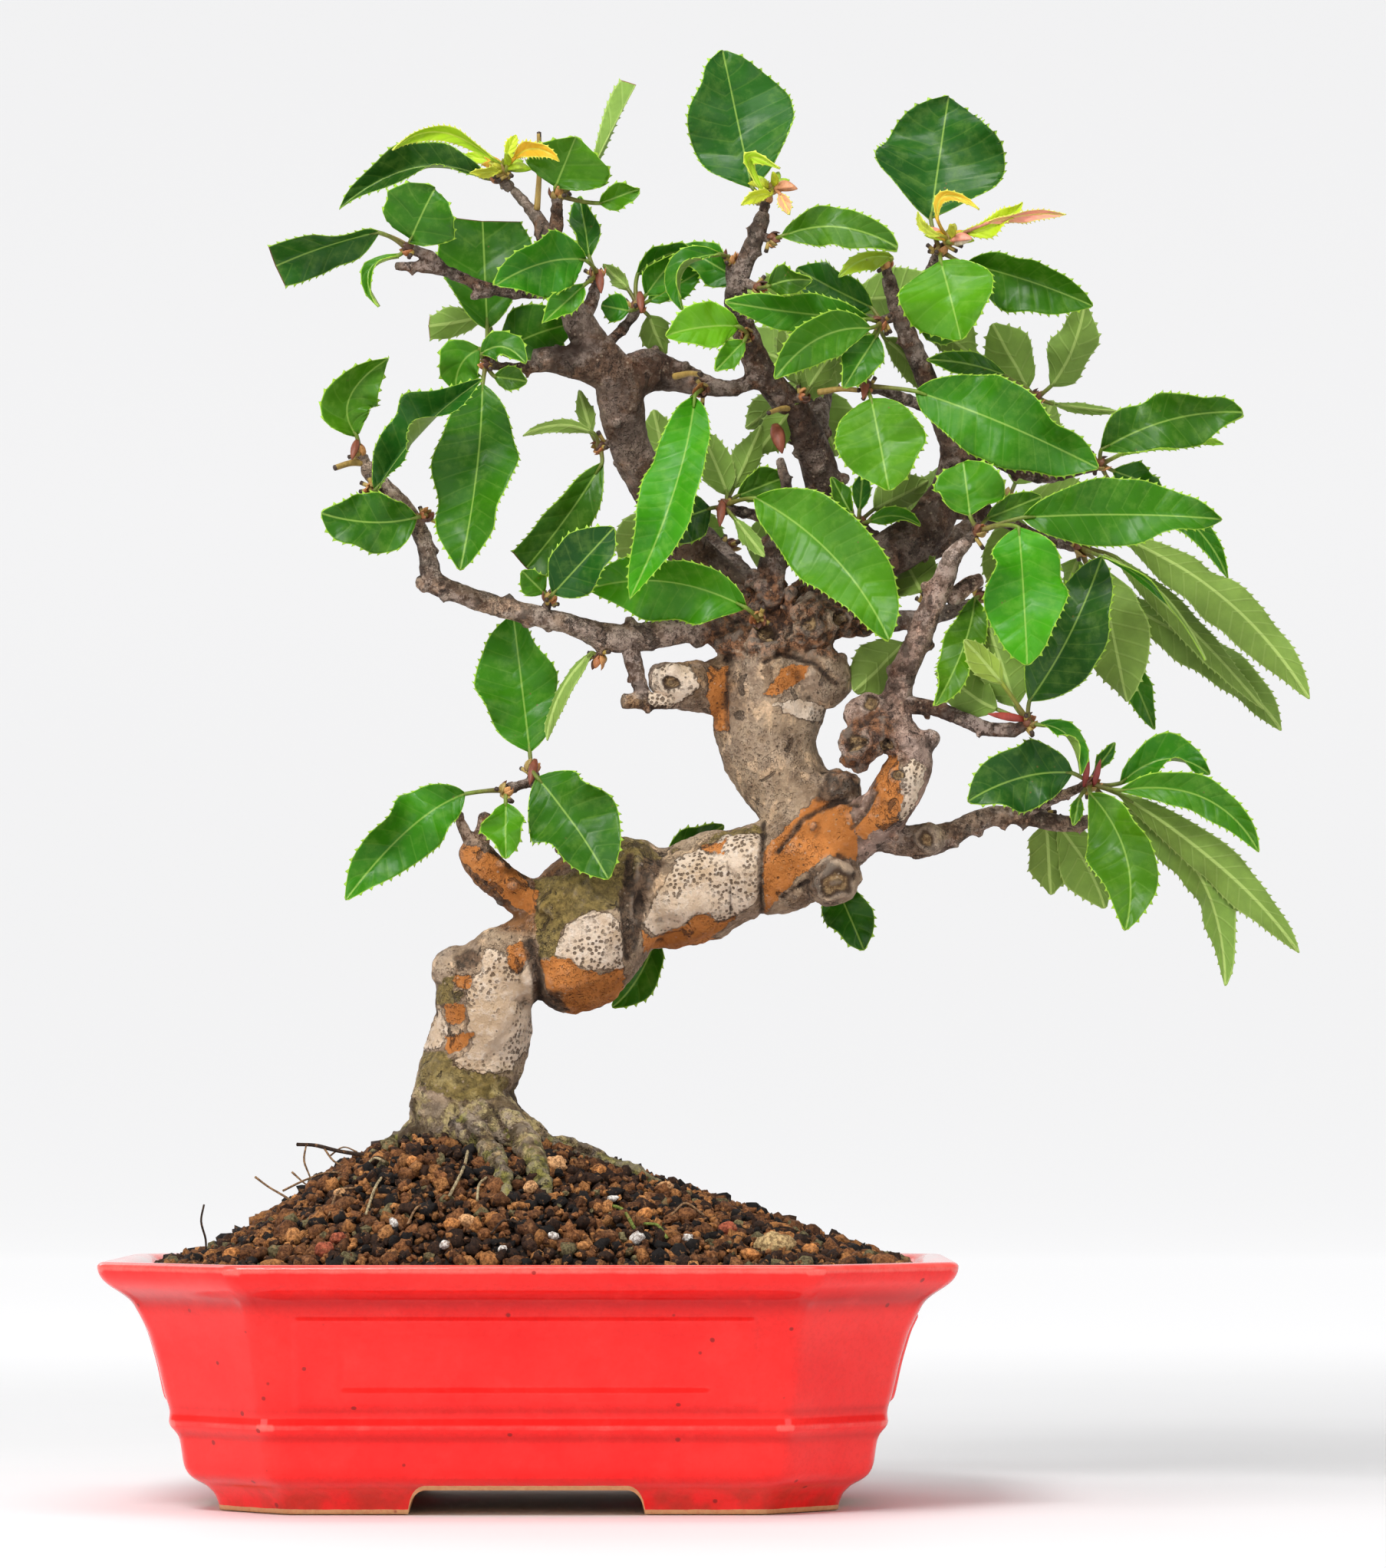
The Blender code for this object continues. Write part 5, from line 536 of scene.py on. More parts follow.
    "spray_rear_left": ((30.4, 217.6, 48.4), [
        leaf((28.4, 214.4, 49), (20, 200, 54), 6.2, 180, 10),
        leaf((32.6, 214.6, 50), (40, 200, 58), 6, 180, 12),
        leaf((29.6, 220.6, 49), (26, 236, 52), 5.4, 180, 12),
    ]),
    "spray_rear_left_mid": ((43, 206.6, 36.6), [
        leaf((46, 208, 39), (62, 206, 50), 7.2, 180, 12),
        leaf((42.6, 203.6, 40), (38, 192.6, 52), 5.6, 180, 12),
    ]),
    "spray_rear_right": ((103.2, 216.6, 44), [
        leaf((106.4, 216, 45), (134, 212.6, 50), 7.2, 180, 12),
        leaf((104, 213, 46), (105.6, 190, 52), 7.4, 180, 12),
        leaf((104.6, 220, 45), (113, 238, 50), 6.4, 180, 12),
    ]),
    "spray_rear_right_mid": ((80, 205.6, 34), [
        leaf((80.6, 209.4, 35), (89, 224, 42), 5.8, 180, 12),
        leaf((78, 204, 37), (64, 198, 46), 6, 180, 12),
    ]),
    "spray_rear_top": ((66, 258.6, 35.6), [
        leaf((63.4, 260, 36), (46, 262, 46), 5.4, 180, 12),
        leaf((69, 260.2, 37), (92, 262, 48), 6.6, 180, 12),
        leaf((66.8, 255.8, 38), (73, 243, 46), 5.2, 180, 12),
    ]),
    "spray_rear_top_mid": ((60.6, 244.4, 31.2), [
        leaf((57.8, 245.6, 33), (42, 252, 42), 5.6, 180, 12),
        leaf((60.8, 241, 34), (66, 226, 44), 6.6, 180, 12),
    ]),
}
YOUNG = ("shoot_top_left", "shoot_top", "shoot_right_fork")

# Leaves that fill the inner crown, on the same sprays.
FILLING_LEAVES = {
    "spray_right_leader_left": [
        leaf((72, 256.5, 4), (58, 238, 8), 5.6, 180, 14), leaf((74, 252.6, 2), (69.6, 243.6, 0), 3, 0, 14),
    ],
    "spray_leader_right_low": [leaf((46, 264, 5), (32, 272, 8), 4.6, 0, 12)],
    "spray_centre_left": [leaf((25, 260, 7), (36.5, 266.5, 9), 3.6, 0, 14)],
    "spray_rear_top_mid": [leaf((58, 242, 30), (46, 232, 28), 4, 180, 14)],
    "spray_right_leader_back": [leaf((86, 256, 6), (96.5, 247, 10), 4.4, 180, 14)],
    "spray_leader_low": [leaf((57, 237.5, 7), (48, 226, 10), 3.8, 180, 14)],
}

# Leaf looks: linear colours of the upper side, and which leaves have them.
GREENS = {
    "mid": (0.036, 0.165, 0.003),
    "dark": (0.02, 0.105, 0.008),
    "bright": (0.062, 0.26, 0.003),
    "yellow": (0.3, 0.48, 0.02),
}
LEAF_TONES = {
    "bright": [
        ("spray_centre_mid", 0), ("spray_right_fork", 1), ("spray_right_mid", 1), ("spray_big_centre", 0),
        ("spray_front_right", 2), ("spray_low_left", 1), ("spray_crossing", 0), ("spray_right_bud", 0),
        ("spray_crown_front", 0),
    ],
    "dark": [
        ("spray_long_left", 0), ("spray_big_centre", 1), ("spray_mid_right", 0), ("spray_lower_right", 0),
        ("spray_left_bend", 0), ("spray_right_fork", 0), ("spray_top", 0), ("spray_upper_left_twig", 0),
        ("spray_top_left", 0),
    ],
    "yellow": [("spray_right_leader_tip", 0), ("spray_mid_right", 4), ("spray_far_right", 1)],
}
YOUNG_COLORS = {
    "shoot_top_left": [
        (0.36, 0.58, 0.015), (0.86, 0.46, 0.02), (0.46, 0.66, 0.02), (0.56, 0.68, 0.02), (0.6, 0.6, 0.04),
    ],
    "shoot_top": [(0.4, 0.62, 0.02), (0.6, 0.68, 0.03), (0.8, 0.36, 0.18)],
    "shoot_right_fork": [(0.86, 0.5, 0.03), (0.5, 0.68, 0.02), (0.86, 0.34, 0.24), (0.6, 0.62, 0.05)],
}
TOOTH_PITCH = 1.8
YOUNG_TOOTH_PITCH = 1.1
TOOTH_REACH = 0.52
TOOTH_STATIONS = (0.0, 0.62, 0.80)
BLADE_THICKNESS = 0.34
VEIN_PITCH = 3.4
COLUMNS = (-1.0, -0.9, -0.68, -0.42, -0.18, 0.0, 0.18, 0.42, 0.68, 0.9, 1.0)
STALK_RADIUS = 0.52
STALK_ROWS = 9
STALK_SIDES = 8
STALK_FOOT = (0.20, 0.13, 0.035)
STALK_WASH = (0.16, 0.20, 0.03)
# Place of the stalks' material among a spray's materials, and the values of what has no veins.
STALK_KIND = 2
NO_VEINS = {"across": 0.0, "edge": 0.0, "phase": 0.0}
LEAFLETS = 8
GOLDEN_TURN = 2.4

# Bark patches of the front view: outlines in (u, w).
CREAM_BARK = [
    [
        (-10, 119), (-6, 118), (-5, 114), (-3, 113), (0, 117), (0.5, 100), (-5, 92), (-14, 92.5), (-17, 94),
        (-13, 98), (-14, 104), (-15, 112), (-12, 114),
    ],
    [(-20, 106), (-18, 101), (-20, 97), (-24, 97)],
    [(7, 124), (10, 126), (13, 127), (17, 126.5), (19.5, 122), (19.5, 114.5), (12, 114), (5, 117.5)],
    [
        (24, 124), (27, 131), (31, 138), (38, 141), (42, 143), (49, 144), (50, 138), (49, 130), (44, 126),
        (40, 124.5), (38, 126.5), (35, 126), (31, 122.5), (27, 121.5),
    ],
    [(79, 146), (83, 150), (85, 158), (82, 160), (79.5, 157), (79, 150)],
    [(25, 172), (29, 171), (33, 173.5), (36, 176), (34, 180), (30, 181), (26, 179)],
    [(52, 172), (57, 173), (63, 172), (62, 168), (57, 169)],
]
ORANGE_BARK = [
    [(-17, 113), (-13, 113.5), (-13, 111), (-15, 110), (-17, 111)],
    [(-19, 107), (-15, 107), (-14, 103.5), (-18, 102), (-19.5, 104)],
    [(-19.5, 100), (-13, 100.5), (-14, 97.5), (-18, 96)],
    [(-6, 119), (-3, 121), (-1, 118), (-3, 113.5), (-5, 115)],
    [
        (1, 116.5), (8, 117), (10, 114.5), (15, 113.5), (19.6, 114.6), (19.8, 110), (16, 105), (9, 103),
        (6, 107), (3, 110),
    ],
    [
        (23.5, 124), (25, 121), (31, 122.6), (35, 126), (38, 126.5), (40, 124.5), (45, 126.5), (40, 122),
        (31, 117), (24, 118),
    ],
    [(36.5, 141), (42, 142), (41, 139.5), (38, 139.2)],
    [
        (50, 126), (50, 140), (57, 148), (62, 152), (69, 150), (70, 144), (70, 138), (64, 139), (58, 135),
        (54, 130.5),
    ],
    [(74, 161), (79, 161), (80, 151), (79, 146), (72, 143), (69, 144), (73, 150), (74, 155)],
    [(39, 166), (42, 166), (42, 180), (38, 180), (38, 172)],
    [(50, 174), (54, 180), (60, 181), (58, 177), (52, 173.5)],
    [(-17, 142), (-12, 141), (-4, 136), (1, 131), (0, 126), (-6, 129), (-12, 135), (-17, 138)],
    [(66.5, 160.5), (69, 161), (70, 158), (68, 156.5)],
]
OLIVE_BARK = [
    [(-24, 97), (-19, 96.5), (-17, 93.5), (-12, 92.5), (-5, 91), (-7, 87), (-16, 86), (-25, 89)],
    [(-20.5, 112), (-17, 113), (-17, 110), (-15, 110), (-16, 106.5), (-20.5, 107)],
    [
        (0, 134), (14, 136), (16, 145), (22, 144), (28, 139), (22, 135), (19, 128), (12, 126), (7, 124),
        (5, 117), (1, 117),
    ],
    [(30, 140), (36, 141), (41, 144.5), (50, 146), (50, 143), (42, 142)],
]
DARK_BARK = [
    [(-17, 113.5), (-17, 117), (-13, 119), (-11, 117), (-12, 115), (-15, 114)],
    [(18.5, 131), (24, 139), (29, 138), (25, 132), (24, 124), (22.4, 118), (19.6, 119), (19, 126)],
    [(2, 110), (6, 109.5), (7.5, 106), (3, 103), (0, 104)],
    [(58, 131), (60, 136), (64, 138), (67, 136), (66, 131)],
    [(61, 151), (64, 158), (69, 158), (71, 154), (66, 150)],
]
# The cluster of old pruning knots at the crown's foot.
KNOBBLY_BARK = [
    [(36, 180), (46, 181), (58, 182), (70, 180), (76, 186), (72, 198), (58, 202), (46, 200), (36, 196)],
    [(64, 156), (66, 168), (74, 174), (80, 168), (77, 158), (70, 154)],
]
# Creases between the swollen stretches of bark, pressed in and darkened as painted shade: (width, depth, line
# in (u, w)).
CREASES = [
    (1.3, 1.5, [(-1, 120), (1, 112), (1.5, 103)]),
    (1.1, 1.1, [(21, 139), (20, 126), (20.6, 117)]),
    (0.8, 0.9, [(24, 136), (22.6, 126)]),
    (0.6, 0.5, [(42, 138), (42.6, 131), (43, 126)]),
    (0.9, 0.8, [(49.6, 146), (49.2, 134), (49.6, 126)]),
    (0.9, 0.8, [(53, 140), (58, 147), (66, 151), (70, 150)]),
    (0.8, 0.8, [(69, 145), (72, 149), (74, 153)]),
    (0.7, 0.6, [(41, 163), (41.6, 172), (42, 179)]),
    (0.9, 0.9, [(50, 181), (54, 183), (61, 181), (66, 176)]),
    (0.7, 0.8, [(-17, 84), (-14, 79), (-12, 73)]),
    (0.8, 1, [(-9, 85), (-6, 79), (-4, 72)]),
    (0.7, 0.8, [(0, 84), (6, 78), (12, 75)]),
    (0.8, 0.7, [(54, 130), (60, 134), (66, 139), (70, 137)]),
]
# Healed wounds with rings: (u, w, radius).
RING_WOUNDS = [
    (66.2, 133.6, 5.2), (79.2, 156.6, 2.2), (70, 163.6, 3.4), (73.5, 172, 2.6), (85.2, 142.8, 2.8),
    (60, 189.4, 3.6), (51, 187, 3), (66.4, 190.6, 2.6), (30, 176.6, 2.4), (76.5, 163, 2),
]
# Base colours of the limbs: the first name that a limb's name starts with.
LIMB_COLORS = [
    ("trunk", (0.52, 0.375, 0.24)), ("root", (0.3, 0.215, 0.105)), ("pale", (0.52, 0.35, 0.275)),
    ("left_stub", (0.36, 0.16, 0.05)), ("lower_right", (0.33, 0.22, 0.15)), ("pruned", (0.32, 0.2, 0.105)),
    ("dark_limb", (0.06, 0.032, 0.022)), ("long_left", (0.4, 0.28, 0.195)),
    ("upper_left", (0.165, 0.092, 0.055)), ("leader", (0.13, 0.068, 0.04)), ("right", (0.15, 0.085, 0.056)),
    ("back", (0.15, 0.092, 0.062)), ("stub", (0.26, 0.11, 0.05)), ("", (0.15, 0.078, 0.046)),
]
THICK_LIMB = 3.0
# Sides of a limb's tube: (over this radius, count).
TUBE_SIDES = [(9, 32), (3, 18), (0, 12)]
NEAR_SAMPLES = 24
SOFTEN_ROUNDS = 12
TRUNK_VOXEL = 0.74
TWIG_VOXEL = 0.52
BURIED_FROM_Z = 50.0
TRUNK_X = -14.0

# Buds that the sprays grow from.
BUD_SCALES = 9
BUD_STALKS = 3
SCALE_ROWS = 7
SCALE_SIDES = 8
BUD_COLORS = [
    (0.46, 0.17, 0.06), (0.20, 0.075, 0.035), (0.62, 0.30, 0.10), (0.10, 0.045, 0.028), (0.40, 0.28, 0.08),
]
YOUNG_BUD_COLOR = (0.30, 0.34, 0.05)
SCALE_RED = (0.28, 0.08, 0.04)
# Cut leaf stalks: (start, end, radius) in front view readings.
CUT_STALKS = [
    ((-37, 224.6, -10), (-43.4, 223.4, -14), 0.7), ((30.6, 243.4, 4), (36.4, 243.8, -3), 0.65),
    ((62, 240, 4), (70.8, 240.4, -3), 0.6), ((0.6, 280, -6), (1, 297, -8), 0.55),
    ((56, 236.4, 8), (51, 235.4, 1), 0.6), ((-25.6, 270.8, -13), (-36, 275.6, -13), 0.5),
]
# Long bud scales and stipules: (base, tip, half width, colour).
SCALES = [
    ((52.4, 233, 8), (54, 226.6, 4), 1.6, (0.3, 0.08, 0.04)),
    ((41, 216.4, -4), (40.4, 210.6, -8), 1, SCALE_RED),
    ((14, 266.8, -3), (14.6, 261.6, -6), 1, SCALE_RED),
    ((23, 262, 3), (23.4, 257.4, 0), 0.9, SCALE_RED),
    ((72.4, 243, -4), (71.6, 238.4, -7), 0.9, SCALE_RED),
    ((0.4, 160, -4), (-0.8, 154.4, -8), 1, SCALE_RED),
    ((106.8, 168.6, -21), (98.6, 169.8, -25), 0.9, (0.42, 0.06, 0.04)),
    ((-38.4, 229.6, -11), (-39.6, 225.2, -14), 0.9, SCALE_RED),
    ((119.4, 154, -11), (120.4, 160.4, -14), 0.7, (0.3, 0.05, 0.04)),
    ((121.4, 154, -11), (123, 160, -13), 0.7, (0.3, 0.05, 0.04)),
    ((91.4, 272.4, -5), (95.4, 273.4, -9), 0.7, (0.8, 0.7, 0.5)),
]

# Stage, in metres: a floor, a sweep behind it and a backdrop with a glow.
FLOOR_HALF = 20.0
STAGE_HALF = 4.0
SWEEP_Y = 2.3
SWEEP_RADIUS = 0.5
BACKDROP_HEIGHT = 2.4
GLOW_LOW = (0.77, 0.77, 0.775)
GLOW_HIGH = (0.75, 0.75, 0.755)
AIR_LIGHT = 0.31

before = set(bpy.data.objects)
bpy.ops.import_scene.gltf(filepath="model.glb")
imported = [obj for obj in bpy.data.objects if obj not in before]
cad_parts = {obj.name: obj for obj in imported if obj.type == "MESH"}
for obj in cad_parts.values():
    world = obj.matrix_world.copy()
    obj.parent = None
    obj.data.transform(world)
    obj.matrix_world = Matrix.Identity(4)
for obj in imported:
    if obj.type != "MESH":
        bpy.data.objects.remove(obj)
CAD_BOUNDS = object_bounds()
POT_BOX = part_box("pot")
ORIGIN = [(POT_BOX[0][0] + POT_BOX[1][0]) / 2, (POT_BOX[0][1] + POT_BOX[1][1]) / 2, POT_BOX[0][2]]
# The solids' box in mm from the middle of the pot's foot, which no leaf reaches beyond.
INSIDE = [(np.array(corner) - ORIGIN) / MM + shift for corner, shift in zip(CAD_BOUNDS, (0.05, -0.05))]


def in_space(reading):
    """The real place of a front view reading (u, w, y)."""
    u, w, y = reading
    spread = (EYE_DISTANCE + y) / EYE_DISTANCE
    return Vector((EYE_X + (u - EYE_X) * spread, y, EYE_Z + (w - EYE_Z) * spread))


def read_off(x, y, z):
    """The front view reading (u, w) of a place."""
    spread = (EYE_DISTANCE + y) / EYE_DISTANCE
    return EYE_X + (x - EYE_X) / spread, EYE_Z + (z - EYE_Z) / spread


class Skin:
    """Points, faces and values at the points, gathered for one piece."""

    def __init__(self):
        self.points = []
        self.faces = []
        self.kinds = []
        self.values = {}

    def add(self, points, faces, kind=0, **values):
        start = len(self.points)
        self.points.extend(points)
        self.faces.extend([tuple(i + start for i in face) for face in faces])
        self.kinds.extend(kind if isinstance(kind, list) else [kind] * len(faces))
        for name, value in values.items():
            row = value if isinstance(value, list) else [value] * len(points)
            self.values.setdefault(name, []).extend(row)


def make_mesh(name, skin):
    mesh = bpy.data.meshes.new(name)
    places = np.array([tuple(point) for point in skin.points]) * MM + np.array(ORIGIN)
    mesh.from_pydata(places.tolist(), [], skin.faces)
    mesh.polygons.foreach_set("material_index", skin.kinds)
    mesh.polygons.foreach_set("use_smooth", [True] * len(mesh.polygons))
    for key, row in skin.values.items():
        set_values(mesh, key, row)
    mesh.update()
    return mesh


def set_values(mesh, key, row):
    """Values at the points, as numbers or as colours."""
    row = np.array(row, dtype=np.float32)
    if row.ndim == 1:
        mesh.attributes.new(key, "FLOAT", "POINT").data.foreach_set("value", row)
        return
    colors = np.ones((len(row), 4), dtype=np.float32)
    colors[:, :3] = row
    mesh.attributes.new(key, "FLOAT_COLOR", "POINT").data.foreach_set("color", colors.ravel())


def in_scene(name, data):
    """A new object, put in the scene."""
    made = bpy.data.objects.new(name, data)
    bpy.context.scene.collection.objects.link(made)
    return made


def make_piece(name, skin, materials, slot, *replaced):
    """A piece that rides on the body, and stands for the CAD nodes named last."""
    piece = in_scene(name, make_mesh(name, skin))
    for material in materials:
        piece.data.materials.append(material)
    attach(piece, "root")
    if replaced:
        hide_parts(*replaced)
    return piece


def ring_faces(rows, count):
    """Faces between rows of points that each run once round."""
    faces = []
    for low in range(0, (rows - 1) * count, count):
        for i in range(count):
            j = (i + 1) % count
            faces.append((low + i, low + j, low + count + j, low + count + i))
    return faces


def closed_faces(rows, count):
    """The same faces, with one more over the first row and one over the last."""
    last = (rows - 1) * count
    return [*ring_faces(rows, count), tuple(reversed(range(count))), tuple(range(last, last + count))]


def bell(value, middle, width):
    return math.exp(-(((value - middle) / width) ** 2))


def noise_at(places, scale):
    return np.array([noise.noise(place * scale) for place in places])


def interpolate(points, at):
    """The value at a position on a row of (position, value) points."""
    return float(np.interp(at, [point[0] for point in points], [point[1] for point in points]))


def smooth_step(value):
    value = min(1.0, max(0.0, value))
    return value * value * (3.0 - 2.0 * value)


# Shader helpers


class Shader:
    """A material's nodes, made by short calls. Numbers and sockets are both accepted as inputs."""

    def __init__(self, name, roughness, specular=0.5, coat=0.0, coat_roughness=0.1):
        self.material = bpy.data.materials.new(name)
        self.material.use_nodes = True
        self.tree = self.material.node_tree
        self.surface = self.tree.nodes["Principled BSDF"].inputs
        self.surface["Roughness"].default_value = roughness
        self.surface["Specular IOR Level"].default_value = specular
        self.surface["Coat Weight"].default_value = coat
        self.surface["Coat Roughness"].default_value = coat_roughness
        self.place = self.node("TexCoord").outputs["Object"]

    def feed(self, socket, value):
        if isinstance(value, bpy.types.NodeSocket):
            self.tree.links.new(value, socket)
        elif isinstance(value, (int, float)):
            socket.default_value = value
        else:
            socket.default_value = (*value, 1.0)[: len(socket.default_value)]

    def node(self, kind, inputs=(), **settings):
        """A new node with its settings, and its inputs by name or number."""
        made = self.tree.nodes.new("ShaderNode" + kind)
        for key, value in settings.items():
            setattr(made, key, value)
        for key, value in dict(inputs).items():
            self.feed(made.inputs[key], value)
        return made

    def value(self, name):
        return self.node("Attribute", attribute_name=name).outputs["Fac"]

    def color(self, name):
        return self.node("Attribute", attribute_name=name).outputs["Color"]

    def math(self, operation, a, b=0.0, clamp=False):
        return self.node("Math", {0: a, 1: b}, operation=operation, use_clamp=clamp).outputs[0]

    def times(self, a, b):
        return self.math("MULTIPLY", a, b)

    def plus(self, a, b):
        return self.math("ADD", a, b)

    def minus(self, a, b):
        return self.math("SUBTRACT", a, b)

    def noise(self, scale, detail=3.0, roughness=0.55, place=None, distortion=0.0):
        """Noise of the given scale in repeats a metre."""
        inputs = {"Vector": self.place if place is None else place, "Scale": scale, "Detail": detail}
        inputs.update({"Roughness": roughness, "Distortion": distortion})
        return self.node("TexNoise", inputs).outputs["Fac"]

    def cells(self, scale):
        """Distance from the middle of the nearest cell."""
        return self.node("TexVoronoi", {"Vector": self.place, "Scale": scale}).outputs["Distance"]

    def stretched(self, x, y, z):
        """The place, stretched along the axes."""
        return self.node("Mapping", {"Vector": self.place, "Scale": (x, y, z)}).outputs[0]

    def along(self, axis):
        """The place's coordinate on an axis in metres."""
        return self.node("SeparateXYZ", {0: self.place}).outputs[axis]

    def step(self, value, low, high):
        """0 below low, 1 above high, and smooth between. low may be the higher of the two."""
        inputs = {"Value": value, "From Min": min(low, high), "From Max": max(low, high)}
        inputs.update({"To Min": 1.0 if low > high else 0.0, "To Max": 0.0 if low > high else 1.0})
        return self.node("MapRange", inputs, interpolation_type="SMOOTHSTEP").outputs["Result"]

    def spots(self, low, high, *noise):
        """Where a noise is above high, and smoothly down to nothing where it is below low."""
        return self.step(self.noise(*noise), low, high)

    def dots(self, scale, wide, narrow, noise, low, high):
        """Round dots, one to a cell, where the noise is high."""
        return self.times(self.step(self.cells(scale), wide, narrow), self.step(noise, low, high))

    def uneven(self, value, noise, amount):
        """A value made uneven by a noise."""
        return self.plus(value, self.times(self.minus(noise, 0.5), amount))

    def mix(self, share, a, b, blend="MIX"):
        return self.node("Mix", {0: share, 6: a, 7: b}, data_type="RGBA", blend_type=blend).outputs[2]

    def toned(self, color, tone):
        """A colour multiplied by a tone."""
        return self.mix(1.0, color, tone, "MULTIPLY")

    def paint(self, color, over, share, strength):
        """A colour with another laid over it, where the share says and no stronger than the strength."""
        return self.mix(self.times(share, strength), color, over)

    def vein_distance(self):
        """How far a place on a blade is from the nearest side vein, as a share of their pitch."""
        return self.math("ABSOLUTE", self.minus(self.math("FRACT", self.value("phase")), 0.5))

    def bump(self, height, distance, strength=1.0, below=None):
        """A bump of the given distance in mm, on top of the one below."""
        inputs = {"Height": height, "Distance": distance * MM, "Strength": strength}
        if below is not None:
            inputs["Normal"] = below
        return self.node("Bump", inputs).outputs[0]

    def finish(self, color, roughness, normal):
        self.feed(self.surface["Base Color"], color)
        self.feed(self.surface["Roughness"], roughness)
        self.feed(self.surface["Normal"], normal)
        return self.material


# Materials


def glaze_material():
    """Glossy red glaze: deep where it pools, which also paints the shade under the lip and ridges, brownish
    at the foot, pale on the rim and corners where it is thin and as a painted highlight, with small pits.
    """
    look = Shader("red_glaze", 0.12, 0.2, 0.36, 0.015)
    red = look.mix(look.spots(0.35, 0.7, 45, 4), (0.93, 0.010, 0.008), (0.97, 0.022, 0.017))
    # Darker red where the glaze pools, which is also painted shade in the hollow under the lip and below the
    # ridge and panels.
    red = look.mix(look.math("MULTIPLY", look.value("pool"), 0.85, True), red, (0.50, 0.001, 0.001))
    clouds = look.noise(160, 5, 0.65)
    red = look.paint(red, (1.0, 0.04, 0.032), look.step(clouds, 0.5, 0.75), 0.25)
    level = look.uneven(look.along("Z"), look.noise(260, 4), 0.005)
    # Paler where the glaze is thin, which is also a painted highlight along the ridge, the lip, the rim and
    # the corner edges.
    ragged_thin_and_glint = look.uneven(look.value("thin"), clouds, 0.5)
    red = look.paint(red, (0.96, 0.24, 0.2), look.step(ragged_thin_and_glint, 0.45, 1.0), 0.5)
    foot = look.times(look.step(level, 0.0075, 0.003), look.spots(0.35, 0.65, 120, 3))
    red = look.paint(red, (0.36, 0.035, 0.012), foot, 0.55)
    clay = look.mix(look.noise(400, 4), (0.62, 0.30, 0.11), (0.80, 0.52, 0.26))
    bare_share = look.step(look.uneven(look.value("bare"), clouds, 0.5), 0.45, 0.6)
    color = look.mix(bare_share, red, clay)
    color = look.mix(look.times(look.value("inside"), look.spots(0.2, 0.75, 90, 4)), color, (0.72, 0.5, 0.47))
    grainy = look.spots(0.46, 0.62, 900, 4, 0.8)
    color = look.paint(color, look.toned(color, (0.72, 0.1, 0.1)), grainy, 0.22)
    pits = look.dots(150, 0.105, 0.06, look.noise(38, 2), 0.34, 0.44)
    color = look.paint(color, (0.26, 0.006, 0.004), pits, 0.85)
    chips = look.dots(62, 0.035, 0.02, look.noise(21, 2), 0.58, 0.64)
    color = look.paint(color, (0.9, 0.62, 0.55), chips, 0.7)
    rough = look.plus(0.11, look.times(bare_share, 0.6))
    normal = look.bump(look.noise(70, 2), 0.16, 0.5)
    normal = look.bump(look.minus(look.noise(700, 2), pits), 0.02, 0.3, normal)
    return look.finish(color, rough, normal)


def soil_material(name, attribute):
    """Baked clay and bark grains: rough, porous, each with its own colour."""
    look = Shader(name, 0.9, 0.25)
    # Without an attribute the colour is near black: the soil body under the grains is painted shade for the
    # gaps between them.
    base = look.color(attribute) if attribute else (0.022, 0.013, 0.009)
    fine = look.noise(1500, 5, 0.7)
    color = look.mix(look.step(fine, 0.38, 0.62), look.toned(base, (0.3, 0.26, 0.24)), base)
    flecks = look.spots(0.58, 0.68, 700, 3, 0.6)
    color = look.paint(color, (0.46, 0.22, 0.09), flecks, 0.4)
    normal = look.bump(look.noise(900, 5, 0.7), 0.5, 0.9)
    rough = look.plus(0.72, look.times(fine, 0.25))
    return look.finish(color, rough, normal)


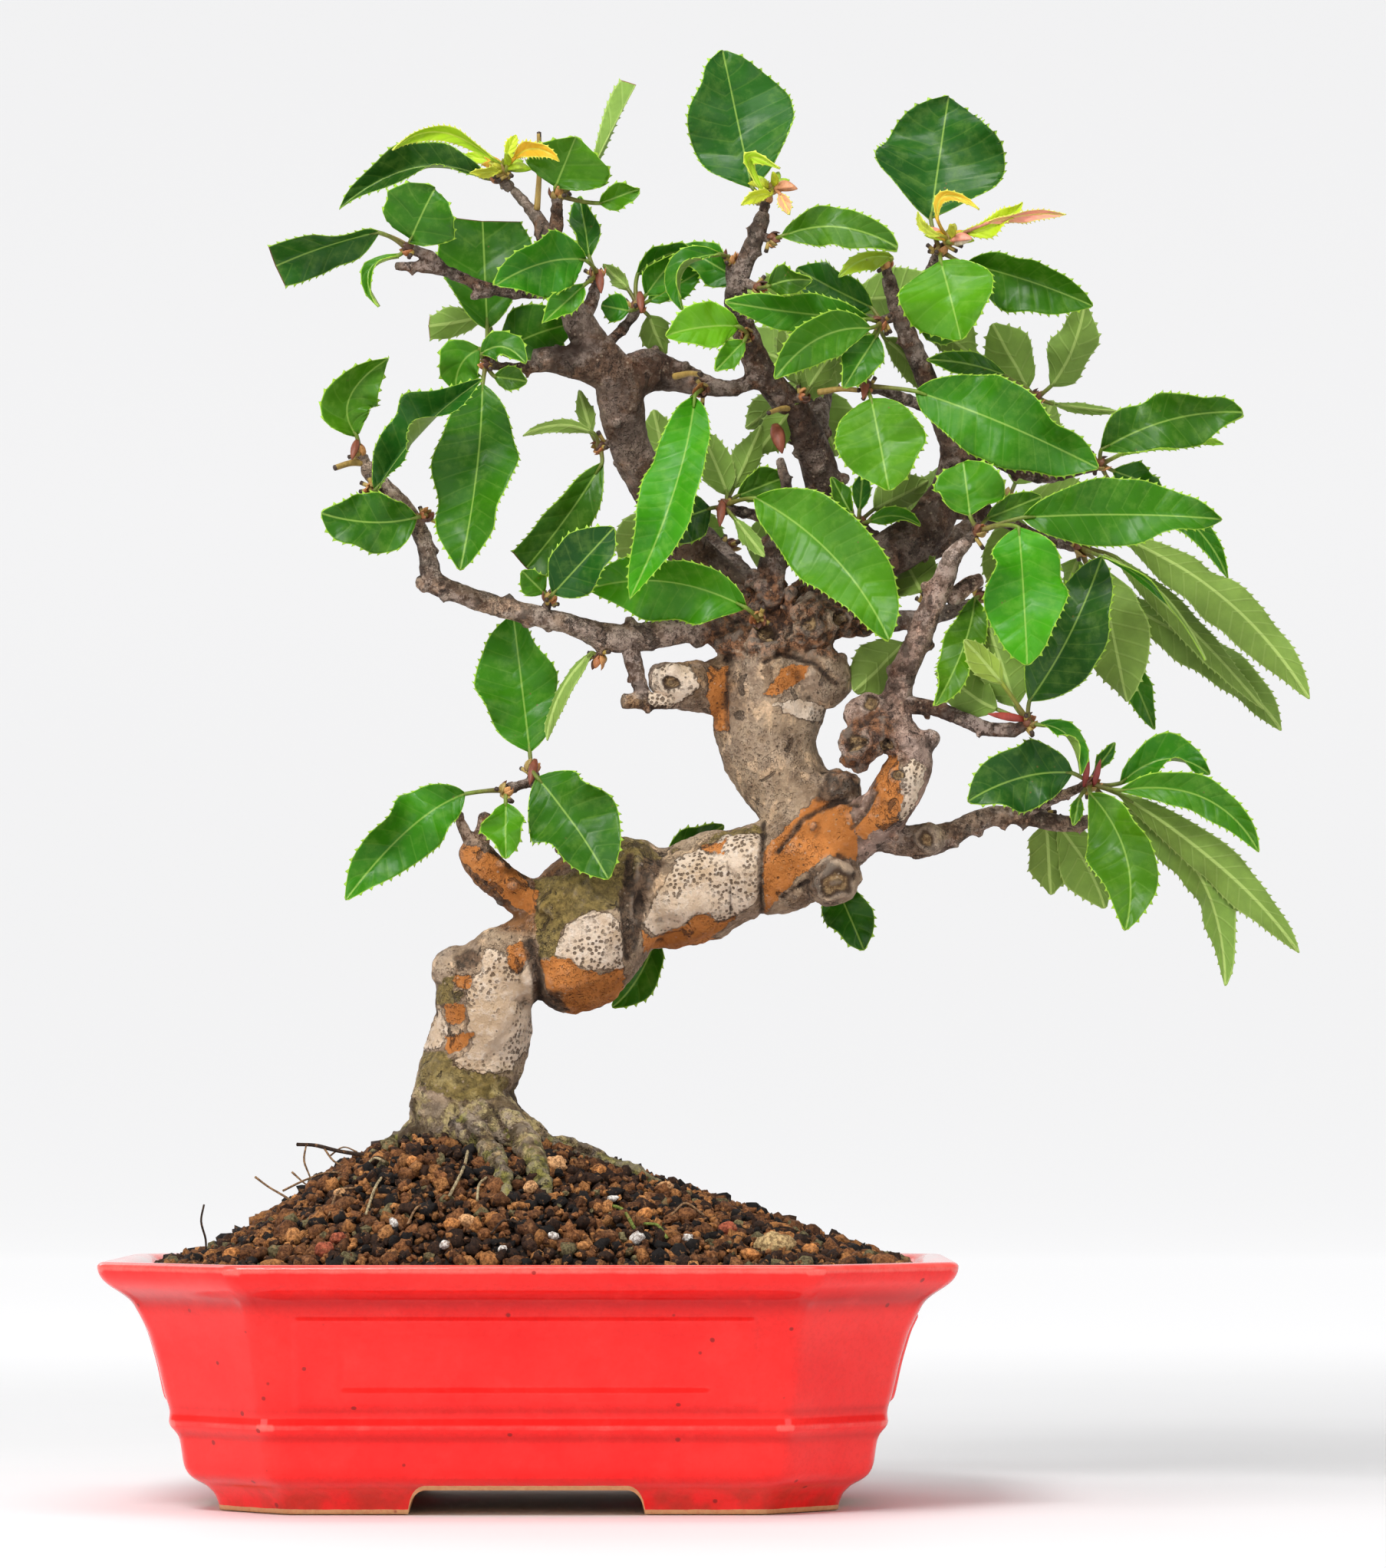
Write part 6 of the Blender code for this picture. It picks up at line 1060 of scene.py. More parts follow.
def bark_material():
    """Flaking quince bark: cream and orange islands over tan, with olive moss and dark cracks, pale streaks
    of painted highlight, painted shade in its hollows and creases and painted highlight on its ridges.
    """
    look = Shader("bark", 0.75, 0.35)
    base = look.color("base")
    wide = look.noise(110, 5, 0.6)
    fine = look.noise(620, 6, 0.72)
    color = look.mix(look.step(wide, 0.32, 0.68), look.toned(base, (0.42, 0.36, 0.32)), base)
    grey = look.mix(0.28, base, (0.62, 0.50, 0.40))
    color = look.paint(color, grey, look.step(fine, 0.5, 0.66), 0.7)
    # Paler streaks along the wood: painted highlight streaks.
    streaks = look.step(look.noise(260, 4, 0.6, look.stretched(1.0, 1.0, 0.6), 0.6), 0.54, 0.66)
    color = look.paint(color, look.toned(base, (2.1, 2.0, 1.9)), streaks, 0.55)
    thin_wood = look.minus(1.0, look.value("girth"))
    thin_wood = look.math("MAXIMUM", thin_wood, 0.22)
    ashen = look.times(thin_wood, look.spots(0.47, 0.55, 95, 5, 0.65))
    color = look.paint(color, look.mix(0.55, base, (0.6, 0.5, 0.44)), ashen, 0.8)
    flecks = look.spots(0.52, 0.44, 430, 6, 0.8)
    color = look.mix(look.times(flecks, thin_wood), color, look.toned(color, (0.3, 0.24, 0.2)))
    sooty = look.spots(0.50, 0.40, 135, 5, 0.7)
    color = look.mix(look.times(sooty, thin_wood), color, (0.042, 0.022, 0.014))
    edge = look.times(look.minus(look.noise(420, 4, 0.6), 0.5), 3.2)
    olive = look.plus(look.value("olive"), edge)
    moss_brown = look.mix(look.step(fine, 0.35, 0.65), (0.085, 0.062, 0.014), (0.30, 0.215, 0.055))
    color = look.paint(color, moss_brown, look.step(olive, -0.2, 0.3), 0.9)
    cream = look.plus(look.value("cream"), edge)
    cream_share = look.step(cream, -0.08, 0.12)
    pale = look.mix(look.step(wide, 0.3, 0.7), (0.60, 0.42, 0.26), (0.86, 0.69, 0.53))
    pale = look.paint(pale, (0.84, 0.74, 0.64), look.step(fine, 0.48, 0.66), 0.5)
    speckles = look.dots(1150, 0.48, 0.3, look.noise(115, 4), 0.38, 0.56)
    pale = look.paint(pale, (0.1, 0.055, 0.025), speckles, 0.85)
    color = look.mix(cream_share, color, pale)
    orange = look.plus(look.value("orange"), edge)
    orange_share = look.step(orange, -0.08, 0.12)
    warm = look.mix(look.step(wide, 0.3, 0.7), (0.42, 0.140, 0.024), (0.66, 0.240, 0.055))
    warm = look.paint(warm, (0.66, 0.34, 0.13), look.step(fine, 0.55, 0.7), 0.5)
    color = look.mix(orange_share, color, warm)
    for field in (cream, orange, olive):
        rim = look.times(look.step(field, -0.5, -0.08), look.step(field, 0.1, -0.02))
        rim = look.times(rim, look.spots(0.36, 0.56, 300, 2))
        color = look.paint(color, (0.06, 0.03, 0.014), rim, 0.7)
    # Dark patches, and the creases between swollen stretches darkened as painted shade.
    dark = look.plus(look.value("dark"), look.times(edge, 0.6))
    wound = look.mix(look.step(fine, 0.4, 0.62), (0.020, 0.012, 0.008), (0.16, 0.090, 0.050))
    color = look.paint(color, wound, look.step(dark, -0.5, 0.6), 0.88)
    knobbly = look.times(look.value("knobbly"), look.spots(0.36, 0.5, 170, 4, 0.6))
    old_wood = look.mix(look.step(fine, 0.42, 0.60), (0.040, 0.018, 0.010), (0.32, 0.135, 0.055))
    color = look.paint(color, old_wood, knobbly, 0.9)
    wound_place = look.uneven(look.value("scar"), look.noise(260, 3), 0.3)
    inner = look.mix(look.step(fine, 0.4, 0.6), (0.16, 0.085, 0.035), (0.40, 0.26, 0.12))
    color = look.mix(look.step(wound_place, 0.72, 0.60), color, inner)
    line = look.times(look.step(wound_place, 0.48, 0.62), look.step(wound_place, 0.8, 0.66))
    line = look.math("MAXIMUM", line, look.times(look.step(wound_place, 0.3, 0.22), 0.7))
    color = look.paint(color, (0.04, 0.02, 0.012), line, 0.85)
    low_wood = look.step(look.value("moss"), -14.0, -4.0)
    blotches = look.times(low_wood, look.spots(0.48, 0.6, 230, 5, 0.65))
    color = look.paint(color, (0.56, 0.44, 0.19), blotches, 0.75)
    stains = look.times(low_wood, look.spots(0.5, 0.4, 150, 4, 0.6))
    color = look.paint(color, (0.06, 0.036, 0.014), stains, 0.85)
    patchy = look.times(look.minus(look.noise(190, 5, 0.65), 0.56), 55.0)
    moss = look.step(look.plus(look.value("moss"), patchy), 0.0, 4.0)
    lichen = look.mix(look.step(fine, 0.4, 0.65), (0.050, 0.052, 0.006), (0.34, 0.31, 0.055))
    color = look.paint(color, lichen, moss, 0.72)
    cracks = look.step(look.noise(210, 5, 0.62, look.stretched(1.0, 1.0, 0.7), 0.8), 0.39, 0.355)
    cracks = look.times(cracks, look.minus(1.0, look.times(cream_share, 0.85)))
    color = look.paint(color, (0.045, 0.024, 0.014), cracks, 0.6)
    dots = look.dots(480, 0.17, 0.09, look.noise(80, 2), 0.42, 0.5)
    color = look.paint(color, (0.05, 0.026, 0.014), dots, 0.75)
    pores = look.dots(640, 0.24, 0.12, look.noise(240, 2), 0.5, 0.58)
    color = look.paint(color, (0.46, 0.34, 0.24), pores, 0.6)
    color = look.paint(color, (0.035, 0.018, 0.012), look.value("rings"), 0.7)
    # Painted shade where the skin lies below its neighbours, in hollows and forks.
    pit = look.uneven(look.value("pit"), fine, 0.35)
    color = look.paint(color, (0.026, 0.014, 0.008), look.step(pit, 0.1, 0.55), 0.85)
    # Painted highlight where the skin stands above its neighbours, on ridges.
    ridge = look.times(look.step(pit, -0.12, -0.45), 0.3)
    color = look.mix(ridge, color, look.mix(0.5, color, (0.80, 0.66, 0.52)))
    relief = look.plus(fine, look.times(cream_share, 0.5))
    relief = look.minus(relief, look.plus(cracks, look.times(speckles, 0.6)))
    normal = look.bump(relief, 0.8, 1.2)
    rough = look.minus(0.82, look.times(cream_share, 0.12))
    return look.finish(color, rough, normal)


def leaf_top_material(name, roughness, vein_color, rim_color):
    """The upper side: glossy, with a pale midrib, faint side veins and a thin pale rim."""
    look = Shader(name, roughness, 0.18, 0.04, 0.16)
    tint = look.color("tint")
    mottle = look.noise(330, 5, 0.65)
    wide = look.noise(60, 3, 0.5)
    color = look.mix(look.step(wide, 0.3, 0.7), look.toned(tint, (0.62, 0.7, 0.85)), tint)
    color = look.paint(color, look.mix(0.35, tint, vein_color), look.step(mottle, 0.45, 0.7), 0.3)
    away = look.vein_distance()
    veins = look.step(away, 0.07, 0.015)
    color = look.paint(color, vein_color, veins, 0.07)
    across = look.math("ABSOLUTE", look.value("across"))
    midrib = look.step(across, 0.30, 0.08)
    color = look.paint(color, vein_color, midrib, 0.5)
    rim = look.uneven(look.value("edge"), mottle, 0.4)
    color = look.paint(color, rim_color, look.step(rim, 0.26, 0.0), 0.8)
    color = look.mix(look.step(look.value("wound"), 0.4, 0.7), color, (0.13, 0.055, 0.020))
    specks = look.dots(420, 0.12, 0.06, look.noise(90, 2), 0.6, 0.66)
    color = look.paint(color, (0.16, 0.1, 0.03), specks, 0.7)
    relief = look.plus(look.times(look.step(away, 0.0, 0.3), 0.6), look.times(mottle, 0.5))
    uneven = look.bump(look.noise(85, 3, 0.5), 1.6, 0.55)
    normal = look.bump(relief, 0.16, 0.8, uneven)
    rough = look.plus(roughness - 0.08, look.times(mottle, 0.25))
    return look.finish(color, rough, normal)


def leaf_under_material(name, share, wash, vein_color):
    """The underside: matt and paler, with raised pale veins."""
    look = Shader(name, 0.62, 0.22)
    tint = look.color("tint")
    mottle = look.noise(420, 5, 0.65)
    base = look.mix(share, tint, wash)
    color = look.mix(look.step(mottle, 0.25, 0.8), look.toned(base, (0.8, 0.82, 0.82)), base)
    away = look.vein_distance()
    veins = look.step(away, 0.12, 0.02)
    color = look.paint(color, vein_color, veins, 0.16)
    across = look.math("ABSOLUTE", look.value("across"))
    color = look.paint(color, vein_color, look.step(across, 0.45, 0.22), 0.7)
    color = look.paint(color, vein_color, look.step(look.value("edge"), 0.26, 0.0), 0.6)
    color = look.mix(look.step(look.value("wound"), 0.4, 0.7), color, (0.20, 0.085, 0.030))
    normal = look.bump(look.plus(veins, look.times(mottle, 0.35)), 0.14, 0.7)
    return look.finish(color, 0.62, normal)


def stalk_material():
    """Leaf stalks, cut stubs and bud scales, each with its own colour, with fine lengthwise streaks."""
    look = Shader("leaf_stalk", 0.5, 0.4)
    tint = look.color("tint")
    streaks = look.noise(900, 4, 0.6, look.stretched(1.0, 1.0, 0.25))
    color = look.mix(look.step(streaks, 0.3, 0.75), look.toned(tint, (0.62, 0.58, 0.55)), tint)
    color = look.mix(look.step(look.value("wound"), 0.4, 0.7), color, (0.045, 0.025, 0.016))
    return look.finish(color, 0.5, look.bump(streaks, 0.12, 0.6))


def net_material():
    """Moulded netting over the drain holes: black, slightly dusty."""
    look = Shader("drainage_plastic", 0.55, 0.4)
    dust = look.spots(0.5, 0.75, 300, 4, 0.6)
    color = look.paint((0.018, 0.018, 0.018), (0.1, 0.07, 0.05), dust, 0.35)
    return look.finish(color, look.plus(0.45, look.times(dust, 0.3)), look.bump(look.noise(900, 3), 0.05))


# Pot


def side_shares(ranges, fine, coarse):
    """Positions from -1 to 1 along a side, close together within the ranges."""
    row = [0.0]
    while row[-1] < 1.0:
        here = row[-1]
        following = here + (fine if any(low <= here < high for low, high in ranges) else coarse)
        for low, _ in ranges:
            if here < low < following:
                following = low
        row.append(min(1.0, following))
    return [-share for share in reversed(row[1:])] + row


END_SHARES = side_shares([(0.40, 0.60), (0.78, 0.90)], 0.016, 0.06)
LONG_SHARES = side_shares([(0.41, 0.55), (0.68, 0.76), (0.85, 0.95)], 0.01, 0.04)
CUT_SHARES = side_shares([], 0.1, 0.1)
SIDE_SHARES = (END_SHARES, CUT_SHARES, LONG_SHARES, CUT_SHARES)


def plan_size(half):
    """Half depth and cut corner of the pot's plan where its half length is given."""
    return half - LENGTH_OVER_DEPTH, RIM_CORNER_LEG - CORNER_SHRINK * (RIM_HALF - half)


def pot_ring(half):
    """Round the cut-corner rectangle: (place, outward direction, side, place along the side)."""
    half_depth, leg = plan_size(half)
    quarter = [(half, half_depth - leg), (half - leg, half_depth)]
    corners = quarter + [(-x, y) for x, y in reversed(quarter)]
    corners += [(-x, -y) for x, y in corners]
    trim = CORNER_ROUND * math.tan(math.pi / 8)
    ring = []
    for i in range(8):
        start = Vector(corners[i - 1])
        end = Vector(corners[i])
        ahead = (end - start).normalized()
        out = Vector((ahead.y, -ahead.x))
        reach = (end - start).length / 2 - trim
        for share in SIDE_SHARES[i % 4]:
            along = reach * share
            ring.append(((start + end) / 2 + ahead * along, out, i % 4, along))
        centre = end - ahead * trim - out * CORNER_ROUND
        for k in range(1, CORNER_STEPS):
            turned = Matrix.Rotation(math.pi / 4 * k / CORNER_STEPS, 2) @ out
            ring.append((centre + turned * CORNER_ROUND, turned, CORNER, 0.0))
    return ring


def band(value, low, high, soft):
    """1 between low and high, falling to 0 over the width `soft` at each end."""
    return smooth_step((value - low) / soft + 0.5) * smooth_step((high - value) / soft + 0.5)


def wall_relief(side, along, z):
    """How far the wall stands out at a place: its raised panels and the hollow under its lip."""
    hollow = bell(z, HOLLOW_Z, HOLLOW_HALF) * HOLLOW_DEPTH
    if side not in (END_SIDE, LONG_SIDE):
        return -hollow * (0.6 if side == CORNER else 1.0)
    half = END_PANEL_HALF if side == END_SIDE else FRONT_PANEL_HALF
    inner = half - PANEL_BORDER_X
    low = PANEL_LOW + PANEL_BORDER_Z
    high = PANEL_HIGH - PANEL_BORDER_Z
    slab = band(along, -half, half, PANEL_EDGE) * band(z, PANEL_LOW, PANEL_HIGH, PANEL_EDGE)
    sunk = band(along, -inner, inner, PANEL_EDGE) * band(z, low, high, PANEL_EDGE)
    return PANEL_RISE * slab - PANEL_SINK * sunk - hollow


def arch_height(side, along):
    """Height of the gap between two feet at a place along a side."""
    if side not in (END_SIDE, LONG_SIDE):
        return 0.0
    half = END_ARCH_HALF if side == END_SIDE else FRONT_ARCH_HALF
    share = min(1.0, max(0.0, (half - abs(along)) / ARCH_SHOULDER))
    return ARCH_TOP * math.sqrt(1.0 - (1.0 - share) ** 2)


def wall_heights():
    """Heights of the wall's rows, close together where the relief is."""
    heights = [0.0]
    while heights[-1] < LIP_Z:
        here = heights[-1]
        heights.append(here + next(pitch for end, pitch in WALL_PITCHES if here < end))
    heights[-1] = LIP_Z
    return heights


def pot_rows():
    """Rows from the middle underneath, up the wall and over the rim to the floor: (half, z, zone)."""
    foot = WALL_PROFILE[0][0]
    rows = [(foot - inward, z, "under") for inward, z in UNDER_PROFILE]
    profile = [(z, half) for half, z in WALL_PROFILE]
    for z in wall_heights():
        near = [interpolate(profile, z + shift) for shift in (-0.9, -0.45, 0.0, 0.45, 0.9)]
        rows.append((sum(near) / len(near), z, "wall"))
    return rows + [(half, z, "rim") for half, z in RIM_PROFILE]


def pot_point(row, place):
    """(point, thin, pool, bare, inside) of the pot's skin."""
    half, z, zone = row
    flat, out, side, along = place
    arch = arch_height(side, along)
    if zone == "under":
        return (flat.x, flat.y, max(z, arch)), 0.0, 0.0, 1.0, 0.0
    if zone == "rim":
        inner = smooth_step((89.5 - half) / 3.0)
        # The lip's top is paler: thin glaze and a painted highlight.
        return (flat.x, flat.y, z), 0.8 if z > LIP_Z else 0.3, 0.0, 0.0, inner
    bare = 0.0
    if z < ARCH_REACH_UP:
        raised = arch + z * (1.0 - arch / ARCH_REACH_UP)
        bare = smooth_step((1.5 - raised + arch) / 0.9)
        profile = [(height, width) for width, height in WALL_PROFILE]
        flat = flat + out * (interpolate(profile, raised) - half)
        z = raised
    flat = flat + out * wall_relief(side, along, z)
    # Pooled glaze bands, which are also painted shade under the lip and below the ridge and panels.
    pool = sum(depth * bell(z, middle, width) for middle, width, depth in POOLS_AND_SHADE)
    thin = sum(depth * bell(z, middle, width) for middle, width, depth in THIN_AND_GLINT_LINES)
    # Rounded corners are paler: thin glaze and a painted highlight along the corner edges.
    return (flat.x, flat.y, z), thin + (0.35 if side == CORNER else 0.0), pool, bare, 0.0


def make_pot(glaze):
    rows = pot_rows()
    made = [pot_point(row, place) for row in rows for place in pot_ring(row[0])]
    points, thin, pool, bare, inside = (list(column) for column in zip(*made))
    skin = Skin()
    faces = closed_faces(len(rows), len(made) // len(rows))
    skin.add(points, faces, thin=thin, pool=pool, bare=bare, inside=inside)
    piece = make_piece("glazed_pot", skin, [glaze], "red_glaze", "pot")
    for x in (-DRAIN_X, DRAIN_X):
        cut_drain(piece, x)


def cut_drain(piece, x):
    """Cuts one drain hole through the pot's floor."""
    turns = [2 * math.pi * k / DRAIN_SIDES for k in range(DRAIN_SIDES)]
    points = []
    for z in (ARCH_TOP - 3.0, FLOOR_Z + 3.0):
        points += [(x + DRAIN_RADIUS * math.cos(turn), DRAIN_RADIUS * math.sin(turn), z) for turn in turns]
    cutter = Skin()
    cutter.add(points, closed_faces(2, DRAIN_SIDES))
    tool = in_scene("drain_cutter", make_mesh("drain_cutter", cutter))
    modifier = piece.modifiers.new("Drain", "BOOLEAN")
    modifier.operation = "DIFFERENCE"
    modifier.solver = "EXACT"
    modifier.object = tool
    apply_modifiers(piece)
    bpy.data.objects.remove(tool)


def apply_modifiers(piece):
    graph = bpy.context.evaluated_depsgraph_get()
    shape = piece.evaluated_get(graph)
    mesh = bpy.data.meshes.new_from_object(shape, preserve_all_data_layers=True, depsgraph=graph)
    piece.modifiers.clear()
    piece.data = mesh


# Soil


def soil_height(x, y):
    """Height of the mound's smooth form."""
    ridge = interpolate(SOIL_RIDGE, x)
    share = min(1.0, abs(y) / SOIL_HALF_DEPTH)
    return SOIL_EDGE_Z + (ridge - SOIL_EDGE_Z) * (1.0 - share**SOIL_FALL)


def inner_half(z):
    return interpolate(sorted((height, half) for half, height in RIM_PROFILE[8:]), z)


def make_soil_mound(earth):
    """The body of the soil, under its grains, near black as painted shade in the gaps between them."""
    edge = [place[0] for place in pot_ring(inner_half(SOIL_EDGE_Z) - 0.3)][::2]
    bottom = [place[0] for place in pot_ring(inner_half(FLOOR_Z + 1.0) - 1.0)][::2]
    points = [(point.x, point.y, FLOOR_Z + 1.6) for point in bottom]
    for step in range(MOUND_ROWS):
        share = 1.0 - step / MOUND_ROWS
        for point in edge:
            x, y = point.x * share, point.y * share
            grain = noise.noise(Vector((x, y, 3.0)) * 0.45) * 0.9
            points.append((x, y, soil_height(x, y) - 1.3 + grain * min(1.0, step / 3)))
    skin = Skin()
    skin.add(points, closed_faces(MOUND_ROWS + 1, len(edge)))
    make_piece("soil_mound", skin, [earth], "granular_soil", "soil")


def unit_ball(detail):
    """Points and faces of a ball of radius 1, made of triangles alike."""
    golden = (1 + math.sqrt(5)) / 2
    points = []
    for a in (-1, 1):
        for b in (-golden, golden):
            points += [Vector((0, a, b)), Vector((a, b, 0)), Vector((b, 0, a))]
    points = [point.normalized() for point in points]
    side = min((points[0] - other).length for other in points[1:]) * 1.1
    faces = []
    for i in range(12):
        for j in range(i + 1, 12):
            for k in range(j + 1, 12):
                near = max((points[a] - points[b]).length for a, b in ((i, j), (j, k), (k, i)))
                if near < side:
                    outward = (points[j] - points[i]).cross(points[k] - points[i]).dot(points[i]) > 0
                    faces.append((i, j, k) if outward else (i, k, j))
    for _ in range(detail):
        middles = {}
        split = []
        for face in faces:
            between = []
            for a, b in ((0, 1), (1, 2), (2, 0)):
                key = tuple(sorted((face[a], face[b])))
                if key not in middles:
                    middles[key] = len(points)
                    points.append((points[face[a]] + points[face[b]]).normalized())
                between.append(middles[key])
            a, b, c = between
            split += [(face[0], a, c), (face[1], b, a), (face[2], c, b), (a, b, c)]
        faces = split
    return points, faces


def grain_points(ball, place, size, seed):
    """An angular, uneven grain."""
    angle = random.uniform(0, 6.28)
    axis = Vector((random.gauss(0, 1), random.gauss(0, 1), 1)).normalized()
    turn = Matrix.Rotation(angle, 3, axis)
    shape = Vector((random.uniform(0.75, 1.25), random.uniform(0.75, 1.2), random.uniform(0.6, 1.0)))
    made = []
    for point in ball:
        rough = 1.0 + 0.62 * noise.noise(point * 1.5 + Vector((seed, 0, 0)))
        rough += 0.42 * noise.noise(point * 3.4 + Vector((0, seed, 0)))
        made.append(place + turn @ Vector(point[i] * shape[i] * size * rough for i in range(3)))
    return made


def pick_color():
    share = random.random()
    for color, weight in GRAIN_COLORS:
        if share < weight:
            tone = random.uniform(0.75, 1.3)
            return tuple(channel * tone for channel in color)
        share -= weight
    return GRAIN_COLORS[0][0]


def inside_pot(x, y, margin):
    half = inner_half(SOIL_EDGE_Z) - margin
    half_depth, leg = plan_size(half)
    return abs(x) < half and abs(y) < half_depth and abs(x) + abs(y) < half + half_depth - leg


def make_grains(earth, tree):
    """Two layers of loose grains over the mound, kept out of the wood."""
    random.seed(7)
    for name, pitch, small, large, detail, sink in GRAIN_LAYERS:
        skin = Skin()
        ball, faces = unit_ball(detail)
        rows = int(GRAIN_REACH / pitch)
        for i in range(-rows, rows + 1):
            for j in range(-rows, rows + 1):
                x = (i + random.uniform(-0.45, 0.45)) * pitch
                y = (j + random.uniform(-0.45, 0.45)) * pitch
                size = random.uniform(small, large) * (1.25 if random.random() < 0.07 else 1.0)
                if not inside_pot(x, y, size + 0.4):
                    continue
                place = Vector((x, y, soil_height(x, y) + random.uniform(-0.6, 0.5) * size + sink - 0.6))
                _, index, away = tree["near"].find(place)
                if away < tree["radius"][index] * 0.85:
                    continue
                points = grain_points(ball, place, size, i * 0.37 + j * 1.91)
                skin.add(points, faces, tint=pick_color())
        piece = make_piece(name, skin, [earth], "granular_soil")
        smooth = [name == "soil_grains"] * len(piece.data.polygons)
        piece.data.polygons.foreach_set("use_smooth", smooth)


def on_soil(u, w, lift):
    """The place on the front of the soil that is seen at a front view reading."""
    for y in np.arange(-SOIL_FRONT, SOIL_FRONT, SIGHT_STEP).tolist():
        place = in_space((u, w, y))
        if soil_height(place.x, y) >= place.z:
            break
    return Vector((place.x, y, soil_height(place.x, y) + lift))


def make_chips(earth):
    """Chips and fine dry roots that lie on the soil."""
    random.seed(19)
    ball, faces = unit_ball(2)
    skin = Skin()
    for u, w, length, width, color in CHIPS:
        place = on_soil(u, w, 1.3)
        spin = Matrix.Rotation(random.uniform(-0.6, 0.6), 3, "Y")
        points = []
        for point in ball:
            rough = 1.0 + 0.3 * noise.noise(point * 1.6 + Vector((u, w, 0)))
            rough += 0.14 * noise.noise(point * 4.0)
            shape = Vector((point.x * length / 2, point.y * width * 0.45, point.z * width / 2))
            points.append(place + spin @ shape * rough)
        skin.add(points, faces, tint=CHIP_COLORS[color])
    for radius, color, row in DRY_ROOTS:
        stations = [(*on_soil(u, w, lift), radius) for u, w, lift in row]
        skin.add(*tube(dense(stations, 0.8), 6), tint=CHIP_COLORS[color])
    for radius, color, row in LOOSE_ROOTS:
        stations = [(*in_space(reading), radius) for reading in row]
        skin.add(*tube(dense(stations, 0.8), 6, 0.5, radius * 40), tint=CHIP_COLORS[color])
    make_piece("soil_chips", skin, [earth], "granular_soil")


# Wood


def dense(stations, pitch):
    """Stations (x, y, z, radius) along a smooth curve through the given ones."""
    rows = [np.array(station, dtype=float) for station in stations]
    rows = [rows[0] * 2 - rows[1]] + rows + [rows[-1] * 2 - rows[-2]]
    made = []
    for a, b, c, d in zip(rows, rows[1:], rows[2:], rows[3:]):
        steps = max(1, round(float(np.linalg.norm(c[:3] - b[:3])) / pitch))
        for step in range(steps):
            t = step / steps
            bend = 2 * b + (c - a) * t + (2 * a - 5 * b + 4 * c - d) * t**2 + (3 * b - a - 3 * c + d) * t**3
            made.append(bend / 2)
    made.append(rows[-2])
    return made


def tube(stations, sides, lump=0.0, seed=0.0):
    """Points and faces of a closed tube with rounded ends."""
    centres = [Vector(station[:3]) for station in stations]
    radii = [float(station[3]) for station in stations]
    across = None
    points = []
    for i, centre in enumerate(centres):
        ahead = (centres[min(i + 1, len(centres) - 1)] - centres[max(i - 1, 0)]).normalized()
        across = ahead.orthogonal().normalized() if across is None else across
        across = (across - ahead * across.dot(ahead)).normalized()
        other = ahead.cross(across)
        for k in range(sides):
            turn = 2 * math.pi * k / sides
            out = across * math.cos(turn) + other * math.sin(turn)
            uneven = 1.0 + lump * noise.noise((centre + out * radii[i]) * 0.13 + Vector((seed, 0, 0)))
            points.append(centre + out * radii[i] * uneven)
    faces = ring_faces(len(centres), sides)
    first = len(points)
    points.append(centres[0] + (centres[0] - centres[1]).normalized() * radii[0] * 0.4)
    points.append(centres[-1] + (centres[-1] - centres[-2]).normalized() * radii[-1] * 0.4)
    last = first - sides
    for k in range(sides):
        j = (k + 1) % sides
        faces.append((first, j, k))
        faces.append((first + 1, last + k, last + j))
    return points, faces


def limb_stations(readings):
    return [(*in_space((u, w, y)), radius) for u, w, y, radius in readings]


def nearest_on(limbs, place):
    """The nearest point on any limb's centre line, and how far away it is."""
    best = None
    for stations in limbs.values():
        for a, b in zip(stations, stations[1:]):
            start = Vector(a[:3])
            run = Vector(b[:3]) - start
            share = max(0.0, min(1.0, (place - start).dot(run) / run.length_squared))
            point = start + run * share
            if best is None or (place - point).length < best[1]:
                best = (point, (place - point).length)
    return best


def wood_parts():
    """All stations of the wood by name: the trunk, limbs, roots, buried end and spurs."""
    grown = {"trunk": limb_stations(TRUNK)}
    for name, readings in LIMBS.items():
        grown[name] = limb_stations(readings)
    parts = dict(grown)
    for name, plan in ROOTS.items():
        parts["root_" + name] = [(x, y, soil_height(x, y) + lift, radius) for x, y, radius, lift in plan]
    parts["root_end"] = [(TRUNK_X, 0, BURIED_FROM_Z, 5.0), (TRUNK_X, 0, 56.0, 9.0), (TRUNK_X, 0, 80.0, 9.0)]
    for spray, (reading, _) in SPRAYS.items():
        if spray in YOUNG:
            continue
        hub = in_space(reading)
        near, away = nearest_on(grown, hub)
        end = near + (hub - near) * ((away - 0.6) / away)
        parts["spur_" + spray] = [(*near, 1.35), (*((near + end) / 2), 1.15), (*end, 1.1)]
    random.seed(31)
    for name in LIMBS:
        add_stubs(parts, name)
    return parts


def add_stubs(parts, name):
    """Old buds that stand out along a limb."""
    rows = dense(parts[name], 1.0)
    k = random.randrange(3, 8)
    while k < len(rows) - 3:
        centre, radius = Vector(rows[k][:3]), float(rows[k][3])
        ahead = (Vector(rows[k + 1][:3]) - Vector(rows[k - 1][:3])).normalized()
        out = ahead.orthogonal().normalized()
        out = Matrix.Rotation(random.uniform(0, 2 * math.pi), 3, ahead) @ out
        tip = centre + out * (radius + random.uniform(0.4, 1.5)) + ahead * random.uniform(0.2, 1.2)
        thick = min(1.3, radius * 0.45)
        row = ((centre, 1.3), ((centre + tip) / 2, 1.2), (tip, 0.8))
        parts["stub_%s_%d" % (name, k)] = [(*place, thick * share) for place, share in row]
        k += random.randrange(4, 9)


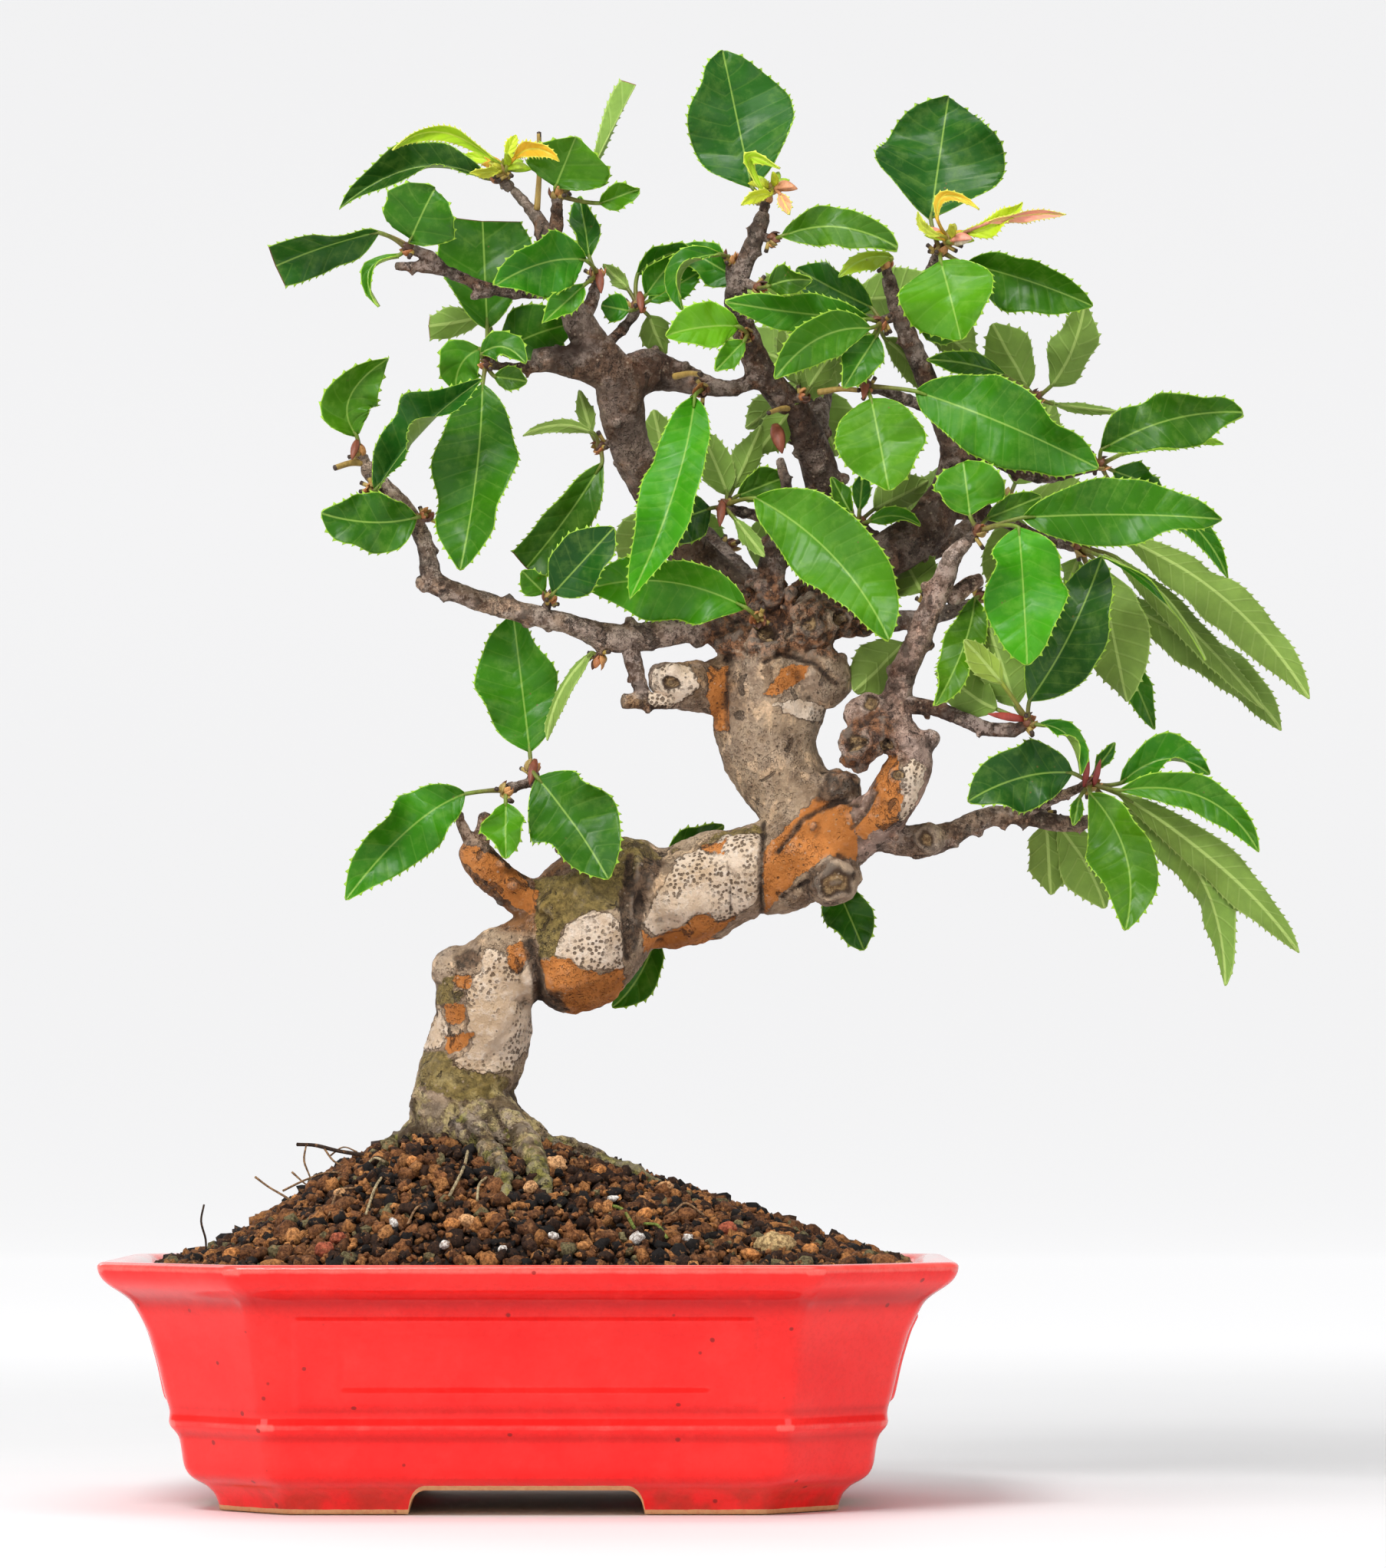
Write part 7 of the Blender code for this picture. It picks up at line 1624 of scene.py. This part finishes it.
def wood_tree(parts):
    """Centre line samples of the wood, to find what limb a place belongs to."""
    rows = []
    for name, stations in parts.items():
        along = 0.0
        last = None
        for station in dense(stations, 0.6):
            along += 0.0 if last is None else float(np.linalg.norm(station[:3] - last[:3]))
            rows.append((Vector(station[:3]), max(0.8, float(station[3])), name, along))
            last = station
    for u, w, y, radius in KNOTS:
        rows.append((in_space((u, w, y)), radius, "trunk", 0.0))
    near = kdtree.KDTree(len(rows))
    for i, row in enumerate(rows):
        near.insert(row[0], i)
    near.balance()
    _, radii, names, alongs = zip(*rows)
    return {"near": near, "radius": radii, "name": names, "along": alongs}


def owner(tree, place):
    """The sample whose surface lies nearest to a place, among the near centre line samples."""
    best = None
    for _, index, away in tree["near"].find_n(place, NEAR_SAMPLES):
        outside = away / tree["radius"][index]
        if best is None or outside < best[0]:
            best = (outside, index)
    return best[1]


def line_distance(line, us, ws):
    """How far in mm readings lie from a row of points."""
    away = np.full(len(us), 1e3)
    for (au, aw), (bu, bw) in zip(line, line[1:]):
        run_u, run_w = bu - au, bw - aw
        share = np.clip(((us - au) * run_u + (ws - aw) * run_w) / (run_u**2 + run_w**2), 0, 1)
        away = np.minimum(away, np.hypot(us - au - share * run_u, ws - aw - share * run_w))
    return away


def patch_depth(outlines, us, ws):
    """How deep in mm readings lie inside the nearest outline, negative outside all of them."""
    deepest = np.full(len(us), -30.0)
    for outline in outlines:
        closed = outline + outline[:1]
        inside = np.zeros(len(us), dtype=bool)
        for (au, aw), (bu, bw) in zip(closed, closed[1:]):
            if aw != bw:
                crosses = (aw > ws) != (bw > ws)
                inside ^= crosses & (us < au + (ws - aw) * (bu - au) / (bw - aw))
        away = line_distance(closed, us, ws)
        deepest = np.maximum(deepest, np.where(inside, away, -away))
    return deepest


def limb_color(name):
    return next(color for start, color in LIMB_COLORS if name.startswith(start))


def bark_relief(place, girth):
    """Lumps, plates and pores of the bark in mm, larger on thicker wood."""
    lumps = noise.noise(place * 0.11) * 0.9 * girth
    folds = noise.noise(Vector((place.x * 0.35, place.y * 0.35, place.z * 0.16))) * 0.42 * girth
    fine = noise.noise(place * 0.8) * (0.16 + 0.10 * girth) + noise.noise(place * 0.35) * 0.22
    return lumps + folds + fine


def ring_scar(along, radius):
    """Depth of the growth rings round a twig at a place along it."""
    spot = noise.noise(Vector((along * 0.55, radius, 4.0)))
    return smooth_step((spot - 0.28) / 0.18)


def fuse(piece, voxel):
    """Fuses a piece's tubes to one skin."""
    remesh = piece.modifiers.new("Fuse", "REMESH")
    remesh.mode = "VOXEL"
    remesh.voxel_size = voxel * MM
    remesh.use_smooth_shade = True
    soften = piece.modifiers.new("Soften", "SMOOTH")
    soften.factor = 0.5
    soften.iterations = 2
    apply_modifiers(piece)


def make_wood_piece(name, parts, voxel, tree, bark, replaced):
    """One piece of the wood, fused from the tubes of its parts."""
    skin = Skin()
    for i, stations in enumerate(parts.values()):
        widest = max(station[3] for station in stations)
        sides = next(count for least, count in TUBE_SIDES if widest > least)
        skin.add(*tube(dense(stations, 1.0), sides, 0.10, i * 3.1))
    if replaced:
        ball, faces = unit_ball(3)
        for u, w, y, radius in KNOTS:
            centre = in_space((u, w, y))
            skin.add([centre + point * radius for point in ball], faces)
    piece = make_piece(name, skin, [], "bark", *replaced)
    fuse(piece, voxel)
    piece.data.materials.clear()
    piece.data.materials.append(bark)
    shape_bark(piece.data, tree)


def bark_fields(places, radius, front):
    """Depths in the bark's patches and wounds, depth of its creases, and height of each place in the view."""
    us, ws = np.array([read_off(*place) for place in places]).T
    wild = noise_at(places, 0.05) * 18.0
    hidden = 20.0 * (1 - front)
    behind = np.where(radius > 4.5, 0.0, -20.0) - 20.0 * front
    crease = np.zeros(len(us))
    for width, depth, line in CREASES:
        crease = np.maximum(crease, depth * np.exp(-((line_distance(line, us, ws) / width) ** 2)))
    warp = 0.45 * noise_at(places, 0.32)
    scar = 1.5 + warp
    for u, w, reach in RING_WOUNDS:
        scar = np.minimum(scar, np.hypot(us - u, (ws - w) * 1.2) / reach + warp + hidden)
    fields = {
        "cream": np.maximum(patch_depth(CREAM_BARK, us, ws) - hidden, wild - 2.0 + behind),
        "orange": np.maximum(patch_depth(ORANGE_BARK, us, ws) - hidden, -wild - 5.0 + behind),
        "olive": patch_depth(OLIVE_BARK, us, ws) - 0.3 * hidden,
        # The creases are darkened too: painted shade in them.
        "dark": np.maximum(patch_depth(DARK_BARK, us, ws) - hidden, crease * 2.0 - 1.0),
        "knobbly": np.clip(patch_depth(KNOBBLY_BARK, us, ws) / 2.0, 0, 1),
        "scar": scar,
    }
    return fields, crease, ws


def shape_bark(mesh, tree):
    """Moves the skin's points by the relief of the bark, and gives each the values of its colours."""
    places = [(vert.co - Vector(ORIGIN)) / MM for vert in mesh.vertices]
    owners = [owner(tree, place) for place in places]
    radius = np.array([tree["radius"][index] for index in owners])
    girth = np.clip((radius - 1.5) / 6.0, 0, 1)
    rings = np.array([ring_scar(tree["along"][index], tree["radius"][index]) for index in owners])
    rings = rings * (1 - girth)
    facing = np.array([vert.normal.y for vert in mesh.vertices])
    fields, crease, heights = bark_fields(places, radius, np.clip((0.45 - facing) / 0.4, 0, 1))
    scar = fields["scar"]
    lumps = noise_at(places, 0.30) + 0.6 * noise_at(places, 0.62)
    push = np.array([bark_relief(place, share) for place, share in zip(places, girth)])
    push += (1.5 * fields["knobbly"] + 0.8 * np.clip((92.0 - heights) / 6.0, 0, 1)) * lumps
    push += 0.22 * np.clip(fields["cream"] + 0.5, 0, 1) - 0.15 * np.clip(fields["orange"] + 0.5, 0, 1)
    push += 0.16 * rings - crease + 0.5 * np.exp(-(((scar - 0.85) / 0.2) ** 2))
    push -= 0.7 * np.exp(-(((scar - 0.45) / 0.22) ** 2)) * (scar < 1.4)
    normals = np.array([vert.normal for vert in mesh.vertices])
    moved = np.array([vert.co for vert in mesh.vertices]) + (push * MM)[:, None] * normals
    mesh.vertices.foreach_set("co", moved.astype(np.float32).ravel())
    normals = np.array([vert.normal for vert in mesh.vertices])
    # How far each point lies below its softened neighbours: drives the painted shade in hollows and the
    # painted highlight on ridges.
    fields["pit"] = np.sum((soften_values(mesh, moved) - moved) * normals, axis=1) / MM
    fields["base"] = soften_values(mesh, [limb_color(tree["name"][index]) for index in owners])
    fields["moss"] = [6.0 - (place.z - 74.0) * 0.9 for place in places]
    for key, row in {**fields, "girth": girth, "rings": rings}.items():
        set_values(mesh, key, row)
    mesh.update()


def soften_values(mesh, row):
    """Blends each point's value with its neighbours' over a few rounds."""
    values = np.array(row, dtype=float)
    edges = np.empty(len(mesh.edges) * 2, dtype=np.int64)
    mesh.edges.foreach_get("vertices", edges)
    edges = edges.reshape(-1, 2)
    count = np.bincount(edges.ravel(), minlength=len(values)).astype(float)[:, None]
    for _ in range(SOFTEN_ROUNDS):
        total = np.zeros_like(values)
        np.add.at(total, edges[:, 0], values[edges[:, 1]])
        np.add.at(total, edges[:, 1], values[edges[:, 0]])
        values = (values + total / count) / 2
    return values


def make_wood(bark, parts, tree):
    thick = {}
    thin = {}
    for name, stations in parts.items():
        limb = name[5:].rsplit("_", 1)[0] if name.startswith("stub_") else name
        widest = max(station[3] for station in parts[limb])
        (thick if widest > THICK_LIMB else thin)[name] = stations
    make_wood_piece("bark_trunk", thick, TRUNK_VOXEL, tree, bark, ("wood",))
    make_wood_piece("bark_twigs", thin, TWIG_VOXEL, tree, bark, ())


# Leaves


def unit_rows(rows):
    return rows / np.linalg.norm(rows, axis=1)[:, None]


def blade_frames(row, ts):
    """(centre, ahead, side, up) of the blade at each of the shares of its length."""
    start = np.array(in_space(row["base"]))
    end = np.array(in_space(row["tip"]))
    du, dw, dy = row["bend"]
    pull = (start + end) / 2 + np.array((du, dy, dw)) * 2
    t = ts[:, None]
    centre = start * (1 - t) ** 2 + pull * (2 * t * (1 - t)) + end * t**2
    ahead = unit_rows((pull - start) * (1 - t) + (end - pull) * t)
    to_eye = unit_rows(np.array((EYE_X, -EYE_DISTANCE, EYE_Z)) - centre)
    facing = unit_rows(to_eye - ahead * np.sum(to_eye * ahead, axis=1)[:, None])
    beside = np.cross(ahead, facing)
    roll = math.radians(row["roll"])
    up = facing * math.cos(roll) + beside * math.sin(roll)
    return centre, ahead, np.cross(ahead, up), up


def blade_share(t):
    """The blade's half width at t along it, as a share of the widest."""
    return np.sin(math.pi * np.clip(t, 0.0, 1.0) ** 0.92) ** 0.72


def blade_faces(count):
    """Faces of a blade's upper side, underside and rim, and the material of each."""
    wide = len(COLUMNS)
    lower = wide * count
    faces, kinds = [], []
    for c in range(wide - 1):
        for k in range(count - 1):
            a, b = c * count + k, (c + 1) * count + k
            faces += [(a, b, b + 1, a + 1), (lower + a, lower + a + 1, lower + b + 1, lower + b)]
            kinds += [0, 1]
    last = (wide - 1) * count
    rim = [(k, k + 1, False) for k in range(count - 1)]
    rim += [(last + k, last + k + 1, True) for k in range(count - 1)]
    rim += [(c * count, (c + 1) * count, True) for c in range(wide - 1)]
    rim += [((c + 1) * count - 1, (c + 2) * count - 1, False) for c in range(wide - 1)]
    for a, b, turned in rim:
        quad = (a, b, lower + b, lower + a)
        faces.append(quad[::-1] if turned else quad)
        kinds.append(0)
    return faces, kinds


def add_blade(skin, row, tint, young):
    """One blade with toothed edges, veins pressed in, and a closed thickness."""
    start = np.array(in_space(row["base"]))
    length = float(np.linalg.norm(np.array(in_space(row["tip"])) - start)) * row["cut"]
    pitch = YOUNG_TOOTH_PITCH if young else TOOTH_PITCH
    teeth = max(5, round(length / pitch))
    count = teeth * 3 + 1
    ts = [(k + shift) / teeth for k in range(teeth) for shift in TOOTH_STATIONS]
    ts = np.array(ts + [1.0]) * row["cut"]
    centre, ahead, side, up = blade_frames(row, ts)
    width = np.maximum(row["half_width"] * blade_share(ts), 0.5 * (1 - ts) + 0.12 * ts)
    fold = math.radians(row["fold"] * 1.5)
    cycle = np.arange(count) % 3
    grown = np.minimum(1.0, width / 3.0) * (1.6 if young else 1.0)
    reach = np.choose(cycle, (0.0, 0.05, 1.0)) * TOOTH_REACH * grown
    forward = np.choose(cycle, (0.0, 0.0, 0.28)) * pitch * grown
    seed = random.uniform(0, 100)
    veins = max(3.0, length / VEIN_PITCH)
    lean = random.uniform(-0.07, 0.07)
    curl = random.uniform(-0.3, 1.0) * 0.05 * length
    centre = centre - up * (curl * (2 * ts - 1.0) ** 2 - curl * 0.4)[:, None]
    sway = np.array([noise.noise(Vector((t * 2.2, seed, 1.0))) for t in ts])
    side = unit_rows(side + up * (sway * 1.15 * np.minimum(1.0, ts * 3))[:, None])
    up = np.cross(side, ahead)
    top, under, across, edge, phase = [], [], [], [], []
    for share in COLUMNS:
        out = abs(share)
        left = share < 0
        half = 1.0 if left else 2.0
        ripple = np.array([noise.noise(Vector((t * length * 0.13, seed, half))) for t in ts])
        swell = np.array([noise.noise(Vector((t * 4.0, seed, half * 3))) for t in ts])
        lift = row["wave"] * np.sin(9.0 * ts + (0.0 if left else 2.0)) * out**1.5
        lift = lift + ripple * out**1.6 * np.minimum(3.4, width * 0.6)
        lift = lift + math.sin(fold) * width * (out**1.4)
        phases = ts * veins - out * 1.1 + (0.5 if left else 0.0)
        quilt = 0.05 * np.cos(2 * math.pi * (phases - 0.5)) * np.minimum(1.0, out * 4) * (1 - out**4)
        lift = lift - quilt - 0.16 * max(0.0, 1 - out * 5)
        uneven = 1.0 + 0.20 * swell + lean * (-1 if left else 1)
        spread = math.cos(fold) * width * share * uneven
        point = centre + side * spread[:, None] + up * lift[:, None]
        if out == 1.0:
            point = point + side * (reach * share)[:, None] + ahead * forward[:, None]
        thick = BLADE_THICKNESS * (0.5 if out == 1.0 else 1.0)
        rib = 0.3 * max(0.0, 1 - out * 5) * (1 - 0.7 * ts)
        top.append(point + up * thick / 2)
        under.append(point - up * (thick / 2 + rib)[:, None])
        across.append(width * share)
        edge.append(width * (1 - out) if out < 1.0 else -reach)
        phase.append(phases)
    wound = np.zeros(count)
    wound[-1] = float(row["cut"] < 1.0)
    values = {
        "across": np.concatenate(across * 2).tolist(),
        "edge": np.concatenate(edge * 2).tolist(),
        "phase": np.concatenate(phase * 2).tolist(),
        "wound": np.tile(wound, len(COLUMNS) * 2).tolist(),
    }
    points = np.clip(np.concatenate(top + under), INSIDE[0], INSIDE[1])
    faces, kinds = blade_faces(count)
    skin.add(points.tolist(), faces, kinds, tint=tint, **values)


def add_stalk(skin, hub, row, tint, radius):
    """The leaf stalk, from inside the bud to under the start of the midrib."""
    centre, ahead, _, up = blade_frames(row, np.array([0.0, 0.06]))
    start = Vector(centre[0])
    ahead = Vector(ahead[0])
    gap = (start - hub).length
    bend = (start + hub) / 2 * 0.6 + (start - ahead * gap * 0.45) * 0.4
    stations = []
    for t in np.linspace(0, 1, STALK_ROWS).tolist():
        place = hub * (1 - t) ** 2 + bend * 2 * t * (1 - t) + start * t**2
        stations.append((*place, radius * (1.35 - 0.45 * min(1.0, t * 2.2))))
    tip = Vector(centre[1]) - Vector(up[1]) * 0.25
    stations.append((*tip, radius * 0.55))
    points, faces = tube(stations, STALK_SIDES)
    colors = []
    for i in range(len(points)):
        share = min(1.0, (i // STALK_SIDES) / STALK_ROWS)
        colors.append(tuple(a * (1 - share) + b * share for a, b in zip(STALK_FOOT, tint)))
    skin.add(points, faces, STALK_KIND, tint=colors, **NO_VEINS, wound=0.0)


def add_scale(skin, base, tip, half_width, color, up):
    """A small cupped bud scale."""
    ahead = tip - base
    side = ahead.cross(up).normalized()
    rise = side.cross(ahead).normalized()
    points = []
    for i in range(SCALE_ROWS):
        t = i / (SCALE_ROWS - 1)
        wide = half_width * math.sin(math.pi * (0.12 + 0.86 * t)) ** 0.8
        centre = base + ahead * t + rise * (math.sin(math.pi * t) * half_width * 0.5)
        for turn in range(SCALE_SIDES):
            angle = math.pi * 2 * turn / SCALE_SIDES
            points.append(centre + side * wide * math.cos(angle) + rise * wide * 0.42 * math.sin(angle))
    faces = closed_faces(SCALE_ROWS, SCALE_SIDES)
    skin.add(points, faces, STALK_KIND, tint=color, **NO_VEINS, wound=0.0)


def add_cut_stalk(skin, stations, sides, dark, color):
    """An old leaf stalk, whose last points are dark where it was cut."""
    points, faces = tube(stations, sides)
    wound = [0.0] * (len(points) - dark) + [1.0] * dark
    skin.add(points, faces, STALK_KIND, tint=color, **NO_VEINS, wound=wound)


def add_bud(skin, hub, away, young):
    """Overlapping bud scales and old leaf stalk ends round the point that a spray grows from."""
    across = away.orthogonal().normalized()
    for k in range(BUD_SCALES):
        out = Matrix.Rotation(k * GOLDEN_TURN, 3, away) @ across
        rise = random.uniform(-0.6, 0.5)
        base = hub + away * (rise - 1.0) + out * 0.4
        tip = hub + away * (rise + random.uniform(1.0, 1.9)) + out * random.uniform(0.7, 1.9)
        color = YOUNG_BUD_COLOR if young and k % 2 else BUD_COLORS[k % len(BUD_COLORS)]
        add_scale(skin, base, tip, random.uniform(0.7, 1.0), color, out)
    for _ in range(BUD_STALKS):
        out = Matrix.Rotation(random.uniform(0, 6.28), 3, away) @ across
        start = hub - away * random.uniform(0.4, 1.6)
        end = start + out * random.uniform(2.2, 3.8) + away * random.uniform(-0.6, 1.4)
        stations = [(*start, 0.55), (*((start + end) / 2), 0.48), (*end, 0.5)]
        add_cut_stalk(skin, stations, 7, 9, (0.50, 0.36, 0.09))


def add_leaflets(skin, hub, colors):
    """A tuft of half-open leaflets round a young shoot."""
    for k in range(LEAFLETS):
        turn = k * GOLDEN_TURN + 0.5
        out = Vector((math.cos(turn), 0.6 * math.sin(turn), 0.45 - 0.25 * (k % 3)))
        base = hub + out * 0.8
        tip = base + out.normalized() * (3.6 + 1.1 * (k % 4))
        add_scale(skin, base, tip, 1.0 + 0.2 * (k % 3), colors[k % len(colors)], Vector((0.2, -1, 0.5)))


def leaf_tint(spray, index):
    """The colour of one leaf's upper side."""
    if spray in YOUNG:
        colors = YOUNG_COLORS[spray]
        return colors[index % len(colors)]
    tones = [name for name, leaves in LEAF_TONES.items() if (spray, index) in leaves]
    shade = random.uniform(0.72, 1.4)
    warm = random.uniform(0.75, 1.5)
    red, green, blue = GREENS[tones[-1] if tones else "mid"]
    return red * shade * warm, green * shade, blue * shade


def make_sprays(materials, young_materials, parts):
    random.seed(23)
    grown = {name: rows for name, rows in parts.items() if not name.startswith(("spur", "stub"))}
    for spray, (reading, rows) in SPRAYS.items():
        young = spray in YOUNG
        hub = in_space(reading)
        near, _ = nearest_on(grown, hub)
        skin = Skin()
        for index, row in enumerate(rows + FILLING_LEAVES.get(spray, [])):
            tint = leaf_tint(spray, index)
            add_blade(skin, row, tint, young)
            stalk = tint if young else [channel * 0.5 + extra for channel, extra in zip(tint, STALK_WASH)]
            add_stalk(skin, hub, row, stalk, STALK_RADIUS * (0.85 if young else 1.0))
        add_bud(skin, hub, (hub - near).normalized(), young)
        if young:
            add_leaflets(skin, hub, YOUNG_COLORS[spray])
        looks, slot = (young_materials, "young_leaf") if young else (materials, "leaf_green")
        make_piece("leaves_" + spray, skin, looks, slot, spray)


def make_trim(stalk):
    """Cut leaf stalks and long bud scales, in one material."""
    skin = Skin()
    for start, end, radius in CUT_STALKS:
        a, b = in_space(start), in_space(end)
        middle = (a + b) / 2 + Vector((0.3, 0.2, 0.5))
        stations = dense([(*a, radius * 1.3), (*middle, radius), (*b, radius * 0.9)], 0.7)
        add_cut_stalk(skin, stations, 8, 12, (0.45, 0.30, 0.08))
    for base, tip, half_width, color in SCALES:
        add_scale(skin, in_space(base), in_space(tip), half_width, color, Vector((0, -1, 0)))
    skin.kinds = [0] * len(skin.faces)
    make_piece("bud_scales", skin, [stalk], "young_leaf")


# Stage


def make_stage():
    """A pale floor that sweeps up, far behind, to a pale backdrop with a soft glow of its own."""
    rows = [(y, 0.0, FLOOR_HALF) for y in (-FLOOR_HALF, 0.1, 0.5, 1.2)]
    for turn in np.linspace(0, math.pi / 2, 14):
        y = SWEEP_Y + SWEEP_RADIUS * math.sin(turn)
        rows.append((y, SWEEP_RADIUS * (1 - math.cos(turn)), STAGE_HALF))
    rows.append((SWEEP_Y + SWEEP_RADIUS, BACKDROP_HEIGHT, STAGE_HALF))
    points = [(x / MM, y / MM, z / MM) for y, z, half in rows for x in (-half, half)]
    skin = Skin()
    skin.add(points, [(2 * i, 2 * i + 1, 2 * i + 3, 2 * i + 2) for i in range(len(rows) - 1)])
    look = Shader("studio_floor", 0.6, 0.2)
    pale = look.mix(look.noise(6, 3), (0.76, 0.755, 0.76), (0.82, 0.815, 0.82))
    away = look.step(look.along("Y"), 0.10, 1.0)
    glow = look.mix(look.step(look.along("Z"), 0.0, 0.9), GLOW_LOW, GLOW_HIGH)
    look.feed(look.surface["Emission Color"], look.mix(away, (0.0, 0.0, 0.0), glow))
    look.surface["Emission Strength"].default_value = 1.0
    color = look.mix(away, pale, (0.20, 0.20, 0.202))
    floor = in_scene("studio_floor", make_mesh("studio_floor", skin))
    floor.data.materials.append(look.finish(color, 0.6, look.bump(look.noise(400, 3), 0.05, 0.2)))
    floor.location.z = -0.0002


def add_light(name, place, size, power):
    """A soft light that is aimed at the middle of the tree."""
    data = bpy.data.lights.new(name, "AREA")
    data.shape = "RECTANGLE"
    data.size, data.size_y = size
    data.energy = power
    light = in_scene(name, data)
    light.location = place
    aim = Vector((ORIGIN[0] + 0.03, 0.0, 0.15)) - Vector(place)
    light.rotation_euler = aim.to_track_quat("-Z", "Y").to_euler()


def make_lights():
    add_light("key", (ORIGIN[0] - 0.30, -0.85, 1.05), (0.45, 0.32), 11.5)
    add_light("soft_top", (ORIGIN[0], -0.25, 1.30), (1.1, 0.7), 7.0)
    add_light("soft_left", (-1.1, -0.85, 0.45), (0.7, 0.9), 5.5)
    add_light("soft_right", (1.15, -0.85, 0.40), (0.7, 0.9), 4.2)
    add_light("back_left", (-0.9, 0.9, 0.8), (0.7, 0.7), 3.0)
    world = bpy.data.worlds.new("studio_air")
    world.use_nodes = True
    air = world.node_tree.nodes["Background"].inputs
    air["Color"].default_value = (1.0, 1.0, 1.0, 1.0)
    air["Strength"].default_value = AIR_LIGHT
    bpy.context.scene.world = world


def make_camera():
    data = bpy.data.cameras.new("front_view")
    data.lens = EYE_LENS
    data.sensor_width = EYE_SENSOR
    data.clip_start = 0.05
    data.clip_end = 20.0
    camera = in_scene("front_view", data)
    camera.location = Vector((EYE_X, -EYE_DISTANCE, EYE_Z)) * MM + Vector(ORIGIN)
    camera.rotation_euler = (math.radians(90.0 + EYE_PITCH), 0.0, 0.0)
    bpy.context.scene.camera = camera


def set_color_look():
    view = bpy.context.scene.view_settings
    view.view_transform = "Standard"
    view.look = "None"
    view.exposure = 0.0
    view.gamma = 1.0


def main():
    make_camera()
    set_color_look()
    parts = wood_parts()
    tree = wood_tree(parts)
    make_pot(glaze_material())
    make_soil_mound(soil_material("soil_body", ""))
    grains = soil_material("granular_soil", "tint")
    make_grains(grains, tree)
    make_chips(grains)
    make_wood(bark_material(), parts, tree)
    stalk = stalk_material()
    leaves = [
        leaf_top_material("leaf_top", 0.34, (0.36, 0.55, 0.10), (0.40, 0.64, 0.06)),
        leaf_under_material("leaf_under", 0.70, (0.270, 0.390, 0.075), (0.44, 0.58, 0.16)),
        stalk,
    ]
    young = [
        leaf_top_material("young_top", 0.40, (0.66, 0.76, 0.10), (0.70, 0.74, 0.10)),
        leaf_under_material("young_under", 0.35, (0.56, 0.64, 0.08), (0.66, 0.70, 0.14)),
        stalk,
    ]
    make_sprays(leaves, young, parts)
    make_trim(stalk)
    net = net_material()
    for side in ("left", "right"):
        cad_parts["drainage_mesh_" + side].material_slots[0].material = net
    make_stage()
    make_lights()


main()
